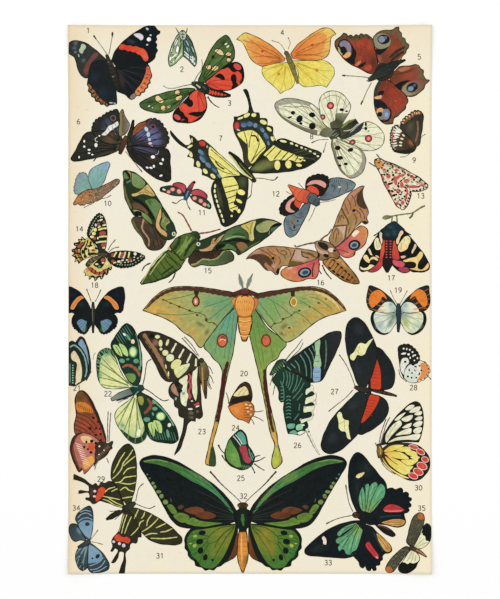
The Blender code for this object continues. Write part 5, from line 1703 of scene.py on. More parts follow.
def eyed_forewings(p, tan, dark, umber):
    """The eyed moth's forewings."""
    fore = p.area("139,116.4! 136.4,112 137.6,108.6 139.2,104.6 140.4,101 142,97.4 143.4,94 145,90.6 "
                  "147.6,87.6 150.6,85.5 153,84.3 154.8,84.1! 154,86.6 154,89.6 155.2,93 156.6,96.4 "
                  "157,98.4 156.2,100 156.2,101.6 156.8,103.2 155.4,104.1 153.4,102.8! 152.2,104 "
                  "150.4,105.6 148.6,108 146.6,110.4 144,112.6 141.4,115", tan, edge=0.45, line="4a3a28")
    p.area("154.5,84.6 152.6,86.6 151,89.4 150.7,92 151.5,94.3 153.6,95.6 155.4,96.2 156.3,95.8 155,92.6 "
           "153.9,89", dark, fore)
    p.glows("149,88,2.4,1.4,-40 154.4,98.6,1.6,2.4", "c98e78", 0.8, fore)
    p.glows("146.4,92.4,1.4,3,15 152,97,1.6,1.6", "c48a58", 0.8, fore)
    p.glows("147.2,103,1.8,4 143,99,1.4,2.6,20 150.6,101,2,1.6", "857c46", 0.75, fore)
    p.area("140,105.5 145.3,105.2 144.9,109 144.3,112.2 142.8,108 141.2,106.4", "c9a890", fore)
    p.glows("139,110.6,1.2,2.6,10", "b88650", 0.7, fore)
    p.lines("142.9,95.8 144.4,99 146,101.6 146.6,104.4/139.2,105.2 142,104.9 145.9,104.6/145.7,104.8 "
            "145.2,108 144.5,112.4", 0.7, umber, fore)
    p.lines("146,91 147.4,93.4 147.8,96.6/148,88.8 149.8,91.4 150.4,94.6/144.6,93.6 145.6,96.6 146.6,98.8/"
            "142,102.6 143.2,99.4 144.2,101.2/141,103.6 142,99.2/138.4,112 139.4,107.6 140.6,106.2 "
            "141.4,109.8/139.8,113.4 140.4,109/147.4,105.6 146.4,109/149.4,98.6 150.8,101.6 150,104.6/"
            "150.6,96.6 152.6,98.6 153,101/152.2,95.8 154.4,98.4 155,101.4/151.8,87.4 149.6,90.2", 0.45,
            "6a4e30", fore)
    p.dots("149.4,96.9,1,.7,-25", "1c1812", within=fore)
    p.area("152.9,103 154.4,102.4 156.6,103.2 155.4,104.4 153.6,104", "1d1a16", fore)
    low = p.area("131.6,119! 129.2,118.4 126,117.6 122,117 118,116.6 112,115.9 107,115.6 103,115.9 "
                 "99.6,116.8 96.6,118.6 94.4,120.6 92.9,122.4! 95,122 97.6,122.6 100,124.4 102.2,126.8 "
                 "104,128.3 106,128.4 107.4,129.4 108.6,130.5 109.8,130.3 110.2,128.6 110.6,127.3! "
                 "111.6,126 113.6,125.8 117,126.1 121,125.3 125,123.9 129.4,122.2", tan, edge=0.45,
                 line="4a3a28")
    p.area("93.3,122.2 96,120.3 99,119.7 102,119.9 104.4,120.9 106,122.6 107.1,124.8 106.3,126.2 "
           "104.6,125.6 103.4,124 102.5,124.8 104.4,128.2 102.4,127.2 100,124.5 97.6,122.7", "533a28", low)
    p.glows("98,118.2,3.4,1,-22 107.4,126,1.8,2,40", "cb9a92", 0.85, low)
    p.glows("109,119,3,1.4,35 104,118,3,1,10", "b9876a", 0.7, low)
    p.glows("114,121.6,2,2.6,20 112,124,2,1.2", "8f8248", 0.7, low)
    p.area("117.3,121.8 118.5,118.2 121.6,117.9 122.2,120.4 125.6,121.9 123,123.2 119.6,122.8", "c2a08e", low)
    p.area("115.4,123.7 119,123.5 123.6,124.5 119,125.7 115.2,125.7", "66562f", low)
    p.lines("118.5,117.5 117.4,120.6 115.8,123.6/122,118.6 126,119.8 129.4,121.4/121.9,118 122.4,120.6 "
            "126,121.8", 0.65, umber, low)
    p.lines("108.6,116.6 110,118.8 112.4,120.2 113.6,121.8/111,118.6 113,117.9 114.2,119.4 112.8,120.4 "
            "111.4,119.4/104,116.8 106,119.2 108.8,120.6/101,117.6 103.4,118.8 106.6,121.6 108,124.6/"
            "99.6,117 102,118/110,121 111,123.4 110,125.4/113.4,116.6 115.6,117.8 116.4,120.4/102.4,123.2 "
            "105,125.4 107.6,127.8/125,118.8 128.4,120", 0.45, "6a4e30", low)
    p.dots("107,121.9,1,.6,-30", "1c1812", within=low)
    p.area("109.7,126.9 110.5,128.4 109.9,130.3 108.6,129.6 109,128", "1d1a16", low)


def eyed_body(p):
    """The eyed moth's abdomen and furry chest."""
    abdomen = p.area("133.4,122! 136,120.2 139,119.4 142,121 145,124.4 147.6,127.4 150,130.4 151.9,133.4 "
                     "152.2,134.9 150.6,135.3 147.4,134.9 144,133.7 140.4,131.4 137.4,129 134.8,126.4 "
                     "133.2,124", "b88448>a8743e>86602f", edge=0.5, line="2c2416")
    p.hatch((136.8, 121), (150, 133.2), 10, (-2.8, 4.0), 0.45, "5c4222", abdomen)
    p.dots("139,123,1,.5,45 141,125,1,.5,45 143,126.8,1,.5,45 145,128.7,1,.5,45 146.8,130.4,.9,.45,45 "
           "148.6,132,.8,.4,45 136.6,127,1,.6,35 138.8,128.8,1.1,.6,35 141,130.6,1.2,.6,35 "
           "143.4,131.8,1.1,.6,30 146,133.2,1,.5,20", "2a2010", within=abdomen)
    p.glows("144,125,3.4,1,48 141,122.6,2,.8,45", "d8b47c", 0.7, abdomen)
    chest = p.area("129,113.4! 130.6,112.8 133,112.9 136,113.6 138.4,115 140,117 141.8,120 141,122.2 "
                   "138,121.4 134,122.8 131.2,122.8 130.5,119 129.2,116", "a07c58>7c5c3c", edge=0.45,
                   line="2c2416")
    p.area("130.5,113.6 134,113.9 135.9,115.6 135.6,117.7 133.4,117.2 131.3,115.8", "25241c", chest)
    p.area("129.3,114.2 130.4,116.4 132.4,117.8 135,118.4 136,119.5 133.6,119.9 131,118.8 129.6,116.8",
           "c8a08e", chest)
    p.area("135.8,117.2 138,116.5 139.2,117.8 137,118.8", "dccdbc", chest)
    p.dots("134.8,120.6,1.5,.9,20 139.2,117.9,.9,.6 131,120.4,.6,1.2", "1e1810", within=chest)
    p.glows("138,120.4,2,.9,30", "c08a50", 0.7, chest)


def tiger_moth(p):
    """A moth hanging from a twig: black and cream forewings over red hindwings and a banded body."""
    tiger_twig(p)
    tiger_wings(p)
    tiger_body(p)


def tiger_twig(p):
    """The twig, and the legs and left hindwing of the moth that hangs from it."""
    p.line("164.6,101 169,100 172,99.4 176,98.8 180,98.2 182,97 184.4,95.4 186.6,94.4",
           (1, 0.7, 0.6, 0.7, 0.9), "74744c")
    p.area("164.3,101 165,100 166.4,99.5 168.2,99.7 168.8,100.5 167.4,101.2 165.4,101.6", "8f9258>6a6a3c",
           edge=0.25, line="4a4a2c")
    p.line("180.4,98.2 179.8,99.6 178.4,101", (0.6, 1.1), "5f5c40")
    p.lines("169.4,100.3 169.1,103.4/171.8,99.7 172,103.4", 0.6, "5a5a48")
    p.lines("163.8,107.4 161.6,109 159.7,110.2/176,108 177.6,108.9 179.2,109.7", 0.55, "3a3a30")
    left_hind = p.area("165.2,111! 166,116 166,120 165,124 163.4,126.8 161.4,128.6 158.8,129.3 156.8,128.7 "
                       "157.6,127 160.4,125 162,122 162.6,118", "dc563c>d84c38>a83a44", edge=0.35)
    p.glows("160,127.6,2.2,.9,-20 163.6,122.6,.9,1.8,20", "8a2f3c", 0.8, left_hind)


def tiger_wings(p):
    """The tiger moth's forewings and its right hindwing."""
    left = p.area("169,103.8! 166.5,105 163.5,107.4 161.6,109.8 160.2,112 158.6,114.4 156.8,116.6 "
                  "155.4,118.8 154,121 152.8,123.6 152.2,126.2 152.3,128 153.4,128.9 155.6,128.7 "
                  "157.4,128.3! 159,126.9 161,125.3 162.4,123 162.9,120.6 163.2,118 164,115 164.9,112! "
                  "167,108", SOOT, edge=0.35)
    for cell, ink in (("163.2,108 164,108.6 164,110.6 164.3,113.2 163.9,114.6 163.1,112.4 162.7,110",
                       "d6ac88>efd9b8"), ("160,113.8 160.3,112.3 161.4,111.1 162.2,111.6 162.6,113.2 "
                                          "163.6,115.2 163.8,116.6 162.4,117.5 161,117.4 160.2,115.8",
                                          "e6c9a4>f1ebbc"),
                      ("156.8,117.4 157.2,116.7 157.9,117.4 158.4,118.8 159,120.4 158.2,120.2 157.3,118.8",
                       "e3cfa0"), ("154.3,121.4 155.4,120 156.3,120.4 157,121.6 157.5,122.7 158.2,121.7 "
                                   "159.8,121.1 161.3,121.7 162.1,123 161.2,123.1 160,122.4 158.6,122.6 "
                                   "157.7,123.3 157.4,124.4 156.3,124 155,122.9", "e8c27c>f0d896"),
                      ("160.6,120.3 162.2,120.8 162.8,121.7 161.6,121.6", "d9b88a"),
                      ("152.7,126.2 153.8,126.9 155.4,127 156.8,126.4 157.6,125.3 159.2,125.4 160.3,126 "
                       "158.6,127 156.8,127.9 154.6,128.1 153,127.6", "e6c184>f1dda6")):
        p.area(cell, ink, left)
    p.lines("161,112.4 161.6,116.8/162,112.6 162.8,116.2", 0.3, "a8b07c", left)
    p.glow(159.2, 123.9, 1, 0.8, "3a2a38", 0.7, 0, left)
    right_hind = p.area("170.2,111! 171.8,115.4 172.8,118.4 173.6,121.6 175.6,123.8 178,126.6 178.8,128.4 "
                        "176.6,129.6 173.6,129 171,127.2 169.4,125.2 168.6,121 169.2,116", SOOT, edge=0.35)
    p.area("170.4,112.6 171.8,115.6 172.7,118.6 173.4,121.4 173,122.5 171.4,122.7 169.7,122 168.9,120 "
           "169.4,116.6", "c9503c>cf4a3c>bc3e3c", right_hind)
    p.area("169.4,122.9 172,123.2 174.6,123.6 176,125 175.2,126.3 173,126.5 171,125.8 169.8,124.6",
           "cf5862", right_hind)
    p.area("172.6,127.3 175,126.6 177.8,127.2 178.5,128.5 176.4,129.3 173.8,128.7", "a23c50", right_hind)
    right = p.area("171.4,103.6! 173.6,105.6 176.4,107.8 178.6,110.4 180.6,112.8 182.6,115.4 184.6,117.8 "
                   "186.6,120.6 188.2,123.6 189,126 188.6,127.8 186.6,128.9 183,129.2 179.6,128.8 "
                   "178.4,127.4! 176.6,125 174.6,123 173.4,120.4 172.3,117 171.5,114 170.9,112! "
                   "170.6,107.6", SOOT, edge=0.35)
    for cell, ink in (("173.8,107.4 175,107.6 175.3,108.4 174,110.4 173.1,112.6 172.4,114.5 171.6,114.4 "
                       "171.5,112.6 172.2,110.4 173,108.4", "dcb08c>f0dcb8"),
                      ("176.3,110.5 177.6,110.2 178.7,111.4 178.9,113 178,115 177.2,117 175.6,118 "
                       "173.6,118.5 172.6,117.4 172.4,115.8 173.6,113.6 175,111.7", "e6cf98>f2eaa6>eccf9c"),
                      ("181.2,114.4 182.1,115.2 181.8,116.5 180.8,118.1 179.8,119.6 179.5,118.6 180.2,117 "
                       "180.8,115.6", "e0caa0"), ("173.5,121.4 175,120.6 176.5,120.8 176,121.6 174.4,121.9",
                                                  "dcbd98"), ("184,118.5 185.1,118.7 185.5,120 184.6,122 "
                                                              "183.4,123.6 182.8,125.2 182.8,127 "
                                                              "184.4,127.9 186,127.1 187.2,125.6 "
                                                              "188.3,124.3 188.6,126 187.8,127.5 186,128.3 "
                                                              "183.4,128.5 181,128.1 178.6,127.3 "
                                                              "181.2,126.9 182,125.6 181.6,124.4 "
                                                              "180.4,123.8 178,123.7 175.9,123.8 175,123.3 "
                                                              "176.4,122.7 178.4,121.9 180.4,121.5 182,121 "
                                                              "183,119.8", "e0b46a>f0dc84>e8c074")):
        p.area(cell, ink, right)
    p.lines("174.4,113.6 173.8,117.6/176,111.8 175.4,114", 0.35, "a8b878", right)
    p.glow(178, 111.6, 0.8, 1.2, "e0a890", 0.8, -20, right)
    p.glows("185.4,123,1,2.6,25 178.6,125.4,1.6,.8 176.4,109.2,.9,.6,30", "2c2434", 0.6, right)


def tiger_body(p):
    """The tiger moth's banded body and its chest."""
    p.body("167.8,111 167.6,115 167.3,119 167,123 166.8,126 166.8,129.3", (4.4, 4, 3.6, 4.8, 5, 1),
           "4f2020>2a1a1c>17191b", 0, edge=0.35)
    for step in range(7):
        y = 113 + 1.4 * step
        p.dots(f"166.4,{y:.1f},.55,.3 168.5,{y:.1f},.55,.3", "b06a5c")
    p.area("169,103.2! 170.4,102.6 172,103.4 174,105.2 175.8,107.1 173.8,107.4 172.8,109 171.8,111.4 "
           "170.4,112.3 168,112 165.6,112.2 164.6,110.8 164.3,108.8 163.2,107.7 165,106 167,104.2",
           "1f3036>15242a", edge=0.35)
    p.glows("167,109.4,2,2 170.6,108.6,1.6,2.4 168.6,105.6,2,1.2", "2f5058", 0.7)


def orange_banded(p):
    """Black wings with an orange slash on each forewing and blue-green hindwing panels."""
    for share in (1, -0.88):
        def turned(path):
            words = []
            for word in path.split():
                x, rest = word.split(",", 1)
                words.append(f"{12.95 + share * (float(x) - 12.95):.2f},{rest}")
            return " ".join(words)
        hind = p.area(turned("14,149! 19,149.6 23,150.6 25.2,152.7 25.7,154.5 25.4,156.7 24.5,158.5 "
                             "23,159.5 21.6,160.8 19.8,161.5 18,161.7 16.5,160.6 15.5,158.8 14.4,157.4"),
                      "171c1c>10151a", edge=0.4, teeth=(5, 11, 7, 0.35))
        p.area(turned("16.9,154.9 18,154.5 20.1,153.8 21.6,154.3 22.7,155.6 21.9,157 20.9,158.5 19.8,159.7 "
                      "18.3,160.6 17.6,158.8 17.1,156.7"), "6f9490>6f8ca8", hind, edge=0.2, line="3a5560")
        for path in ("17.6,155.4 19.4,157.2 20.8,158.2", "18.8,155 20.4,156.4 21.8,157",
                     "17.4,156.6 18.4,158.6 19.2,159.8", "20,154.4 21.2,155.2 22.3,155.6"):
            p.line(turned(path), 0.3, "41607a", hind)
        p.glow(12.95 + share * 5.4, 158.6, 1.6, 2, "5c8c6c", 0.85, 0, hind)
        fore = p.area(turned("13.8,149.4! 14.7,147.8 16.2,145.2 18.7,141.9 21.2,139.4 24.5,137.6 27,136.9 "
                             "28.6,137.2 29.3,139.4 29.5,142.3 29,146.2 28.4,149.1 27.3,150.4 25.2,150.4 "
                             "24,151 19,151.2"), "181d1a>0f141a>161b1c", edge=0.4)
        p.area(turned("18.7,142.5 20.1,141.7 21.9,142.3 23.7,143.9 25.2,145.5 26.1,147.3 26.1,148.4 "
                      "25,148.6 23.7,147.3 22.3,145.2 20.5,143.5"), "d9622a>dc7634>dc8440", fore, edge=0.22,
               line="e6b070")
        p.glow(12.95 + share * 7, 146, 3, 2, "22322c", 0.7, 0, fore)
        p.glow(12.95 + share * 12, 141, 3, 2, "17202c", 0.7, 0, fore)
    p.body("12.9,144.8 12.9,148 12.9,153 12.9,161", (1, 2, 1.7, 0.7), "2f322c>26281f", 0)
    p.line("12.7,147.4 12.6,151 12.8,155", 0.3, "6a6c60")
    p.lines("11.9,144.6 10.8,141.4 9.6,138.3/14,144.6 15.6,141.6 16.8,138.7", (0.35, 0.3, 0.45), "4a463a",
            club=0.4)


def orange_tip(p):
    """White wings shaded blue-green, bordered in black, with orange patches at the tips."""
    left_hind = p.area("171.4,151! 166,148.6 161.4,148.6 159,150.4 158.2,153 158.6,156 160,159 162.4,161.2 "
                       "165,162 167.6,161 170,158 172,154.4", "74908a>dde3cc>c9d8c4", edge=0.3)
    right_hind = p.area("174,151! 179,148.8 184,148.8 186.4,150.4 187.2,153 186.8,156.4 185,159.4 "
                        "182.4,161.4 180,162 177.4,160.8 175,157.6 173.6,154.4", "74908a>e3e4bd>cfdcb8",
                        edge=0.3)
    for wing, x, tint in ((left_hind, 163, "9cb4bc"), (right_hind, 182.6, "a9c0a6")):
        p.margin(wing, 2, 9, (0.9, 1.5, 1.8, 1.2, 0.5), SOOT)
        p.glow(x, 157, 3.2, 2.6, tint, 0.8, 0, wing)
        p.fan(wing, 1, 9, 8, (0.3, 0.2), "95a58c", inset=1.4)
    p.glows("168.6,156,1.8,3.6,30 170,152.6,1.4,2", "5d7c62", 0.8, left_hind)
    p.glows("176.6,156,2.2,3,-30", "a5b552", 0.85, right_hind)
    for fore, orange, pale, shade in (("171.8,150! 171.6,147.4 168.6,142.8 165,139.6 161,137.2 157.4,136.4 "
                                       "156.7,138.6 156.1,142 156.2,146 157.8,148.8 160.6,149.6 166,150.6",
                                       "162.4,138.5 165.2,140.6 166.6,143.4 164.4,142 163.2,144.2 "
                                       "160.6,146.6 159,147.8 157.5,146 157.3,143 158.8,140",
                                       "163.4,147.2 166.4,144.8 169,145 171.6,148.4 171,151.4 165.4,150.6 "
                                       "161.6,150.2", "168.6,146"),
                                      ("173.8,150! 174,147.2 176.6,143.4 180.4,139.8 184.6,137 188.4,136.4 "
                                       "188.8,139.4 189.2,143 188.7,147 187,149 184.4,149.8 179,150.6",
                                       "183.4,138.1 186.2,139.4 187.6,142.6 187.6,146.2 186.3,147.6 "
                                       "184,145.6 182.2,143.2 181.4,141.7 180,142.4 178.8,143.4 "
                                       "179.6,140.8", "182.2,147.4 179.4,145.2 176.6,145 174,148.2 "
                                       "174.6,151.4 180,150.8 183.6,150.4", "176.4,146.4")):
        wing = p.area(fore, "22302f>1f2522", edge=0.35)
        p.area(pale, "7f9ea2>e2e4cc>e8e4c4", wing)
        p.area(orange, "e8862f>e27f31", wing)
        x, y = map(float, shade.split(","))
        p.glow(x, y, 2, 1.6, "6f98a8", 0.85, 0, wing)
        p.fan(wing, 5, 10, 6, (0.2, 0.2), "c66a26", start=0.45)
    p.body("172.7,145.6 172.7,149 172.8,153 172.6,160.6", (1.6, 2.8, 2, 1), "2b4048>1f3034", 0)
    p.lines("172,146 170,142.4 168.4,138.8/173.4,146 175.6,142 177.2,139", (0.3, 0.2, 0.3), FEELER, club=0.3)


def spotted_white(p):
    """A small white butterfly at rest, speckled black, with an orange patch."""
    hind = p.area("175.6,184.6! 175.4,179 178,176.6 182,175.8 185.4,175.6 188,177.4 189.2,180 188.6,183 "
                  "186,185.6 182,187 178.4,186.8", "d4dccb>e6e6d8", edge=0.35, line="55584c",
                  teeth=(4, 9, 6, 0.4))
    p.area("184.6,176.6 187,176.8 188.6,179.4 187.8,183.2 185,185.4 182.4,186 184.4,182.6", "ea8b4c>e0904e",
           hind)
    p.dots("176.4,176.4,.6 180.2,177.7,.8,.4,20 181.6,178.6,.8,.4,20 178.3,180.4,.4,.8 "
           "181.2,180.6,.3,.7,-30 179.8,182,.5 177.6,183.8,.6 179.6,184.4,.5 182,184.4,.5 "
           "183.6,182.4,.4,.9,20 184.6,180.6,.5 183.6,178.2,.5,.4", SOOT, within=hind)
    p.beads(hind, 4, 9, 8, 0.4, 0.35, "2b2a22")
    fore = p.area("175.4,184.8! 174,181.4 173.2,177 172.6,172 172.6,168.4 174.6,167 178,166.8 181.2,169 "
                  "183.6,172.4 183.8,175.4 181.4,177.4 178.6,177.4 176,180.4", "20211c", edge=0.35,
                  line="1b1b17", teeth=(5, 10, 8, 0.4))
    p.area("174.4,181.6 173.8,176.6 174.8,174.4 177.4,174.2 178.2,176.6 176.6,178.4 176,183.4", "e6e6d8",
           fore)
    p.dots("175.4,171.8,1.4,.5,-10 178,172.2,.7,.6 175.4,169.2,.5 177,169.4,.4,.6 178.6,169.8,.5 "
           "180,171,.5 181.4,172.6,.5 182.6,174.2,.4,.6 180.4,173,.4,.7,30 178.8,174,.4,.6 181,175.4,.4 "
           "176.8,176.4,.4", "ecece0", within=fore)
    p.dots("176.2,176.1,.7,.6", SOOT, within=fore)
    p.lines("172.8,180 173.6,183.4 177,186.6/187.2,182.6 189.8,185.4", 0.35, "55584c")


def edge_swallowtail(p):
    """Closed wings with a blue hindwing, a pale green arc and a cream panel, at the sheet's edge."""
    back = p.area("9.4,186! 11.6,181 11.6,177 11,172 9.6,167 7.8,163.6 6.2,162.9 4.8,164.4 3.8,166.2 6,172 "
                  "8,180", "222b2b", edge=0.4)
    p.area("5.2,166.4 6.9,164.2 8.5,166.6 10,171.4 10.5,176 10.2,180 9,175.6 7,171", "8fa6b8>7f97ad", back)
    front = p.area("0.2,188.4! 0.2,166.2! 1.6,165.2 4,166.4 6.6,168.8 8.8,172.4 10.1,177 10.2,181.6 "
                   "8.6,185 6,187.4 3.6,188.6", "26302c>1d2622", edge=0.4)
    p.line("0.8,168.4 2.8,167.4 5.4,169 7.8,172.2 9.2,176.6 9.5,181 8.8,184.2", 0.7, "7fa596", front)
    p.area("1.7,171.4 2.8,170.4 4.8,172.6 6.4,176.6 7.1,181 6.7,185 5.6,187.8 4.2,188.2 4,182 3.9,176.2 "
           "2.2,175.4", "e6d8b0>dccda0", front)
    p.area("0.3,175.8 3.2,176.2 3.4,182 3.1,187.6 0.3,187.9", "2c4034>1f2e27", front, edge=0.25, line=SOOT)
    p.line("0.8,177 0.9,187", 0.5, "5d8a72", front)
    p.dots(" ".join(f"2.3,{178 + 1.3 * i:.1f},.3,.4" for i in range(8)), "b9c9a8", within=front)
    p.line("3.8,188.4 7,186.4 10,184 12,181.2", (0.5, 0.9, 0.3), "33302a")
    p.line("12.8,175 13.3,172.6 14.2,171.3", 0.3, "8f8d80")


def green_graph(p):
    """Long wings in green and cream with dark stripes, and a rust-coloured bar on each forewing."""
    dark, cream = "1f3a2c>16281f", "e8e3ac>e3e2a0>a9c08a"
    fore = p.area("35,189.6! 31.4,186 29,182 27,178 25.8,174.4 23.8,171.4 22.5,168.8 22.4,166.4 24,163.6 "
                  "26,160.6 28.4,157.4 30.6,156.1 32.8,157.2 35,160.6 36.8,165 38,170.4 38.5,176.4 "
                  "38.1,182.6 37,187", dark, edge=0.5)
    p.line("35.2,160.4 36.9,166 37.6,172 37.9,178.6", 0.8, "7aa585", fore)
    p.hatch((24.6, 162.4), (30.2, 156.8), 7, (3.4, 5.4), 0.3, "557f68", fore)
    p.area("23.4,167.4 24.8,167.2 27.6,170.6 28.1,173.2 26.2,172.4 24.2,170", "d5e596>b2cf7c", fore)
    p.area("26.6,166.6 28.2,167 31,170.8 31.1,173.2 29,172.2 27.6,169.6", "d5e596>b2cf7c", fore)
    p.line("24.6,167.8 27.4,172.6", 0.3, "2f5a3a", fore)
    p.dots("33.8,170.9,1.5,2.2", "dfe9a0", within=fore, ring=0.7, ring_ink="6ea67c")
    p.dots("33.7,165.5,1,1.2", "e6d5b4", within=fore)
    p.dots("29.3,161.8,1,.5,40", "eef0e2", within=fore)
    p.dots("31.2,163.2,.7,2.2,-35 28.1,175.6,1.5,1.1,20 31,174.8,.9,.6 35.4,175.7,1.4,1.2 "
           "37.2,179.4,.7,1.2", "629a7a", within=fore)
    p.line("28.2,179 30.6,177.9 33.8,178.8 36,180.8 37.4,183.6", (0.8, 1.3, 1.3, 1), "9c5a3c", fore)
    p.area("29.6,183 34.8,182.8 35.2,185 33.4,187 31.4,185.6", "8fa04e>5f8a4a", fore)
    hind = p.area("33.6,189.4! 29.4,184.6 26.6,179.6 24.6,174 22.4,169.8 19.8,168.9 17.4,169.9 15.5,172 "
                  "14.8,175 14.7,179 15.1,183 16.3,187 18.4,189.4 22,190.2 28,190", cream, edge=0.4,
                  line="3f5a40")
    p.margin(hind, 3, 11, (0.6, 3, 2.6, 2, 1.4, 0.3), "1f3a2c")
    p.glows("20.6,172.4,2.6,1,-20 16.6,183,1.4,2.6 24.6,172.4,1,1.8,20", "5f9a70", 0.9, hind)
    p.fan(hind, 2, 12, 9, (0.6, 0.35), "6f8a4a", bow=0.03)
    p.fan(hind, 4, 9, 9, (0.35, 0.3), "7fae86", hub=(24, 180), start=0.68)
    low_hind = p.area("35.4,192.4! 32.4,195.6 29,198.2 25.6,201 24.2,204 25,208 27,211.6 29.6,215 "
                      "32.2,217.7 35,218.9 38.2,218.2 40.4,216 41,212.8 40,208.6 38.5,204 37,198.6", cream,
                      edge=0.4, line="3f5a40")
    p.margin(low_hind, 6, 13, (0.6, 2, 3, 3, 2, 0.4), "1f3a2c")
    p.glows("28.2,209.4,2.4,1.6,40 39.4,211,1,2 37.4,203,1,6,-15", "5f9a70", 0.9, low_hind)
    p.fan(low_hind, 4, 14, 9, (0.6, 0.35), "6f8a4a", bow=0.03)
    p.dots("36.7,213.2,1.1,1.9,10", "e6efc6", within=low_hind)
    low = p.area("35.6,190.4! 38.4,192.2 41,193.6 44.4,195.6 47.6,198.4 50.8,202 53.6,205.8 56,210 "
                 "57.3,214 57.2,217 55.4,218.6 51,218.5 46,217.8 42.8,216.2 41,213.2 39.6,208.6 38,203 "
                 "36.4,197", dark, edge=0.5)
    p.line("44,196.2 48,199.6 52,204 55.2,209.6", 0.8, "6fa583", low)
    p.hatch((43.4, 216.6), (56.4, 217.4), 11, (-1.4, -4.6), 0.3, "557f68", low)
    p.area("36.6,194.4 38.6,194.2 39.4,196.6 38.4,199 37,197.8", "b0a94c>8a8f3e", low)
    p.line("41.4,195.4 43.2,198.4 42,201 39.6,203.2", (1, 1.6, 1.5, 1), "8f4a36", low)
    p.dots("44.6,197.6,.8,.6,40 45.2,200.6,1.4,1 41,206.3,1.8,1.2 44.2,203.4,.5,1,-20 52,213.6,.8,2.2,-10",
           "629a7a", within=low)
    p.dots("48.3,204.6,1.9,1.7", "dfe9a0", within=low, ring=0.6, ring_ink="6ea67c")
    p.dots("52.8,209.2,.9,1.1,20", "e6e5c4", within=low)
    p.area("42,208.2 43.8,207.6 45.2,212.4 44.6,215.2 43,213", "d5e596>b2cf7c", low)
    p.area("44.8,206.8 47.4,207.2 49,210.6 48.6,213.4 46.6,212.4", "d5e596>b2cf7c", low)
    p.lines("45.6,207.4 47.2,212.8/43.2,208.6 44.4,214.6", 0.3, "2f5a3a", low)
    p.body("36.4,190.4 32,191.8 27,193.8 22.4,195.9", (2.4, 3.4, 3.2, 1.6), "51665a>8a9482", 0, edge=0.35)
    p.line("35.6,192.6 30,194.8 25,196.6", (0.7, 1.1, 0.4), "232b33")
    p.lines("26,197.6 28.4,196.2 31.4,195.2", 0.3, SOFT_LINE)
    p.body("39.4,189.4 37.4,190 34.6,190.8 32.4,189.8", (2.2, 4.6, 4, 1), "24423e>1c3230", 0)
    p.lines("36.4,189.2 33,188.8/36.6,191.6 34.8,193.4", 0.5, "6d9a86")
    p.lines("38.9,188 39.9,184 40.6,179 41.4,176 43.2,174.8/39.6,190 43,192 47,195 50,196.5 52.4,196",
            (0.5, 0.4, 0.5), "3f4640", club=0.3)


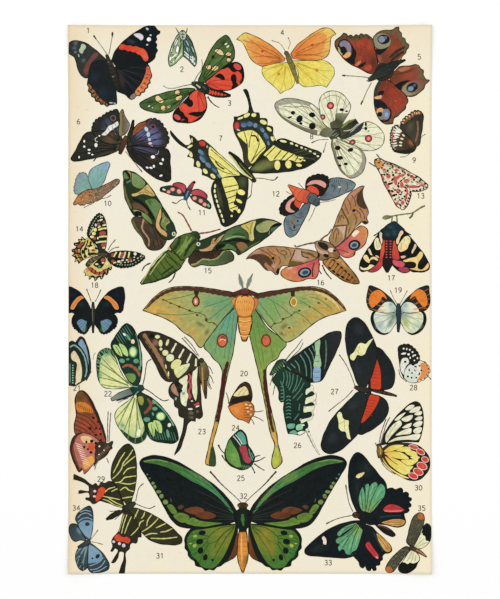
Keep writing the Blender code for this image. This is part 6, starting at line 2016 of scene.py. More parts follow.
def swordtail(p):
    """Striped in dark brown and cream, with one long tail, a red stripe and a furry body."""
    hind = p.area("68.6,176! 69,186 69.4,195 69.7,200 69.9,205 68.4,206! 66.8,205.4 66.4,207.4! 64.2,207 "
                  "62.6,208.4 61.6,212 60,217.4 58,222.4 55.4,225! 56.6,221.6 58.6,216 60.2,209.6 "
                  "60.4,205.6! 58.2,204.6 57.4,200.6! 55.8,199.4 55.2,196! 53.4,194.4 52.4,191 53,188.8 "
                  "55,186.6 58,184 62,179", "39342a>26231c", edge=0.35)
    p.area("67,178 67.2,186 67.2,194 66.6,196.4 65.4,194 64.6,188 64.8,183 65.8,179.6", "e2e8c8>dfe3b4", hind)
    p.area("62,183 62.4,186 62,190 62.8,194 62,196.6 61.4,199.4 59.6,198.4 58.6,194 58.8,191.4 60,188.6 "
           "57.8,186.4 60,183.6", "e4e3bc>dfe6c4", hind)
    p.lines("62,181.6 63.7,183.4 63.1,186 63.9,189 62.8,191.4 63.8,194 63.1,195.8/66.2,198.8 68.6,197.4",
            1.5, SOOT, hind)
    p.lines("62.4,182 63.9,183.8 63.2,186.2 64,189 62.9,191.6 63.8,194 63.2,195.6/65.8,198.9 68.4,197.6",
            (0.9, 0.9, 1.1), "c04a54", hind)
    p.line("68.4,177 68.5,186 68.6,197", 0.9, "2a2a1e", hind)
    p.area("53.6,189.4 55.2,187.6 56.4,190 57.4,192.6 57.6,194 55.6,193 54.2,191.6", "9a6a4a>a8836a", hind)
    p.dots("56.9,187.7,1.4,1.6 58.2,191.2,1.4,1.2", "1d1f1d", within=hind)
    p.dots("56.2,195.4,.5,.9 60.2,192.6,.8,.7", "8fae94", within=hind)
    p.dots("63.8,200.8,1.3,.5 67.5,199.4,1.1,.4,-20 64.6,196.6,.6,.4", "e9e4cc", within=hind)
    p.glows("64.2,202.8,2,.9 64.4,205.2,1.6,.8 67.6,202,.8,.8", "80795a", 0.85, hind)
    p.line("59,210 57.6,216 55.8,222.4", 0.4, "5a4d3c", hind)
    fore = p.area("68.8,176! 67,173.4 64,170.7 60,167.6 55,164.4 50,162 45,160.5 41,160.1 38,160.6 "
                  "36.6,161.8 38.4,166 42,171.4 45,176.4 47.2,181 49,184.4 51,186 54,186.5 57.4,185.4! "
                  "62,182.6 66.6,179.6", "3d3626>2d281e", edge=0.5)
    p.line("39.4,161.4 41.6,165.4 45,170 48,175.4 50.4,180.4 52.6,185", (1.6, 2, 2.2, 1.6, 0.9, 0.7),
           "94724e", fore)
    p.glows("45.6,166,2.2,2.4 48.8,174.8,1.2,3,-25", "a9796a", 0.8, fore)
    p.dots("43.6,162.6,1.3,1.1", SOOT, within=fore)
    p.dots("46.6,163,1.3,1 48.2,166.4,1,1.8 48.4,169.4,.8,.8 51.8,166,.7,1.8,20 50.7,171.4,1.6,1.5 "
           "52.3,182.4,.4,1.4 51,178.6,.4,1.2,-10", "dfdca4", within=fore)
    p.dots("53.2,174,2.1,1.9,-20", "dfe7ba", within=fore)
    p.area("53.8,177.2 57.4,174.8 59,175.6 58.6,177.6 55.4,180 53.8,179.4", "e3e6b4>dcd98c", fore)
    p.area("55.2,180.8 61,177.4 63.4,177 62.2,180 59.8,182.6 57,184.4 56,183", "e2e8c4>e0df9c", fore)
    p.lines("57,182.6 61.6,178.4/58.8,183 62.8,178.6", 0.25, "a9ab7c", fore)
    p.lines("56.4,166.4 53.9,171.2/60.4,169.4 57.8,174.2/64.2,171.8 62,176.6/66.8,174.4 66.6,178.4",
            (0.7, 0.9), "e6e3c2", fore)
    p.lines("39.6,163.4 44.4,171 48,178.6 50.6,184.6", 0.3, "1f1c15", fore)
    p.body("69.2,178 70.4,184 71.4,190 71.9,195.4", (3, 4, 2.4, 0.8), "6a5a3c>55452f>2c2720", 0, edge=0.3)
    p.body("68.6,174.6 70.2,177 71.6,181 71.8,186", (2, 3.4, 4, 2), "7c7148>57492f", 0, edge=0.3)
    p.dots("69.6,175.4,1.1", "3a3730", ring=0.3)
    p.hatch((71.4, 178.6), (72, 187), 8, (2.4, 3.6), 0.3, "4a4232")
    p.line("69.9,179 70.2,185 70.4,191", 0.7, "b58c4a")
    p.lines("71.6,177.6 73.8,179 75.6,182.4/72.8,182 74.6,184 75.9,187.4/72.4,185 73.6,187.6 74.9,190.4/"
            "59.4,163.6 63,167.6 67.4,172.8/60.6,163 64.4,167 68.4,173.4", (0.45, 0.3), "4a4538")


def orange_hairstreak(p):
    """A small tailed butterfly at rest, brown and cream above and orange below."""
    fore = p.area("83.8,199.4! 84.6,196.6 86,193.6 88,190.4 90.4,187.6 92.6,186.6 94.4,187.6 95.7,190.4 "
                  "96.1,194 95.2,197.4 90,198.4", "4a3420>3a2a1c", edge=0.45)
    p.area("86.4,193.8 88.2,191.4 90.4,189.6 92.4,189 93.8,190.8 94.2,193 91,193.8 88,194.2",
           "eae2b4>e6d79a", fore)
    p.lines("88.6,193.8 91.6,190/91,193.6 93.4,190.6", 0.2, "8a7444", fore)
    p.area("84.8,197.6 86,195.6 90,194.6 95.2,194 95.4,196.4 90,197 86,198.2", "241d16", fore)
    hind = p.area("83.4,199.6! 86.4,198.4 90,197.4 94,196.7 96.4,198.2 97.2,201 97,203.8 95.6,205.4 "
                  "94.4,208.4! 91.6,206.8 88.4,205.8 85.6,203.4", "dd8434>d98236>b06a34", edge=0.4,
                  line="4a3420")
    p.hatch((91.4, 198.4), (91.8, 205.4), 6, (5, -0.4), 0.3, "6f4220", hind)
    p.dots("93,198.4,.8,.4 95,198.9,.7,.4 93.6,200.2,.7,.4 95.6,200.8,.6,.4 94,202.2,.7,.4 95.4,203.6,.6,.4",
           "e9cfa0", within=hind)
    p.glow(87.4, 201, 2.6, 1.6, "e8a05c", 0.8, 35, hind)
    p.lines("83.9,198 83.5,195 82.6,192.2/97,202.2 99.6,202.2 102,201.6/96.4,204.4 99,205.4 102.2,207.2/"
            "95,205.6 96.4,207 97.2,209/84.4,201.6 86.6,204.4 89,206.4", (0.45, 0.3), "4a3a28")


def green_hairstreak(p):
    """A small green butterfly at rest, with black and teal stripes and a red patch."""
    wing = p.area("96.4,229.6! 94.4,231.6 90.6,232.6 87,231.6 84,229.8 82.2,227 81.8,223.8 82.8,220 "
                  "84.4,216.4 87.2,213.6 90.2,211.6 92.4,213.6 93.6,217 94.2,220 96,222.6 97.4,226",
                  "22332c>1d2a24", edge=0.45)
    p.area("84.6,216.6 82.8,220.4 82.3,224 83,227 85.4,229.6 88.4,231.2 89.8,231.4 89.6,227 88.4,223 "
           "86.2,219.4", "5f8f3e>6b9a48>55843a", wing)
    p.glow(86.6, 225.6, 2, 3, "7fa658", 0.7, -20, wing)
    p.area("88.2,213.6 90.2,212.6 91.9,214.2 92.9,217.2 93.1,219 91.2,219.4 89.8,216.4", "6ab09c>5a9a86",
           wing)
    p.lines("86.2,215 88,217 90.2,220/87.4,214.2 89.4,216.6 90.8,219.2", 0.35, "dfe6dc", wing)
    p.area("89.8,220.4 92.4,219.9 93.6,222.6 94.2,225.4 95.6,227.6 94.4,229.2 92.4,228.4 91,225.4",
           "b5474f>a33c46", wing)
    p.lines("94.4,221.6 95,224.6 96.4,227.8/95.6,223.6 96.8,226.4", 0.45, "5a9a8a", wing)
    p.hatch((90.2, 229.8), (94.8, 230.6), 6, (0.8, 2.2), 0.3, "6a9a5a", wing)
    p.lines("80.2,224.9 82,227.6 85,230.2/78.3,219.6 80,222.4 82.2,224.6/97,226.4 98.6,225.4 100.4,225/"
            "97,228.4 99.4,227.8 103,225.9/97.2,229.4 99.6,231.2 102.6,233/95.8,230.8 96.8,232.6 "
            "97.5,234.4", (0.6, 0.35), "2b2f28")
    p.dots("78.6,219.9,.6,.5 97.4,234,.4,.6", "3a4038")


def moon_moth(p):
    """A large green and ochre moth with an eyespot on each wing, a furry orange body and two long tails."""
    moon_hindwings(p)
    moon_forewings(p)
    moon_body(p)


def moon_hindwings(p):
    """The moon moth's hindwings with their tails."""
    left_hind = p.area("89,146! 88.4,154 87.2,164 86,172 84.4,178 83,184 81.8,190 80.4,199 79.2,205 78,210 "
                       "76.5,215 75.3,219.6! 76.4,223 76.9,227 76.6,230.6 74,230.4 71.9,229.6 72.2,226 "
                       "73.2,221.6 74.4,216 76,210 77.2,204 78.5,198 79.4,192 80.2,186 80.4,181 79,177.4 "
                       "76,174.6 74,171.8 71,168.6 73,163", "5f9c86>86a24e>b09a48", edge=0.5, line="3a2a1c")
    p.glows("82.4,155,2.6,8,16 84.6,164,1.6,7,8", "5f9c8a", 0.7, left_hind)
    p.lines("83.4,176 81.4,184 80.6,192 79.4,200 77.8,207.6", (1.4, 2, 2, 2, 1.6), "4a211b", left_hind)
    p.lines("77,208.6 75.8,214 74.4,219.4 73,224.4 72.6,229.4", (1.6, 1.6, 1, 1.2, 1), "d3a24a", left_hind)
    p.area("75,220.4 76.5,223.6 76.9,227.4 76.4,230.6 74,230.4 74,225", "33492f", left_hind)
    p.lines("85,150 83,160 81.6,174/86.6,150 85.4,163 83.4,176/83,152 78.6,162 76.6,172", 0.3, "5d7c34",
            left_hind)
    p.dots("80.5,165,2.2,2.9,6", "d9683f", within=left_hind, ring=0.8, ring_ink="5a3a2a")
    p.dots("80.9,163.6,1.3,1,20", "7c4a44", within=left_hind)
    p.line("79,165 80.6,164.2 82.2,165", 0.4, "e9c9b0", left_hind)
    right_hind = p.area("96.4,146! 98.6,150 104,158 113.8,167.8 111.2,170.6 109.4,174.2 106.2,176.2 "
                        "103.7,179 103.5,184 104.2,190.6 105.8,200 107,205 108.2,210 109.2,215 "
                        "109.7,219.6! 110.8,223.6 111.6,228.8 110.2,230.6 107.6,232 106.3,229.6 106.6,226 "
                        "107.5,222.4 107.9,219.4 106,214.6 104.9,210 103.2,200 101.2,190 99,180 96.6,170 "
                        "94.8,162", "5f8c4a>8ea24c>b09a48", edge=0.5, line="3a2a1c")
    p.lines("102.6,180 103,190 104.8,200 106.2,209 107.4,213", (1.2, 1.6, 1.6, 1.5, 1), "4a211b", right_hind)
    p.line("107,213 108,217 108.8,220", (1.6, 1.6, 0.8), "d9a850", right_hind)
    p.area("108.5,220.6 107.2,224 106.6,228.6 107.6,231.6 109.6,230 110,226 109.6,222", "c6d060>b3c04e",
           right_hind)
    p.lines("98.4,152 100,162 102.4,178/101.6,157 105.4,166 107,175/96.8,158 98.8,170 101.4,180", 0.3,
            "5d7c34", right_hind)
    p.dots("103.4,165,1.9,2.6", "d9683f", within=right_hind, ring=0.8, ring_ink="6a3a24")
    p.dots("103.2,163.8,1.1,.9", "a5665a", within=right_hind)


def moon_forewings(p):
    """The moon moth's forewings."""
    for mirrored in (True, False):
        path = ("88.6,140.4! 84,139.4 77,138.2 70,137.2 63,136.7 57,136.8 52,137.8 48,139.8 44,143.2 "
                "41,146.6 39,149.2! 42,150.3 47,152 52,154.2 56,156.8 60,160.6 64,163 69.6,168.6 72,165.4 "
                "76,160 81,153.6 "
                "87.4,146" if mirrored else "97,141! 103,139.6 110,138.6 118,137.4 125,136.8 131,137.2 "
                "136,139.2 140,142.4 143.4,146 145.3,149.2! 140,150.9 134,152.8 129,155.6 124,159.6 "
                "119.4,163.4 114.6,165.8 108,160.4 102,154 97.6,147.4")
        fore = p.area(path, "689a70>a3a866>c9a050", edge=0.5, line="3a2a1c")
        if mirrored:
            p.glows("80,146,7,4.4,20 73,145,4,3.6 78,151.6,5,4,-40", "6f9c70", 0.8, fore)
            p.glows("46,148.6,6,2.2,8 54,151.6,6,2.6,24 66,160.6,6,1.8,44", "cfa24c", 0.85, fore)
            p.glows("69,156.4,3.4,1.1,30 72.4,160.6,2.2,1.4,-60", "6b5230", 0.95, fore)
            p.line("88,141.2 80,140.2 70,138.6 60,137.9 53,138.9 47,142 40.4,148.4",
                   (2.8, 2.2, 2, 1.8, 1.6, 1.4, 0.5), "4d3224", fore)
            p.dots("49.6,143.6,.7,.5 53.5,145.4,.7,.5 58,147.3,.9,.6,30 63.4,149.3,.9,.6,30 "
                   "67.3,151.6,.8,.6,20 72.1,154.1,.8,1 76.2,156,.8,.5,30 78.6,158.2,.8,.6", "57481f",
                   within=fore)
            p.lines("49.6,143.6 58,147.2 63.4,149.4 72,153 72.2,155 76.4,155.9 78.4,158.2", 0.35, "57481f",
                    fore)
            p.lines("84.6,143 76,146 71,147.6/86,144 78,150.4 72.4,155/87,146 80,155 76.6,159.6/66,140.4 "
                    "60,142 50,144/70,150 58,151.6 46,150.8", 0.35, "4d7c4a", fore)
            p.line("67,138.8 67,142", (2.4, 1.4), "33291c", fore)
            p.dots("66.7,144.5,1.3,2.1", "d9755a", within=fore, ring=0.75, ring_ink="33291c")
            p.dots("66.6,144.5,.5,1.2", "efd9c0", within=fore)
        else:
            p.glows("105,146,6,4,30 111,144,5,3.4 107,151,5,4,30 123,144.6,6,3,10", "7fa45c", 0.8, fore)
            p.glows("134,149,7,2.4,8 126,153,7,2.6,-24 116,160,5,1.8,-32", "bd9a48", 0.85, fore)
            p.glows("113,157.4,2.6,1.4,-30 111.6,161.4,2.4,1.1,40", "6f5430", 0.95, fore)
            p.line("97.4,141.8 105,140.6 116,138.6 127,138 135,140 141,144.6 144.6,148.8",
                   (2.8, 2.4, 2.2, 1.6, 1.4, 1.2, 0.4), "4d3224", fore)
            p.line("129,139.4 136,142.4 140.6,146.6 142,149", (0.8, 1, 1, 0.4), "d5c47c", fore)
            p.dots("134.7,143.3,.6,.4 131,145.3,.8,.4 126.1,147.5,.6,.4 120.8,149.4,.8,.5 "
                   "116.7,151.7,.7,.5 112.3,153.7,.8,.6 108,156,.9,.5 105.5,158.3,.8,.6 115.6,158.3,.7,.5",
                   "3f3c1c", within=fore)
            p.lines("105.6,158.4 108,156 111,155.6 112.6,153.8 116,152.4 118,150.6 121,149.4", 0.35,
                    "4f4a20", fore)
            p.lines("104,142.6 110,146.4 116.6,151.6/107,145 111,152.6/100,145.4 108,155.8/98.6,148 "
                    "105.6,158.6/126,142 131,143.4 138,148.6/121,144 128,148 134,152.4/118,149.6 124,153 "
                    "127,156.6", 0.35, "4d7c3c", fore)
            p.line("117.4,139 117.4,142", (2.4, 1.4), "33291c", fore)
            p.dots("117.2,144.8,1.7,2.5", "2a241c", within=fore)
            p.dots("117.8,144.8,1.3,1.9", "b5803c", within=fore, ring=0.45, ring_ink="e9dc80")


def moon_body(p):
    """The moon moth's furry body and feathered feelers."""
    p.body("92.3,151 92.4,156 92.2,161 92,165.2", (7, 7.4, 5.6, 2), "e3a04c>d98f42", 6, "a3602a", 0.6)
    for row in range(4):
        y = 154.4 + 2.6 * row
        p.lines(f"89.6,{y} 92.3,{y + 0.7} 94.9,{y}", 0.3, "f0c27c")
    p.area("86.6,142.6 85.4,144 86.8,147 89.4,150 90,144", "d38f48", edge=0.3, line="8a4f28")
    p.area("97.8,142.8 99.2,143.6 98.6,147 96.4,150 95.4,144", "d0763f", edge=0.3, line="8a4f28")
    chest = p.area("88.6,142 92,141 96,142 97.4,145 96.6,149 95.2,152 92,152.6 89,152 87.6,149 87.2,145",
                   "e8ac58>dd9444", edge=0.6, line="9a5a2c")
    p.hatch((88.6, 144), (95.6, 144), 7, (0.2, 1.6), 0.35, "c47a34", chest)
    p.hatch((88.4, 148), (95.4, 148), 7, (0.2, 1.8), 0.35, "c47a34", chest)
    p.body("85.6,140.8 92.3,139.6 99,141", (1.4, 3.4, 1.4), "4a2e24>5a3028>4a2e24", 0, edge=0.4,
           line="2a1c16")
    p.dots("92.3,139.2,2.4,1.5", "5d322a", ring=0.3)
    p.line("90.4,142 92.3,141.4 94.2,142", 0.5, "3a2018")
    for tip in ("89.2,130 90.2,134 91.5,138.2", "96.4,130 94.6,134 93.2,138.2"):
        p.line(tip, (0.4, 2.2, 0.6), "8f9384")
        p.line(tip, 0.3, "55584c")


def urania(p):
    """A black moth with fine green lines, a pale green and blue bar and cream tails along its hindwing."""
    p.lines("113.4,175.6 116,172.2 119,169 121,166.2 122.4,164.2/114.6,176 118,172.6 121,169.6 122.8,166/"
            "107.4,182 106.4,185.4 105.4,188.6/108.4,187 107.6,190.4 107,193.6", (0.6, 0.4, 0.3), "5c5f50")
    p.line("124.2,210.6 126.8,216.4 129.4,221.6 131.4,224.8", (1.6, 1.4, 1.1, 0.6), "8f9078")
    p.line("124.6,211 127.2,216.6 129.6,221.8 131.2,224.4", (0.9, 0.7, 0.5, 0.3), "e6e3cc")
    p.dots("125.8,212.7,.5", SOOT)
    p.lines("129.6,193 129.4,196 129.6,198.6/127.8,201.4 128.4,204.6", 0.35, "9a9c84")
    for lobe in ("123.8,190.4 127.6,188.4 128.4,190.6 126.6,193.4 123.8,194.6",
                 "123.6,195.6 127,193.4 129.6,192.4 129.4,195.4 127,197.8 123.4,198.4",
                 "122.6,200.6 126,199.2 128.8,199 128.2,201.4 125,202.6 122.4,203",
                 "121,207 124,204.4 127.8,204 127.8,205.6 124.6,207.4 121.6,208.4"):
        p.area(lobe, "dde8bc>e6e3cc", edge=0.25, line="8f9078")
    hind = p.area("112,178.4! 108.4,182.6 106.6,186 108.8,188.8 110,192 110.2,195.8 111.2,197.4! 112.3,197 "
                  "112.4,201 113,205 113.8,209 114.4,212 115,213.7! 118,214 121.4,214.4 123.8,213.2! "
                  "123.8,211.4 125.2,210.4 125.3,208.6 124.6,207.2! 121.6,208.4 121.4,206.4! 127.4,203.6 "
                  "127.2,202.6 123,202.6 123,199.4! 128.6,198.2 127.6,197.4 123.8,198.4 124.2,195! "
                  "128.6,192.6 127.6,191.6 124.2,193.6 124.4,190.4 126.4,189.2 126.6,186.6! 120,182",
                  "1f3a2c>16251f", edge=0.3)
    p.lines("112.4,181.6 112.8,184.6 112,188/113.8,180.8 114.6,184 114,188.6/115.6,181.4 116,185 "
            "114.8,189.6/117.6,182.4 117.2,186.6 115.4,191/119.9,183 119.4,187 117.2,192.4/122,184.4 "
            "120.6,188 118.4,191.6/123.4,187 120.6,191.6 117.4,195.4/122.6,192.6 119.6,196.2/120.6,203.2 "
            "118,206.6/110.8,186 112.4,190 112.8,196/121,198 120.6,201.6", 0.45, "4f7a68", hind)
    for step in range(7):
        y = 194.6 + 1.8 * step
        p.lines(f"113.9,{y} 115.3,{y - 0.5} 116.4,{y}/111,{y - 5.4} 112.6,{y - 5.6}", 0.4, "5a8a74", hind)
    p.area("114.4,209.2 117,208.4 118.4,208.6 118.2,210.4 115,210.8", "6fa78f", hind)
    p.area("119.2,209.6 122.4,208.8 122.6,211 119.2,211.6", "93cc9c", hind)
    p.area("115.6,213.2 118.6,212 119.8,213.8 118,214.4", "6fa78f", hind)
    p.area("119.8,213.4 123.6,212.6 123.4,213.8 121,214.6", "e6e8d4", hind)
    p.dots("122.9,209.2,.7,.5 121.6,206.6,.6,.8", "e6efd8", within=hind)
    fore = p.area("112.6,177.4! 118,173.4 123,169.8 128,166.4 133,163 137,160.8 140,160.1 142.4,160.6 "
                  "142.8,162.6 141.9,166.4 140,171 137.8,175.6 135.6,180 133.8,184 132,186.1 129,186.8 "
                  "126,186.6 123,184.4 118,181.6 114.6,180", "1c3228>161f1c>2a2d2e", edge=0.5)
    p.lines("114.4,178.6 116.4,180.6/116.4,177 118.8,179.4/118.6,175.4 120.4,178 121,181.6/121.2,172.4 "
            "123.4,176 124.4,180 124.6,183.6/123.4,170.6 126,174.6 127,179 127,184.6/125.8,169 127.8,172.6 "
            "128.6,176/127.6,167.6 129,170.6", 0.5, "5f8577", fore)
    p.glow(120.6, 181.4, 3.4, 1.4, "3a2f2c", 0.8, 30, fore)
    p.area("129.8,164.8 130.9,164.4 131.3,171 131.4,179 128.9,179.2 129.4,172", "b3d0a0>9cc090", fore)
    p.area("128.9,179 131.4,178.8 131.9,183 131.4,186.2 128.3,186.4 128,184", "9ab6cf>86a6c0", fore)
    p.lines("129,173 131.3,172.6/128.9,176 131.3,175.8/128.6,181.6 131.7,181.4/128.2,184.4 131.8,184.2", 0.25,
            "4f6f66", fore)
    p.line("134.6,164.6 134.9,170 134.6,176 134,180", (0.4, 0.7, 0.7, 0.3), "566e60", fore)
    p.body("105.6,183 108.6,179.6 112.2,176 114,175.6", (0.8, 3.2, 4, 1.4), "33502f>24382a", 0, edge=0.35)
    p.hatch((106.6, 181), (112.4, 175.4), 7, (1.6, 1.8), 0.3, "6a8f5c")


def heliconian(p):
    """Long black wings with yellow patches, and a red bar on each hindwing."""
    black = "23292a>1a1f20"
    hind = p.area("156.6,191! 158,182 160.2,172 161.4,168.4 163.4,169.4 166.2,172.4 168.8,176.2 "
                  "170.4,180.2 170.8,184 170.2,187.6 168.6,189.9 165.4,190.8 161,190.8", black, edge=0.45)
    p.area("160.3,173.8 159.4,177.6 158.4,182 158.2,186.6 158.8,190.4 163,190.4 163.5,186 163.3,181.4 "
           "162.3,177.4 161.2,174.6", "cf4428>c23e26", hind)
    p.hatch((159.4, 179), (158.6, 188), 6, (4, 0.4), 0.25, "9c2c1c", hind)
    fore = p.area("155,190.6! 151.8,188.4 149.4,182.6 147,175.8 145.4,169 144.9,163.6 145.3,158.6 "
                  "146.6,155.2 148.8,153.3 151.4,153.1 153.8,154.6 156.4,158 159,163 161,168 161.6,172 "
                  "160.6,177 158.2,184.6", black, edge=0.45)
    p.glows("152,159,4,4.4 151.4,180,2,5,-14", "33363a", 0.6, fore)
    p.area("147.4,172.8 149.2,171.2 150.6,168.8 151.8,166.8 153.4,166.2 155.2,166.8 157.6,164.8 "
           "159.4,163.8 158,166.2 156.2,169.2 155,172 153.6,172.9 151,172.6 150.2,174.2 149,175.4 "
           "147.8,174.8", "ebe392>e9e8b4", fore)
    p.lines("150.4,169.6 152,171.8/152.6,167.4 151.6,170.6", 0.25, "a9a35a", fore)
    low_hind = p.area("156.6,191.2! 159.4,193.2 162.4,193.8 164.8,195.2 166.8,197.4 167.5,200 167.1,202.8 "
                      "165.8,205.6 163,208.6 159.6,211.2 156.2,213 153.4,214.2 151.4,213.6 151.6,208 "
                      "153.6,199", black, edge=0.45)
    p.area("158.2,193.4 160,193 162.6,194.6 161.6,198 159.6,201.6 157,205 154.6,207.4 153,208.3 153.3,205 "
           "154.8,200.8 156.6,196.8", "cf4428>c23e26", low_hind)
    p.hatch((157, 196), (154.6, 203.4), 6, (4.4, 0.8), 0.25, "9c2c1c", low_hind)
    low = p.area("155,191.2! 151.6,191.8 148,195 143.6,199.4 140.2,203 137.2,206.8 134.8,211.4 132.9,216 "
                 "132.2,219.8 132.9,222.2 134.9,223.8 138,224.1 141.4,222.9 145,220.3 148.4,217 "
                 "151.2,214.2 153.4,206 156,197", black, edge=0.45)
    p.glows("138,216,3.4,4.4,30 149,199,3,3.6,40", "33363a", 0.6, low)
    p.area("140.6,203.8 142,202.3 143,203.2 143.5,205.4 145,206.6 146.3,206.7 146.5,210 147.1,214 "
           "147.5,216.7 146.2,216.2 144.8,212.6 143,212.4 141.6,211 141.4,208 141,206", "ebe392>e9e8b4",
           low)
    p.lines("141.6,208.6 144.6,207.2/144.4,207 144.6,212", 0.25, "a9a35a", low)
    p.body("157.6,190.6 162,191.6 166,192.5 169.6,193.4 171.8,194.1", (1, 1.6, 1.9, 1.5, 0.7),
           "3a2a20>4a382c", 6)
    p.body("149.6,189.2 152,190 155,190.8 158.4,191.4", (1.4, 2.8, 3, 1.4), "3c3028>2a2622", 0)
    p.lines("150,188.8 147.4,182 144.8,176.8 141.7,172.4/149,190.6 145.6,194.4 140.6,198.4 136.2,202",
            (0.4, 0.3, 0.5), "5a5548", club=0.3)


def milkweed(p):
    """Black-veined cream forewing and a yellow hindwing with a row of red spots."""
    fore = p.area("162.8,219.8! 164.6,214.8 167.2,210.4 170,206.4 173,203 176.2,200 179.2,197.7 "
                  "181.7,196.8 183.5,197.6 185,200.2 185.7,204 185.8,208 185.2,212 184.4,215.4 "
                  "183.2,218.2! 177,218 170,218.8", "20211c", edge=0.3)
    for cell in ("176.3,201.2 179.4,198.6 181,198.8 178.2,201.4",
                 "178.4,202.6 181,200 184.2,199.8 183.8,201.2 180.8,202.6",
                 "180.9,203.6 183,202 185,202.2 184.6,203.6",
                 "170.8,206.8 173.6,203.8 176.4,202.6 174.6,204.8 172.2,206.8",
                 "174.2,206.4 177,204.6 180.2,204.2 179.8,205.6 176,207.4",
                 "181.2,206.2 183,204.8 185.2,205 184.8,206.4",
                 "165.8,216 167.8,211.4 171,208 173.6,206.8 174.4,208.2 172,211.6 168.8,215 166.2,218.2",
                 "174.6,210.6 177.2,208.8 179.6,208.2 179,209.9",
                 "180.3,209.4 182.8,207.3 185.2,207.4 184.8,209 182,210.2",
                 "171.2,214.6 175,212 179.4,211.1 179.3,213.2 175,214.2",
                 "180.4,212.6 182.2,210.6 184.9,210.6 184.3,212.8 181,213.3",
                 "167.2,218.4 171,216 177,214.9 184.2,214.3 183.3,216.4 177,216.8 171,217.4"):
        p.area(cell, "dcd7ac>ebe8cc", fore)
    p.line("171.6,208.6 168.8,212.4 166.8,216", 0.35, "b5b98a", fore)
    hind = p.area("163.8,222! 167,219.4 171,218.6 176,218.6 180,219 183.4,220.2 186.4,222.6 188.5,225.6 "
                  "189.2,229 188.7,232.2 186.8,235.2 184,237.6 181,238.4 178,238 173.6,236 169,233 "
                  "166,230.2 163.4,226.4", "3a301c>22201a", edge=0.3)
    for cell in ("165,223 168,220.4 172.6,219.5 175.4,219.8 172,221.9",
                 "171.6,222.4 175.4,220.6 177.6,220.6 179.4,222.4",
                 "176,223.4 180,222.6 182.2,223.8 182.6,225.2 178,224.9",
                 "165.4,224 170,223 175,224 178.2,226.6 171,226.4",
                 "178.8,226 182.6,225.4 183.8,226 182.4,227.2",
                 "174,227.6 178.6,227.2 183,227.5 181.4,229.2 178.8,230.4",
                 "166.8,225.2 173,227.8 178,230.6 180.4,230.8 178.4,233 172,229.7",
                 "165.6,225.6 171,229.4 178.6,234 177,235 171,232.4 168,229.8",
                 "164.2,226.2 167.4,230.6 172,233.9 178.2,237.1 175.6,236.8 170,233.9 166,230.4"):
        p.area(cell, "dfa048>e8cf62>ece283", hind)
    p.dots("180.6,220.7,2.4,.9,15 184.2,223.2,2.2,1.1,30 186.6,227.2,1.7,1.2,25 185,230.6,2.6,1.6,25 "
           "183,233.6,2.5,1.5,25 180.4,235.8,2.3,1.3,20", "d4453c", within=hind, ring=0.35, ring_ink="eccfc0")
    p.glows("180.6,220.5,1.6,.5,15 185,230.2,1.6,.8,25 183,233.3,1.4,.7,25", "e5766a", 0.8, hind)
    p.body("162.2,219 162.9,222 163,226.4", (1.6, 3.4, 1.8), "3a3224>8a6c34>4a3a24", 0, edge=0.35)
    p.line("162.8,220.4 163.4,222.4 163.2,224.6", 0.6, "c09a50")
    p.lines("163.4,219 165,213 166.8,207.6 168.2,205.2/162.6,218.4 163.6,213.4 166.2,206/163.2,226.6 "
            "164.4,229.4 167,232.4 171,235/160.6,218.4 161.2,220.2", (0.5, 0.4, 0.5), "6b6a58")


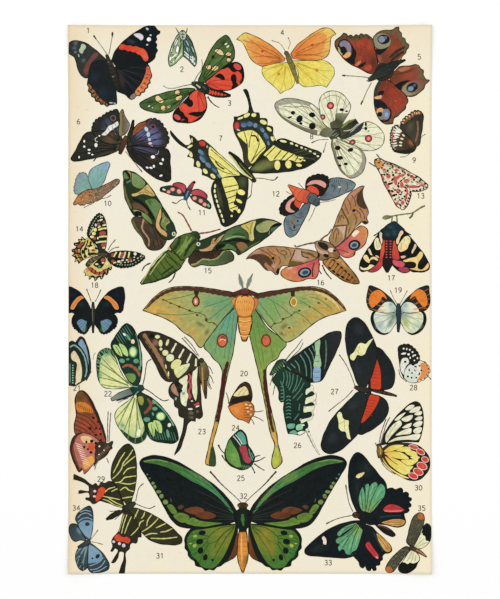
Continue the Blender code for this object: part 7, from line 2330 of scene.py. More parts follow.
def dragontail(p):
    """Olive-black wings with fine yellow lines, red patches and three tails on each hindwing."""
    olive, thread = "3a3a20>2e2e1c", "c9c97a"
    hind = p.area("30,253! 25,251.6 20,249.8 16,249 14.6,250 12.8,250.4 11.5,249.2 9,248.2! 9,247.4 "
                  "11,247.2 10.8,245 5.4,245! 5.4,243.8 10.8,243.6 10.6,241! 8,239.2 5,238.2 2.7,237.6! "
                  "2.9,234.9! 5.4,236 8.4,237.6 11.2,239.8 12.6,240.6 14.2,239.7 15.6,241 17.2,239 "
                  "18.8,239.7 21,238.6 23.6,239 26,243", "33301f>2a211a", edge=0.35)
    fore = p.area("31.4,252! 27.6,247 24.8,241 22.6,237.6 22.3,233 23.2,229 25,225 27.2,221.6 29.4,219.6 "
                  "31.6,219.1 33.4,220.4 34.8,223.6 35.5,228 35.7,233 35.5,238 34.7,243 33.6,247 32.6,250",
                  olive, edge=0.4)
    p.lines("23.4,234.4 25.4,230.6 27.2,227 29.6,223.4/23,237.4 25.6,235 27.6,232.4 28.8,229 31.2,226 "
            "33.8,222/28.6,235 31,232.2 35,231.2/28.8,230.6 32.4,227.4 35,225.4/24,239.4 27.6,238.6 "
            "29.2,236.8 32,236.2 35.4,235.8/26,239.2 29,239.8 32.6,240 35.2,239.2/27,243.4 29.8,241.8 "
            "31.6,243.2 34.4,244/27.6,247.6 31,247 33.8,246.6", (0.35, 0.6, 0.4), thread, fore)
    p.lines("18.4,245 21,242.6 24.4,241.6/22.4,244 25.4,242.6 29,242/18,246.4 22,247.2 27,248.2/18,248 "
            "21,249 24,251 28,252/20.4,247 24.4,249.6 28.4,251.4", (0.35, 0.55, 0.35), thread, hind)
    p.area("15.8,242.6 18,241.6 19.4,243 18.4,245.6 16.6,247.8 14.4,249.2 14.2,247.4 15,245", "d64a30", hind)
    p.dots("13.8,243.8,.8,.7 13.6,246.5,.8,.6", "d6cbd0", within=hind)
    p.glows("12.2,244.6,1,3 17.4,240.4,2,.7", "6a4a3a", 0.7, hind)
    low_hind = p.area("30.6,252.6! 28.6,256 27.4,261 26,265 25,266.4 23.4,268 22.6,270.2 23.2,272.2 "
                      "22,275.2! 22.8,275.4 24.4,273.6 25.8,274.4 24.4,278 22.4,281.2! 23.4,281.4 "
                      "25.8,278.6 27,275.4 28.8,275.6 28.9,279 27.6,283 26.4,286.7! 29.3,286.7! 30,281 "
                      "30.3,275.4 31.8,274 32.4,271.6 33.4,270.8 35.4,271 36.2,269.4 36.4,268 38,267.8 "
                      "38,265.8! 35,258", "33301f>2a211a", edge=0.35)
    low = p.area("31,252.4! 35,252.6 39,253.8 44,256 49,259 53.4,262.2 57,265.6 59.4,268.6 59.2,270.8 "
                 "56.6,271.8 52,271.8 46.6,271 42.4,269.2 39.6,266.8 37.4,264 34,258", olive, edge=0.4)
    p.lines("36.6,253.4 35.2,256.4 34,259/40,254.6 39.2,256.8 38.2,258/43.6,256 41.4,259.4 41,262/47,258 "
            "44.6,260.6 42.4,262.6 38.2,265.2/51,260.6 48,262 45.8,263/54.6,263.2 51,264.8 48,265.2/"
            "46.6,266 43,266 39.8,267.2/57,267.8 50,268.6 43,268.4/39.4,259 37.4,260.4 37,262.4",
            (0.4, 0.6, 0.4), thread, low)
    p.lines("37,262.4 34.4,265.4 32.6,267/33,257 31,261.4 29.4,266/30.6,256 28.8,261.6 27.8,266/29.2,256 "
            "27.6,261 26.4,265", (0.35, 0.5, 0.35), thread, low_hind)
    p.area("24,268 26,266.2 28.4,267.8 31,267.8 32.4,269.4 31.6,271 28.4,270.2 25,269.6", "d64a30", low_hind)
    p.dots("23.7,270.2,.8,.7 26.7,271.2,.8 28.9,272.2,.9,1", "d6cbd0", within=low_hind)
    p.body("28.6,254.4 25,255.6 22.4,257.2 19.8,258.6", (1.4, 2.6, 2.6, 1), "2f2e20>24241a", 5)
    p.body("35,249.8 33,251 30.6,252.6 28.6,254", (1.4, 3.2, 3.6, 2), "3c3d26>23241a", 0)
    p.lines("29,254.6 26.4,256.6 24.4,258.6/27,253.6 24,254.2 21.6,254.4", 0.35, SOFT_LINE)
    p.lines("35.2,249 36,245 37.2,241.6 39.2,239.8/35.4,250.4 39,252 42.6,252.8 45.2,251.6",
            (0.4, 0.3, 0.5), "4b4a3c", club=0.3)


def slate_blue(p):
    """A small blue butterfly with dark bands and eyespots."""
    slate, blue = "4c5c60>2c3a40", "88a6b8>7396ab"
    hind = p.area("9.6,270! 6,269.4 3.4,270 1.8,268.8 0.7,266 0.3,263 1.2,261 3.2,260.8 5.4,262 8,266",
                  slate, edge=0.4)
    p.glows("5.6,264.6,1.4,2.6,-30", "7f9aa6", 0.8, hind)
    fore = p.area("11.2,270! 8.4,267.6 6,264 4.8,260.8 3.6,258.4 4.2,256.4 6.4,254 9,252.2 11.2,251.6 "
                  "12.3,253 12.9,257 12.8,262 12,267", slate, edge=0.4)
    p.area("5.2,261.4 7.6,259.2 10,259 12.6,259.6 12.5,263 11.4,268.6 9.6,267.6 7,264.6", blue, fore)
    p.lines("4.8,257.8 7,255.8 9.6,255.2 12.4,256.8/6,254.8 8.6,253.8 11.6,254.4/5,259.8 7.6,258 "
            "10.6,257.8 12.6,258.8", 0.4, "8aa4b2", fore)
    p.dots("9.9,261,1.2,1", "28363e", within=fore)
    low_hind = p.area("9.8,271! 7.6,272 5.4,273.4 4.1,275.6 3.8,278.6 4.4,281.6 5.8,284.2 7.4,285.2 "
                      "9.4,284.4 10.8,282.6 11,276", slate, edge=0.4, hub=(10, 271))
    p.fan(low_hind, 2, 9, 7, (0.4, 0.3), "7d959a")
    p.beads(low_hind, 3, 9, 6, 2.2, 0.3, "1f2b2e", 0.7)
    low = p.area("10.6,270.4! 14,272.6 17.4,275.6 20,279 21.4,282.4 21,284.6 18.6,285.8 15,286.4 12,286.2 "
                 "10.6,284.6 10.2,280 10.3,275", slate, edge=0.4)
    p.area("10.9,272 14,273.4 17.4,276.8 17.8,278.6 15.6,280.6 13,281.2 10.6,281.4 10.6,276", blue, low)
    p.lines("11,282.8 14,281.8 16.6,280.4 18.2,278.4/11.4,284.8 14.6,284.4 17.8,282.2 19.2,280/13,286 "
            "16.4,285.2 20,283", 0.4, "8aa4b2", low)
    p.dots("15.3,277.8,.9,1.4,40 12.6,278.9,.5", "1f2a30", within=low)
    p.body("11.4,269.8 10,270.6 8,271.8 5,273", (1.6, 2.6, 2.2, 0.8), "3c4a4c>2b3436", 0)
    p.lines("11.6,269 13.6,266.6 15.4,264.2/12,270.2 15,270.8 17.8,271.6", (0.3, 0.22, 0.4), FEELER, club=0.3)


def leopard_fritillary(p):
    """A closed orange-brown butterfly, spotted black over pink and cream."""
    fore = p.area("19.6,220! 17,217.6 12,215.6 6.6,214.4 3.6,213.6 3.1,210 3.6,206.6 4.2,203.4 3.8,200 "
                  "3.5,196.6 4.2,193.4 5.4,191.6 7.2,191.3 9.4,192.6 12.2,196.6 14.6,201.6 16.8,207 "
                  "18.6,212 19.5,216", "8f4034>964a30>6a4a2a", edge=0.6, line="2f2118")
    p.glows("6.4,195,2.6,2.6,-10", "5f4426", 0.9, fore)
    p.area("4.2,197.6 8,197.2 11.4,199.4 13,202.6 9,202.4 4.8,202", "d08a44>c9782e", fore)
    p.glows("15.8,212,1.6,4,-16 9,209.6,3.4,2,20", "b04a3a", 0.8, fore)
    p.hatch((5, 198), (11.8, 201), 7, (0.8, 2.6), 0.3, "6a4020", fore)
    p.lines("3.8,204.6 9,207 14,212/3.6,206.8 9,209.4 13.6,213.6/3.4,209 8.6,211.6 12,214.6/3.4,211.2 "
            "8,213.4/4.4,203 10,205 15,210/8,192.4 11.4,197.6 16.4,208.6", 0.45, "5a2c1c", fore)
    p.glow(10, 203.6, 4, 1.2, "4f4420", 0.8, 25, fore)
    p.margin(fore, 12, 18, (0.5, 1.0, 1.3, 1.2, 0.8), "33241a")
    p.dots("13,205.4,.9,.6,40 15.4,207.4,.6 11.3,211,.9,.8 14.5,210.8,.7,.6 16.4,211.2,.6 14.3,214.4,.8,.6 "
           "16.8,214,.7 17,217,.6 15.4,217,.5", "2a1c18", within=fore)
    hind = p.area("19,220.6! 14.6,216.2 10.4,213.8 7,213.1 4.2,214 2.2,216 1.1,219 0.9,222.6 1.9,226.4 "
                  "3.4,230 4.6,232.6 5.6,233.8 7.4,232.6 8.2,235! 10.4,233 12.4,230.6 15,227.8 18,226",
                  "b4645a>c07a6c>a85c4c", edge=0.35, line="2f2118")
    p.margin(hind, 3, 12, (0.6, 1.7, 2, 1.8, 1.2), "40281e")
    p.line("2.6,219 2.4,223 4,228 6,232", 0.4, "8a4a3a", hind)
    p.area("6.4,215.4 9,214.8 12.4,216.4 13.4,218 10.6,218.4 7.6,218", "e6bf86", hind)
    p.area("10.6,218.8 13.2,219 13.6,221.8 11.8,222.8 10.2,221.2", "cf5a2c", hind)
    p.area("9.6,226.4 12.6,225.4 13.4,228 11.6,230.4 8.6,232.4 7.4,229.6", "e0a552", hind)
    p.hatch((3.6, 218.6), (7.4, 228.8), 9, (3.6, 1.4), 0.4, "ecc9b8", hind)
    p.dots("9.4,218,.6,.8 12.2,217.6,1,.9 14.3,218.6,.7 8.3,220.7,.6,.8 10.2,221.8,.6 11.8,223.5,.9,.7 "
           "14.2,221,.5", "1f1714", within=hind)
    p.area("14.3,219.3 16,218 18.7,218.5 20.7,218.7 22,218 23,217.5 23.3,218.3 22.7,220 23,221.3 "
           "21.7,222.3 20.7,224 19.3,225.7 17.3,227 15.7,228 14.3,229.3 13.3,231 14,228 13.8,225 "
           "14.2,222.3", "33261c>433528>2c2219", edge=0.3)
    p.hatch((14.6, 226), (20.4, 220), 9, (1.2, 1.2), 0.3, "8a7262")
    p.dots("16.2,220.3,.5 18.6,222.4,.4 16,224.6,.4", "e6dccb")
    p.lines("20.8,202 20.5,210 20.6,218/22.2,202.6 21.6,210 21.3,218/20,226.4 21,229/16,227.4 14.4,230 "
            "13.8,232.6", 0.45, "77705f")


def green_birdwing(p):
    """A great black and green birdwing with an orange abdomen, the lowest and largest figure."""
    birdwing_wings(p)
    birdwing_body(p)


def birdwing_wings(p):
    """The birdwing's wings, one side mirrored to the other."""
    first = len(p.layers)
    p.line("90.4,249.8 87,246.4 83.6,243.4 79,239 76.2,235.8 74,233.4", (0.35, 0.35, 0.4, 0.5, 0.7, 0.8),
           "4a4232")
    hind = p.area("88.6,260.8! 84,261 78,261.6 72,262.6 64.6,263 63,264.6 61.4,266.8 60.7,269.2 61,271.4 "
                  "60.9,273.6 62.4,275.4 62.7,277.6 64,279.2 66,280.6 66.6,282.8 68.4,283.4 70,283.8 "
                  "71.6,285.2 73.6,284.8 76,285.1 77.6,283.6 79.6,283 81.6,281.4 84,280.2 86.8,278.6 "
                  "88.6,276!", "141b18", edge=0.3, hub=(88, 261))
    p.area("87.4,261.2! 82,261.8 76,262.8 69,263.9 65.2,264.6 63.4,266.4 62.1,269 62.2,271.6 62.8,273.6 "
           "64.1,275.6 64.8,277.8 66.6,279.2 68,281 69.4,283 72,284 75.6,284 78,282.2 80.2,279.4 82.2,276 "
           "84,272 85.6,268 87.2,263", "5f6a24>77812e>54762e>42702c", hind)
    p.glows("68,266,4,2.6 66,275,3,5 74,281,5,3", "3f7638", 0.7, hind)
    p.glows("80,267,5,5,-40 77,275,4,6,15 82,271,2,4", "7e7c2c", 0.6, hind)
    p.lines("87,261.8 81.6,265.6 76.4,270.4 73,271.6/86.6,261.6 79.6,263 75,266 72.9,269 73,271.6/"
            "80.8,266.6 77.6,270.8 76.4,274/86.8,262.6 82.6,268 78.4,275 75,281.6/73,271.8 70.6,276.2 "
            "68.4,281.2/72.6,270.4 67.4,275.6 65,277.6/72.8,268.4 66,269.6 62.4,270.8/73.4,267.4 "
            "67.6,266.4 64,266.2", (0.5, 0.3), "37521f", hind)
    p.hatch((62.4, 269), (64.6, 276.6), 6, (3.4, -1.2), 0.4, "2f5f2c", hind)
    p.dots("66.3,267.3,1.1,.8,-20 66,272.3,1.1,.9,-40 63.8,271.2,.8,.4", "a3a84c", within=hind)
    p.area("88.8,264! 88.9,270 88.8,276.2 88,277.6 86,279.2 83.4,280.4 85,277 86.6,272.6 87.8,267.6",
           "7b4a27>5a3520", hind)
    p.dots("70,265.6,1.9,1.25,-8 68.7,270.2,1.9,1.5,-15 69.1,274.9,1.5,1.75,15 71.6,278.4,1.2,1.7,12 "
           "75.4,279.8,.7,.7", "10191a", within=hind)
    fore = p.area("89,259! 88.4,255.4 86.4,251.4 83.4,247.4 80,243.7 76.4,240.5 72.4,237.6 68,234.7 "
                  "64,232.3 60,229.8 56,227.8 52,226.3 48,225.3 44.4,225 41,225.7 38.5,226.9 37.2,228.8 "
                  "37.9,231.4 39.8,234.6 42.2,238.6 44.8,242.8 47.2,247 49.6,251.4 52,255.8 54.6,259.6 "
                  "57.4,261.9 60.8,263 65,263.2 70,263 75,262.4 80,261.5 84.4,260.6", "171d1b>10171a",
                  edge=0.35, hub=(88, 258), streak=0.9)
    p.area("38.8,228.3 41.4,227.3 46,227 50.4,227.7 55,229.1 60,231.2 65,233.8 70,236.9 74.4,240.2 "
           "78,243.8 81.4,247.8 84.2,251.6 86.2,255.2 84.2,253.6 81.4,250 78,246.6 74,243.6 69.4,240.9 "
           "64.4,238.4 59.4,235.4 54.4,232.6 49.4,230.6 44.4,229.4 40.8,228.9",
           "3f7f58>4c8858>4a783a>446a34", fore)
    p.glow(69, 236.6, 8, 1.6, "6f9254", 0.7, 32, fore)
    p.lines("44,228.4 50,229 56,231 62,234 68,237.6 74,241.6 79,246 84,251.8/50,230.4 56,232.8 62,236.4 "
            "68,239.6 74,243/66,234.8 71,238.6 77,243.4", (0.2, 0.4, 0.4, 0.2), "36683a", fore)
    p.lines("39.6,228.2 46,227.4 52,228.6", 0.3, "86a862", fore)
    p.dots("41.3,235,.5,.45 42.5,237.1,.55,.5", "5d7a6c", within=fore)
    p.dots("44.2,239.6,.9,.75 45.2,241.5,.85,1.05 47.2,244.1,1.35,.85 48.7,246.4,1.1,1.2 "
           "50.8,249.5,1.4,1.25,30", "738c4a", within=fore)
    p.area("51.6,251.2 53,250.6 54.6,251.2 56,253.2 56.8,254.9 55.8,255.9 54.2,255.4 52.7,253.5",
           "7a8f40>5f7f36", fore)
    p.area("54.9,256.5 56.6,255.4 59,255.1 61.4,255.7 63.3,257.2 62.8,258.7 61.4,260.1 59,260.1 57,259.1 "
           "55.6,257.8", "78883a>5f7f34", fore)
    p.area("62.8,258.9 64.6,257.6 66.4,258 68,259 69.8,259.4 73,259.9 77,260.2 80.4,260.5 76,261.5 "
           "71,262.3 67,262.1 64,261.4 61.4,260.4", "55803a>6a8838", fore)
    p.lines("57,257 60,257.2 62.4,258.6/64.4,259.6 69,260.4 75,260.9/53,252.4 55.4,254.8", 0.3, "4f6c2a",
            fore)
    p.line("53.4,247.6 53.9,249.4", 0.6, "45503c", fore)
    p.area("60.4,253.6 62.6,252.7 66,252 69.6,252.8 71.2,254.1 69,255.5 66,256 63,255.3", "8a4c2a>6a3c24",
           fore)
    p.area("66.4,256.4 69,254.9 72.6,254.4 75.2,255.2 77.2,256.7 75.4,257.9 72,258.5 69,257.9",
           "7c4426>5f3622", fore)
    p.area("57.2,252.1 58.6,251 60.4,251.7 59.6,252.9 57.9,253.2", "54392a", fore)
    p.lines("87.4,257.4 80,255.6 72,253.4 66,251.4/87.6,258 80,257 77,256.6/87.4,258.6 80,258.6 74,259/"
            "87,256 78,252.6 70,249/86,254 76,247.6 66,243", (0.5, 0.2), "2b302a", fore)
    p.mirror(first, 91.4)


def birdwing_body(p):
    """The birdwing's lit wing roots and its body."""
    p.glows("104,246,9,1.6,-46 116,237.6,7,1.8,-28", "7d8c38", 0.55)
    p.glows("103,267,4,5 106,273,4,5", "94822e", 0.6)
    p.glows("117,254,5,2 111,256.8,4,1.6", "4a3c22", 0.6)
    p.area("87,254.6 88.4,262.6 91.3,264.8 94.3,262.6 95.7,254.6 91.3,252.6", "141b18")
    p.body("91.2,263.6 91.2,267 91.2,272 91.2,277 91.2,282 91.2,286.2", (3.4, 4.8, 5.4, 5.8, 4.4, 0.8),
           "c07a38>de9440>c98632", 9, "a8662a", 0.5, "3a2814", 0.25)
    p.glow(92.8, 280, 1.6, 5, "4f4a20", 0.75, 8)
    p.glow(89.4, 272, 1, 7, "a8622e", 0.6)
    p.line("90.6,266 90.5,273 90.8,281", (0.3, 0.9, 0.3), "eeb064")
    p.body("91.2,250.2 91.3,253 91.2,257 91.2,261 91.2,265", (4.2, 4, 5.6, 5.4, 3.4), "1b251c>141c18", 0,
           edge=0.3)
    p.line("91.1,255.8 91.2,258.6 91.6,262", (1.2, 1.7, 0.6), "83a35c>3c6a2e")
    p.dots("91.2,251.2,2.6,1.3", "3d2f18", ring=0.3)
    p.dots("89.1,251.4,.7,.8 93.4,251.4,.6,.8", "5a4422")


def green_patched(p):
    """A black butterfly with green patches on its forewings, and red and tan bars on its hindwings."""
    black, green, tan, red = "171f22>0f171a", "8aa04c>66a070>5c9c74", "c98f48>d9ab62>b98a44", "c23a3e"
    patched_hindwings(p, black, tan, red)
    patched_forewings(p, black, green)
    patched_body(p)


def patched_hindwings(p, black, tan, red):
    """The patched butterfly's feelers, abdomen and hindwings."""
    p.lines("148.9,254.6 147,250.4 145.9,245.6 145.1,240.4/149,256.4 144.4,257.2 139.6,258.6 134.8,260.9",
            (0.45, 0.4, 0.4, 0.7), "6b6552")
    p.area("160.4,261.4! 164,261.8 167,262.8 169.6,264.6 171,266.9 170.2,267.5 166.8,266.7 163.8,264.7",
           "1d1a1a", edge=0.3)
    p.line("161.4,261.7 165,262.5 168,264", 0.5, "6a3a34")
    hind = p.area("157,257! 162,250 166,244 166.2,243! 167.6,242.3 169.7,242.1 171,242.9 172.4,242.5 "
                  "174,242.1 175,243 175.1,244.5 176.8,244.2 178,245.2 178,246.8 179.5,247.4 179.2,248.8 "
                  "178.3,249.3 179.4,251 178.9,252.2 178,252.2 178.3,253.8 177.2,255 175.9,255.4 176.1,258 "
                  "176.5,259.8 175.6,261.6 173,262.6 169.6,262.3 166,261.4 160,260.4", black, edge=0.35)
    p.area("163.7,260.2 167,259 171,258.3 174.4,258.4 176.3,259.5 175.6,261.2 173,262.2 169.8,262 "
           "166.4,261.2", tan, hind, edge=0.3, along="163,260 176,260")
    p.lines("165.6,260.2 170,260 174.6,260.3/167,259.6 171,259.3 174.8,259.4/167,260.9 171,261.2 174,261.3",
            0.3, "8f5f2c", hind)
    p.line("163,257.4 168,256.8 174,256.6", 0.6, "223c40", hind)
    p.area("164.7,253.6 165.8,251.9 167.8,250.8 171,251 174,252.3 175.7,253.8 174.2,254.5 170,254.8 "
           "167,254.7", red, hind)
    p.lines("165.4,254.1 169.6,254.3 174.4,254", 0.5, "d9817c", hind)
    p.lines("167,252.6 171,252.6 174,253.3/168.4,251.4 172,252", 0.3, "96272c", hind)
    low_hind = p.area("155,261! 159,262.6 161.2,265 163.8,267.4 166.6,270 168.8,272.8 169.2,275 "
                      "167.6,276.2 165.6,276.4 164.3,277.8 164.4,279.6 163.2,280.4 162.8,282.4 161,282.8 "
                      "161,285 159.8,285.4 158.6,284 158,285.4 156.4,285.2 155.2,283 154,284.1 152.6,283.2 "
                      "152,281 150,278.8 148.6,277.4! 152,268", black, edge=0.35)
    p.area("161.1,265.8 162.6,266.4 165,268.5 167.4,270.9 168.9,273.2 168.4,275.3 166.6,275.7 164.8,274.3 "
           "163,271.4 161.6,268.4", tan, low_hind, edge=0.3, along="161,266 168,275")
    p.lines("162,267.4 164.6,270.8 167.2,274.6/163.2,267.6 166,270.6 168,273.6", 0.3, "8f5f2c", low_hind)
    p.area("155.5,271.5 156.9,270.3 159,272.9 161,275.6 162.3,277.6 162,279.3 160.4,278.5 158.2,276 "
           "156.2,273.6", red, low_hind)
    p.lines("156.8,272 159,275 161,277.6", 0.3, "96272c", low_hind)
    p.dots("161.4,278.4,.9,.5,30", "dd9a92", within=low_hind)
    p.line("159.6,265.4 162,270.4 164.6,275.2", 0.6, "223c40", low_hind)


def patched_forewings(p, black, green):
    """The patched butterfly's forewings."""
    fore = p.area("152.6,257.4! 150.2,253.4 148.5,249.4 147.2,245 146.5,240 146.4,235 146.9,230 "
                  "148.1,226.4 149.6,224.3 151.2,223.5 153.3,224.2 155.7,226.6 158,229.6 160,231.9 "
                  "162,234.4 163.4,236.2 165.4,238.4 166.5,240.9 166.3,244 165,248.4 162.2,252.4 158,256.4",
                  black, edge=0.35, streak=0.9)
    p.glows("156,232,5,6,-30 151,241,2,7", "23302f", 0.7, fore)
    p.area("150.4,236.4 151.6,234.8 153.4,234.2 154.8,233.9 154.1,235.4 152.8,236.5 151.3,237",
           "c9a06c>efdca6", fore)
    p.area("151.9,248 152.6,244.6 153.9,241.7 154.7,244 155.1,248 155.1,252 154.7,254.4 153.4,253.4 "
           "152.4,251", green, fore, hub=(156, 256))
    p.area("155.5,240.6 156.9,239.9 157.5,241.5 158.6,240.1 160.6,239 161.7,240.1 161.4,242 163.4,240 "
           "165.3,241.4 165.7,243.6 165.2,246.4 163.1,249.3 161,252 158.8,254.4 157.4,255.1 155.6,254.3 "
           "155.4,250 155.4,245", green, fore, hub=(156, 256))
    p.lines("155.25,240 155.25,247 155.2,254.6/157.5,241.6 156.6,247.4 155.8,253.8/161.4,242.2 159,247.2 "
            "156.8,254.4/164.6,247.2 161,250.4 157.8,254.6/153.4,244 153.6,249 154.2,253.4", (0.3, 0.4),
            "27523a", fore)
    p.lines("159.6,240.6 158,245/163.6,242 160.8,247.4/156.2,242 156,246/152.9,246 153,250", 0.35, "8ab98e",
            fore)
    low = p.area("155.6,259.4! 152,259.1 148,259.5 143,260.7 138,262.7 133.4,265.4 129,268.9 125.5,272.1 "
                 "123.6,274.6 123.7,276.3 125.4,277.3 128.4,277.8 132,278 136,278.4 140,278.6 144,278.9 "
                 "146.6,278.5 149,277.8 152,274.4 154.6,268.6", black, edge=0.35, streak=0.9)
    p.glows("131,273.4,6,3,-20 148,277,5,1.2", "23302f", 0.7, low)
    p.area("132.6,268.3 133.5,267.3 134.7,268.6 135.1,270 134.5,271.8 133.4,271.3 133.2,269.6",
           "d9a58c>f2dcc4", low)
    p.area("140.7,266.5 142.6,263.8 145.4,262 148.4,260.9 150.8,260.5 148.6,262.4 146,264.1 143.6,265.7 "
           "141.3,267.3", green, low, hub=(153, 261))
    p.area("139.9,269.6 140.7,268.6 143.6,266.9 146,265.4 148.6,263.2 151,261.1 152.4,262.6 153.7,264 "
           "153.1,267 151.9,271 150.2,274.7 148.4,275.6 147.4,276.9 145.4,276.6 144.2,274.5 143.4,274 "
           "141.8,275.1 141.1,273.2 142.1,271.3 140.4,270.9", green, low, hub=(153, 261))
    p.lines("151,261.6 146.4,265.8 140.6,268.4/151.4,262 147.4,267 143.4,273.4/152,262.4 149.4,268.4 "
            "147.6,276/147,266.4 142.4,270.8/150.4,261 146.2,263 141.4,266.4", (0.4, 0.3), "27523a", low)
    p.lines("145.6,268 143,272/149,268 146.6,274/151.8,266 150,272/144,263.6 141.9,266", 0.35, "8ab98e", low)


def patched_body(p):
    """The patched butterfly's body."""
    p.body("151.6,256.4 155,257.4 159,259 162.4,260.4", (2.6, 6, 5.4, 2), "171d1c>10171a", 0)
    p.dots("150.6,256.3,1.9,1.4,10", "3a231b", ring=0.3)
    p.dots("150,255.6,.5,.4 150.6,257.2,.5,.4", "7a4c38")


def orange_tipped(p):
    """A small dark butterfly with orange wing tips and cream hindwings edged in black."""
    brown, cream, orange = "3f3d30>56533f", "d9d6a4>f1eecb", "b8693a"
    flecks = ("2d2b22", "77735c")
    hind = p.area("180.3,273.2! 181.4,270.6 183.2,267.6 185,264.6 186,261.8 187.4,260.6 189.2,261.6 "
                  "189.9,264 189.8,266.6 189.3,269.2 188,271.2 186,273 183.6,273.9", SOOT, edge=0.3)
    p.area("180.6,273 181.6,270.7 183.4,267.6 184.9,265.4 185.5,266.8 186.3,267.1 187,269.4 188.7,270.1 "
           "187.6,271.6 186,272.9 183.6,273.6", cream, hind)
    p.lines("181.4,272.6 184,270.4 186,268.4/182,273 185.4,271.4 188,270.4/183.6,268.6 184.8,267.6", 0.25,
            "9c9868", hind)
    fore = p.area("180.6,272.8! 178.4,272.2 177,270.6 177.7,266 178.6,262 180,258 181.8,255.8 183.8,254.9 "
                  "185.4,255.6 186.3,257.8 185.8,261 184.6,264.2 183,268", brown, edge=0.35)
    p.speckle(fore, 150, 0.24, flecks)
    p.area("182.7,257.7 183.4,255.6 184.6,255.1 185.8,256.2 186,258.3 184.4,258.6", orange, fore)
    low_hind = p.area("180,273.8! 182,275.6 183.5,277.6 183.6,279.6 182.6,281.2 181.6,283.6 179.4,285.5 "
                      "176.4,286.7 173.6,286.1 172.5,284.4 173,282.4 174.6,280.6 176.4,278 178.2,275.4",
                      SOOT, edge=0.3)
    p.area("179.8,274.4 181.8,275.8 183.3,277.8 183.2,279.8 181.8,280.9 180,281.4 178.6,281 177.4,281.8 "
           "176,281 174.7,280.7 176.4,278.2 178,275.6", cream, low_hind)
    p.lines("179.6,275.6 178.4,278.4 176.8,280.4/180.4,275.8 180,278.6 179.2,280.8/181.6,277 181.6,279 "
            "181,280.6", 0.25, "9c9868", low_hind)
    low = p.area("179.6,273.8! 177,272.6 174,274 171,276.7 168,279.9 166.4,282.7 165.9,285 167.3,286.4 "
                 "169.4,286.1 171.5,284 173.6,280.8 175.7,278.2", brown, edge=0.35)
    p.speckle(low, 150, 0.24, flecks)
    p.area("166.1,283.5 167.4,283.2 169.5,284.7 169.2,286.1 167.2,286.3 165.9,285.1", orange, low)
    p.body("178.4,273 180.6,273.9 183,275 187.2,278", (2.4, 2.2, 1.6, 0.7), "2f2a22>8a5a3c", 0)
    p.line("182,274.4 184.4,275.8 186.4,277.2", 0.4, "c08a64")


DIGITS = {"0": "0.3,0 0.08,0.2 0.02,0.5 0.08,0.8 0.3,1 0.52,0.8 0.58,0.5 0.52,0.2 0.3,0",
          "1": "0.12,0.2! 0.34,0! 0.34,1", "2": "0.04,0.24 0.12,0.06 0.3,0 0.5,0.08 0.54,0.28 0.38,0.54 "
          "0.16,0.78 0.02,1! 0.6,1", "3": "0.04,0.1 0.28,0 0.52,0.1 0.5,0.34 0.24,0.46! 0.52,0.58 "
          "0.56,0.82 0.32,1 0.02,0.9", "4": "0.46,1! 0.46,0! 0.02,0.7! 0.64,0.7",
          "5": "0.54,0! 0.12,0! 0.06,0.44! 0.3,0.36 0.54,0.48 0.56,0.8 0.32,1 0.02,0.92",
          "6": "0.48,0 0.2,0.2 0.06,0.5 0.05,0.7/0.3,0.46 0.1,0.54 0.04,0.74 0.1,0.92 0.3,1 0.5,0.92 "
          "0.56,0.74 0.5,0.54 0.3,0.46", "7": "0,0! 0.58,0! 0.34,0.44 0.22,1",
          "8": "0.3,0 0.12,0.06 0.08,0.23 0.12,0.4 0.3,0.46 0.48,0.4 0.52,0.23 0.48,0.06 0.3,0/0.3,0.46 "
          "0.1,0.54 0.04,0.74 0.1,0.92 0.3,1 0.5,0.92 0.56,0.74 0.5,0.54 0.3,0.46",
          "9": "0.3,0 0.1,0.08 0.04,0.27 0.1,0.46 0.3,0.54 0.5,0.46 0.56,0.27 0.5,0.08 0.3,0/0.56,0.3 "
          "0.54,0.52 0.4,0.82 0.12,1",}

# Where the middle of each figure's number lies, in the order of the numbers
NUMBER_PLACES = parse("10.5,2.8 59.5,23 84.4,40.7 112,3.8 183.6,16.6 5.4,50.4 79.8,59.2 127.4,58.2 "
                      "181,70.6 20.6,93.2 70,98 108.6,88.2 184.4,89.3 5.8,106.6 73,128.4 132,134.6 "
                      "169,132.2 13.8,136 172.6,138.6 92,182.2 4.6,189.8 20.8,192.8 70,212.6 87.6,210.6 "
                      "90.3,237 120,219.8 139.4,191.7 180.7,189.6 17.2,237.5 183.3,242 48,277.6 91.7,246.4 "
                      "136,281.2 4.2,252.6 184.9,252.7")[0]


def print_number(p, number, x, y, height):
    """One figure number in plain upright digits, centred on a place."""
    digits = str(number)
    for place, digit in enumerate(digits):
        left = x + (place - len(digits) / 2) * (DIGIT_ADVANCE * height) + DIGIT_BEARING * height
        for path in DIGITS[digit].split("/"):
            points = smooth(path, step=DIGIT_STEP / height)[0] * height + (left, y - height / 2)
            p.stroke(points, DIGIT_STROKE, LINE)


# ------------------------------------------------------------------ settings, operators and panel


class PaperSettings(bpy.types.PropertyGroup):
    """Colours and surface of the plate paper."""

    paper_colour: FloatVectorProperty(
        name="Paper", description="Colour of the middle of the sheet", subtype="COLOR", size=3,
        min=0.0, max=1.0, default=linear("f0e9d2"))
    toned_colour: FloatVectorProperty(
        name="Toned edge", description="Tan that age gives the left and back edges", subtype="COLOR", size=3,
        min=0.0, max=1.0, default=linear("edd8ae"))
    edge_colour: FloatVectorProperty(
        name="Yellowed edge", description="Yellowing of the right and front edges", subtype="COLOR", size=3,
        min=0.0, max=1.0, default=linear("f6e9c6"))
    roughness: FloatProperty(
        name="Roughness", description="Roughness of the bare paper", min=0.3, max=1.0, default=0.82)
    cell: FloatProperty(
        name="Mesh cell", description="Size of a cell of the sheet's mesh", subtype="DISTANCE",
        min=0.0005, max=0.01, default=0.002)


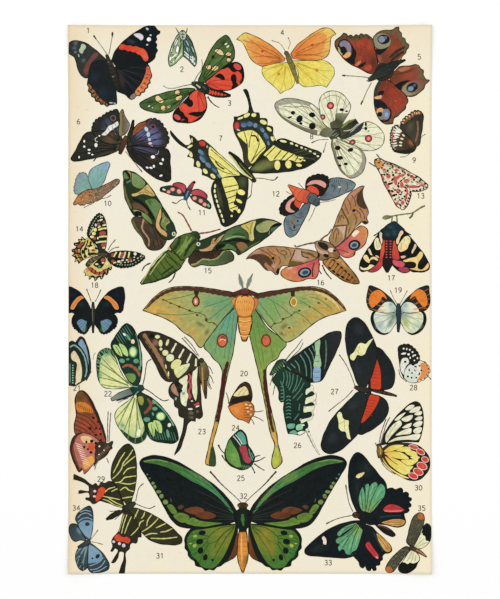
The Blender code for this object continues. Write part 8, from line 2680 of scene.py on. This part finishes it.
class InkSettings(bpy.types.PropertyGroup):
    """The printed inks."""

    film: FloatProperty(
        name="Film", description="Thickness of the film of ink on the paper", subtype="DISTANCE",
        min=0.000005, max=0.0001, default=0.00003)
    wear: FloatProperty(
        name="Wear", description="How far the paper shows through the grain of the inks", subtype="FACTOR",
        min=0.0, max=1.0, default=0.28)
    paper_show: FloatVectorProperty(
        name="Paper in the grain", description="Colour that shows through worn ink", subtype="COLOR", size=3,
        min=0.0, max=1.0, default=linear("d9cfb4"))
    number_colour: FloatVectorProperty(
        name="Numbers", description="Ink of the figure numbers", subtype="COLOR", size=3,
        min=0.0, max=1.0, default=linear("5a5342"))
    number_height: FloatProperty(
        name="Number height", description="Height of the figure numbers", subtype="DISTANCE",
        min=0.001, max=0.006, default=0.0026)


class StageSettings(bpy.types.PropertyGroup):
    """Floor, light and camera."""

    floor_colour: FloatVectorProperty(
        name="Floor", description="Colour of the floor", subtype="COLOR", size=3,
        min=0.0, max=1.0, default=(0.93, 0.93, 0.93))
    sky: FloatProperty(name="Sky", description="Strength of the even light", min=0.0, max=5.0, default=0.80)
    lamp: FloatProperty(
        name="Lamps", description="Power of each soft lamp", subtype="POWER", min=0.0, max=100.0, default=4.5)
    lens: FloatProperty(
        name="Lens", description="Focal length in millimetres", min=20.0, max=200.0, default=85.0)
    view_height: FloatProperty(
        name="View", description="Height of floor that the camera sees", subtype="DISTANCE",
        min=0.1, max=2.0, default=0.3134)


class MakeSheet(bpy.types.Operator):
    """Make the sheet of toned plate paper"""

    bl_idname = "chart.make_sheet"
    bl_label = "Sheet"

    def execute(self, context):
        settings = context.scene.chart_paper
        sheet = make_sheet(settings, context.scene.chart_ink.film)
        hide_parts("sheet")
        return {"FINISHED"}


def make_sheet(settings, film):
    """The sheet as one closed body, with its face a film's thickness below the face of the ink."""
    columns, rows = round(WIDTH * MM / settings.cell), round(HEIGHT * MM / settings.cell)
    shape = bmesh.new()
    bmesh.ops.create_grid(shape, x_segments=columns, y_segments=rows, size=0.5)
    flat = np.array([((v.co.x + 0.5) * WIDTH, (0.5 - v.co.y) * HEIGHT) for v in shape.verts])
    for vertex, place in zip(shape.verts, on_sheet(flat, 0.0)):
        vertex.co = place
    mesh = bpy.data.meshes.new("plate_paper_sheet")
    shape.to_mesh(mesh)
    shape.free()
    mesh.shade_smooth()
    sheet = link("plate_paper_sheet", mesh, paper_finish(settings))
    body = sheet.modifiers.new("paper_thickness", "SOLIDIFY")
    body.thickness = THICKNESS - film
    body.offset = 1.0
    body.use_even_offset = True
    return sheet


def print_figures(context, figures):
    """Prints some figures, each as its own film of ink."""
    settings = context.scene.chart_ink
    finish = bpy.data.materials.get("printing_ink") or ink_finish(settings)
    for name, draw in figures:
        plate = Plate(name)
        draw(plate)
        link(name, film_mesh(plate, settings.film), finish)


class PrintFigures:
    """What the operators of the figures share."""

    def execute(self, context):
        print_figures(context, [(draw.__name__, draw) for draw in self.figures])
        return {"FINISHED"}


class PrintTopRow(PrintFigures, bpy.types.Operator):
    """Print the figures of the top row"""

    bl_idname = "chart.print_top_row"
    bl_label = "Top row"
    figures = (red_admiral, folded_moth, jersey_moth, cleopatra, peacock)


class PrintSecondRow(PrintFigures, bpy.types.Operator):
    """Print the figures of the second row"""

    bl_idname = "chart.print_second_row"
    bl_label = "Second row"
    figures = (purple_emperor, swallowtail, apollo, chequered, small_blue)


class PrintThirdRow(PrintFigures, bpy.types.Operator):
    """Print the figures of the third row"""

    bl_idname = "chart.print_third_row"
    bl_label = "Third row"
    figures = (burnet, red_underwing, crimson_speckled, festoon, oleander_moth, eyed_moth, tiger_moth)


class PrintMiddleRow(PrintFigures, bpy.types.Operator):
    """Print the figures of the middle row"""

    bl_idname = "chart.print_middle_row"
    bl_label = "Middle row"
    figures = (orange_banded, orange_tip, spotted_white, edge_swallowtail, green_graph, swordtail,
               orange_hairstreak, green_hairstreak)


class PrintLowerRow(PrintFigures, bpy.types.Operator):
    """Print the figures of the lower row"""

    bl_idname = "chart.print_lower_row"
    bl_label = "Lower row"
    figures = (moon_moth, urania, heliconian, leopard_fritillary, milkweed)


class PrintBottomRow(PrintFigures, bpy.types.Operator):
    """Print the figures of the bottom row"""

    bl_idname = "chart.print_bottom_row"
    bl_label = "Bottom row"
    figures = (dragontail, slate_blue, green_birdwing, green_patched, orange_tipped)


class PrintNumbers(bpy.types.Operator):
    """Print the number of every figure"""

    bl_idname = "chart.print_numbers"
    bl_label = "Numbers"

    def execute(self, context):
        settings = context.scene.chart_ink
        plate = Plate("figure_numbers")
        for number, (x, y) in enumerate(NUMBER_PLACES, start=1):
            print_number(plate, number, x, y, settings.number_height / MM)
        for layer in plate.layers:
            layer.inks = [np.array(settings.number_colour)]
        link("figure_numbers", film_mesh(plate, settings.film), bpy.data.materials["printing_ink"])
        return {"FINISHED"}


class MakeStage(bpy.types.Operator):
    """Make the floor, the soft light and the camera that looks straight down"""

    bl_idname = "chart.make_stage"
    bl_label = "Stage"

    def execute(self, context):
        settings = context.scene.chart_stage
        make_floor(settings)
        make_light(context, settings)
        make_camera(context, settings)
        context.scene.view_settings.view_transform = "Standard"
        return {"FINISHED"}


def make_floor(settings):
    """A wide pale floor."""
    shape = bmesh.new()
    bmesh.ops.create_grid(shape, x_segments=FLOOR_CELLS, y_segments=FLOOR_CELLS, size=FLOOR_HALF_WIDTH)
    mesh = bpy.data.meshes.new("floor")
    shape.to_mesh(mesh)
    shape.free()
    floor = bpy.data.objects.new("floor", mesh)
    bpy.context.scene.collection.objects.link(floor)
    finish = Finish("floor_card", Specular_IOR_Level=0.1)
    soft = finish.noise(finish.place(), 0.01, 2.0)
    pale = rgba(settings.floor_colour)
    finish.colour(finish.mix(soft * 0.04, pale, (0.85, 0.85, 0.85, 1.0)))
    finish.roughness(0.9 + soft * 0.05)
    mesh.materials.append(finish.material)


def make_light(context, settings):
    """An even white sky and two broad lamps, one at each side."""
    world = bpy.data.worlds.new("studio")
    world.use_nodes = True
    background = world.node_tree.nodes["Background"]
    background.inputs["Color"].default_value = (1.0, 1.0, 1.0, 1.0)
    background.inputs["Strength"].default_value = settings.sky
    context.scene.world = world
    for name, side in (("lamp_left", -1), ("lamp_right", 1)):
        light = bpy.data.lights.new(name, "AREA")
        light.shape = "RECTANGLE"
        light.size = LAMP_WIDTH
        light.size_y = LAMP_DEPTH
        light.energy = settings.lamp
        lamp = bpy.data.objects.new(name, light)
        lamp.location = (side * LAMP_SIDE, LAMP_BACK, LAMP_HEIGHT)
        lamp.rotation_euler = (-lamp.location).to_track_quat("-Z", "Y").to_euler()
        context.scene.collection.objects.link(lamp)


def make_camera(context, settings):
    """A camera straight above the middle of the sheet, with the sheet's top towards the top of the view."""
    data = bpy.data.cameras.new("camera")
    data.lens = settings.lens
    data.sensor_width = SENSOR
    camera = bpy.data.objects.new("camera", data)
    distance = settings.view_height * settings.lens / SENSOR
    middle = (LOW + HIGH) / 2
    camera.location = (middle.x, middle.y, THICKNESS + distance)
    context.scene.collection.objects.link(camera)
    context.scene.camera = camera


OPERATORS = (MakeSheet, PrintTopRow, PrintSecondRow, PrintThirdRow, PrintMiddleRow, PrintLowerRow,
             PrintBottomRow, PrintNumbers, MakeStage)


class ChartPanel(bpy.types.Panel):
    """Lists the settings and the pieces of the chart"""

    bl_idname = "VIEW3D_PT_butterfly_chart"
    bl_label = "Butterfly Chart"
    bl_space_type = "VIEW_3D"
    bl_region_type = "UI"
    bl_category = "Butterfly Chart"

    def draw(self, context):
        for settings in (context.scene.chart_paper, context.scene.chart_ink, context.scene.chart_stage):
            box = self.layout.box()
            for name in settings.bl_rna.properties.keys():
                if name not in ("rna_type", "name"):
                    box.prop(settings, name)
        for operator in OPERATORS:
            self.layout.operator(operator.bl_idname)


SETTINGS = {"chart_paper": PaperSettings, "chart_ink": InkSettings, "chart_stage": StageSettings}
CLASSES = (*SETTINGS.values(), *OPERATORS, ChartPanel)


def register():
    """Adds the classes and the scene's settings."""
    for item in CLASSES:
        bpy.utils.register_class(item)
    for name, item in SETTINGS.items():
        setattr(bpy.types.Scene, name, PointerProperty(type=item))


def unregister():
    """Takes the settings and the classes away again."""
    for name in SETTINGS:
        delattr(bpy.types.Scene, name)
    for item in reversed(CLASSES):
        bpy.utils.unregister_class(item)


def main():
    """Builds the chart and its stage."""
    register()
    for operator in OPERATORS:
        group, name = operator.bl_idname.split(".")
        getattr(getattr(bpy.ops, group), name)()


if __name__ == "__main__":
    main()
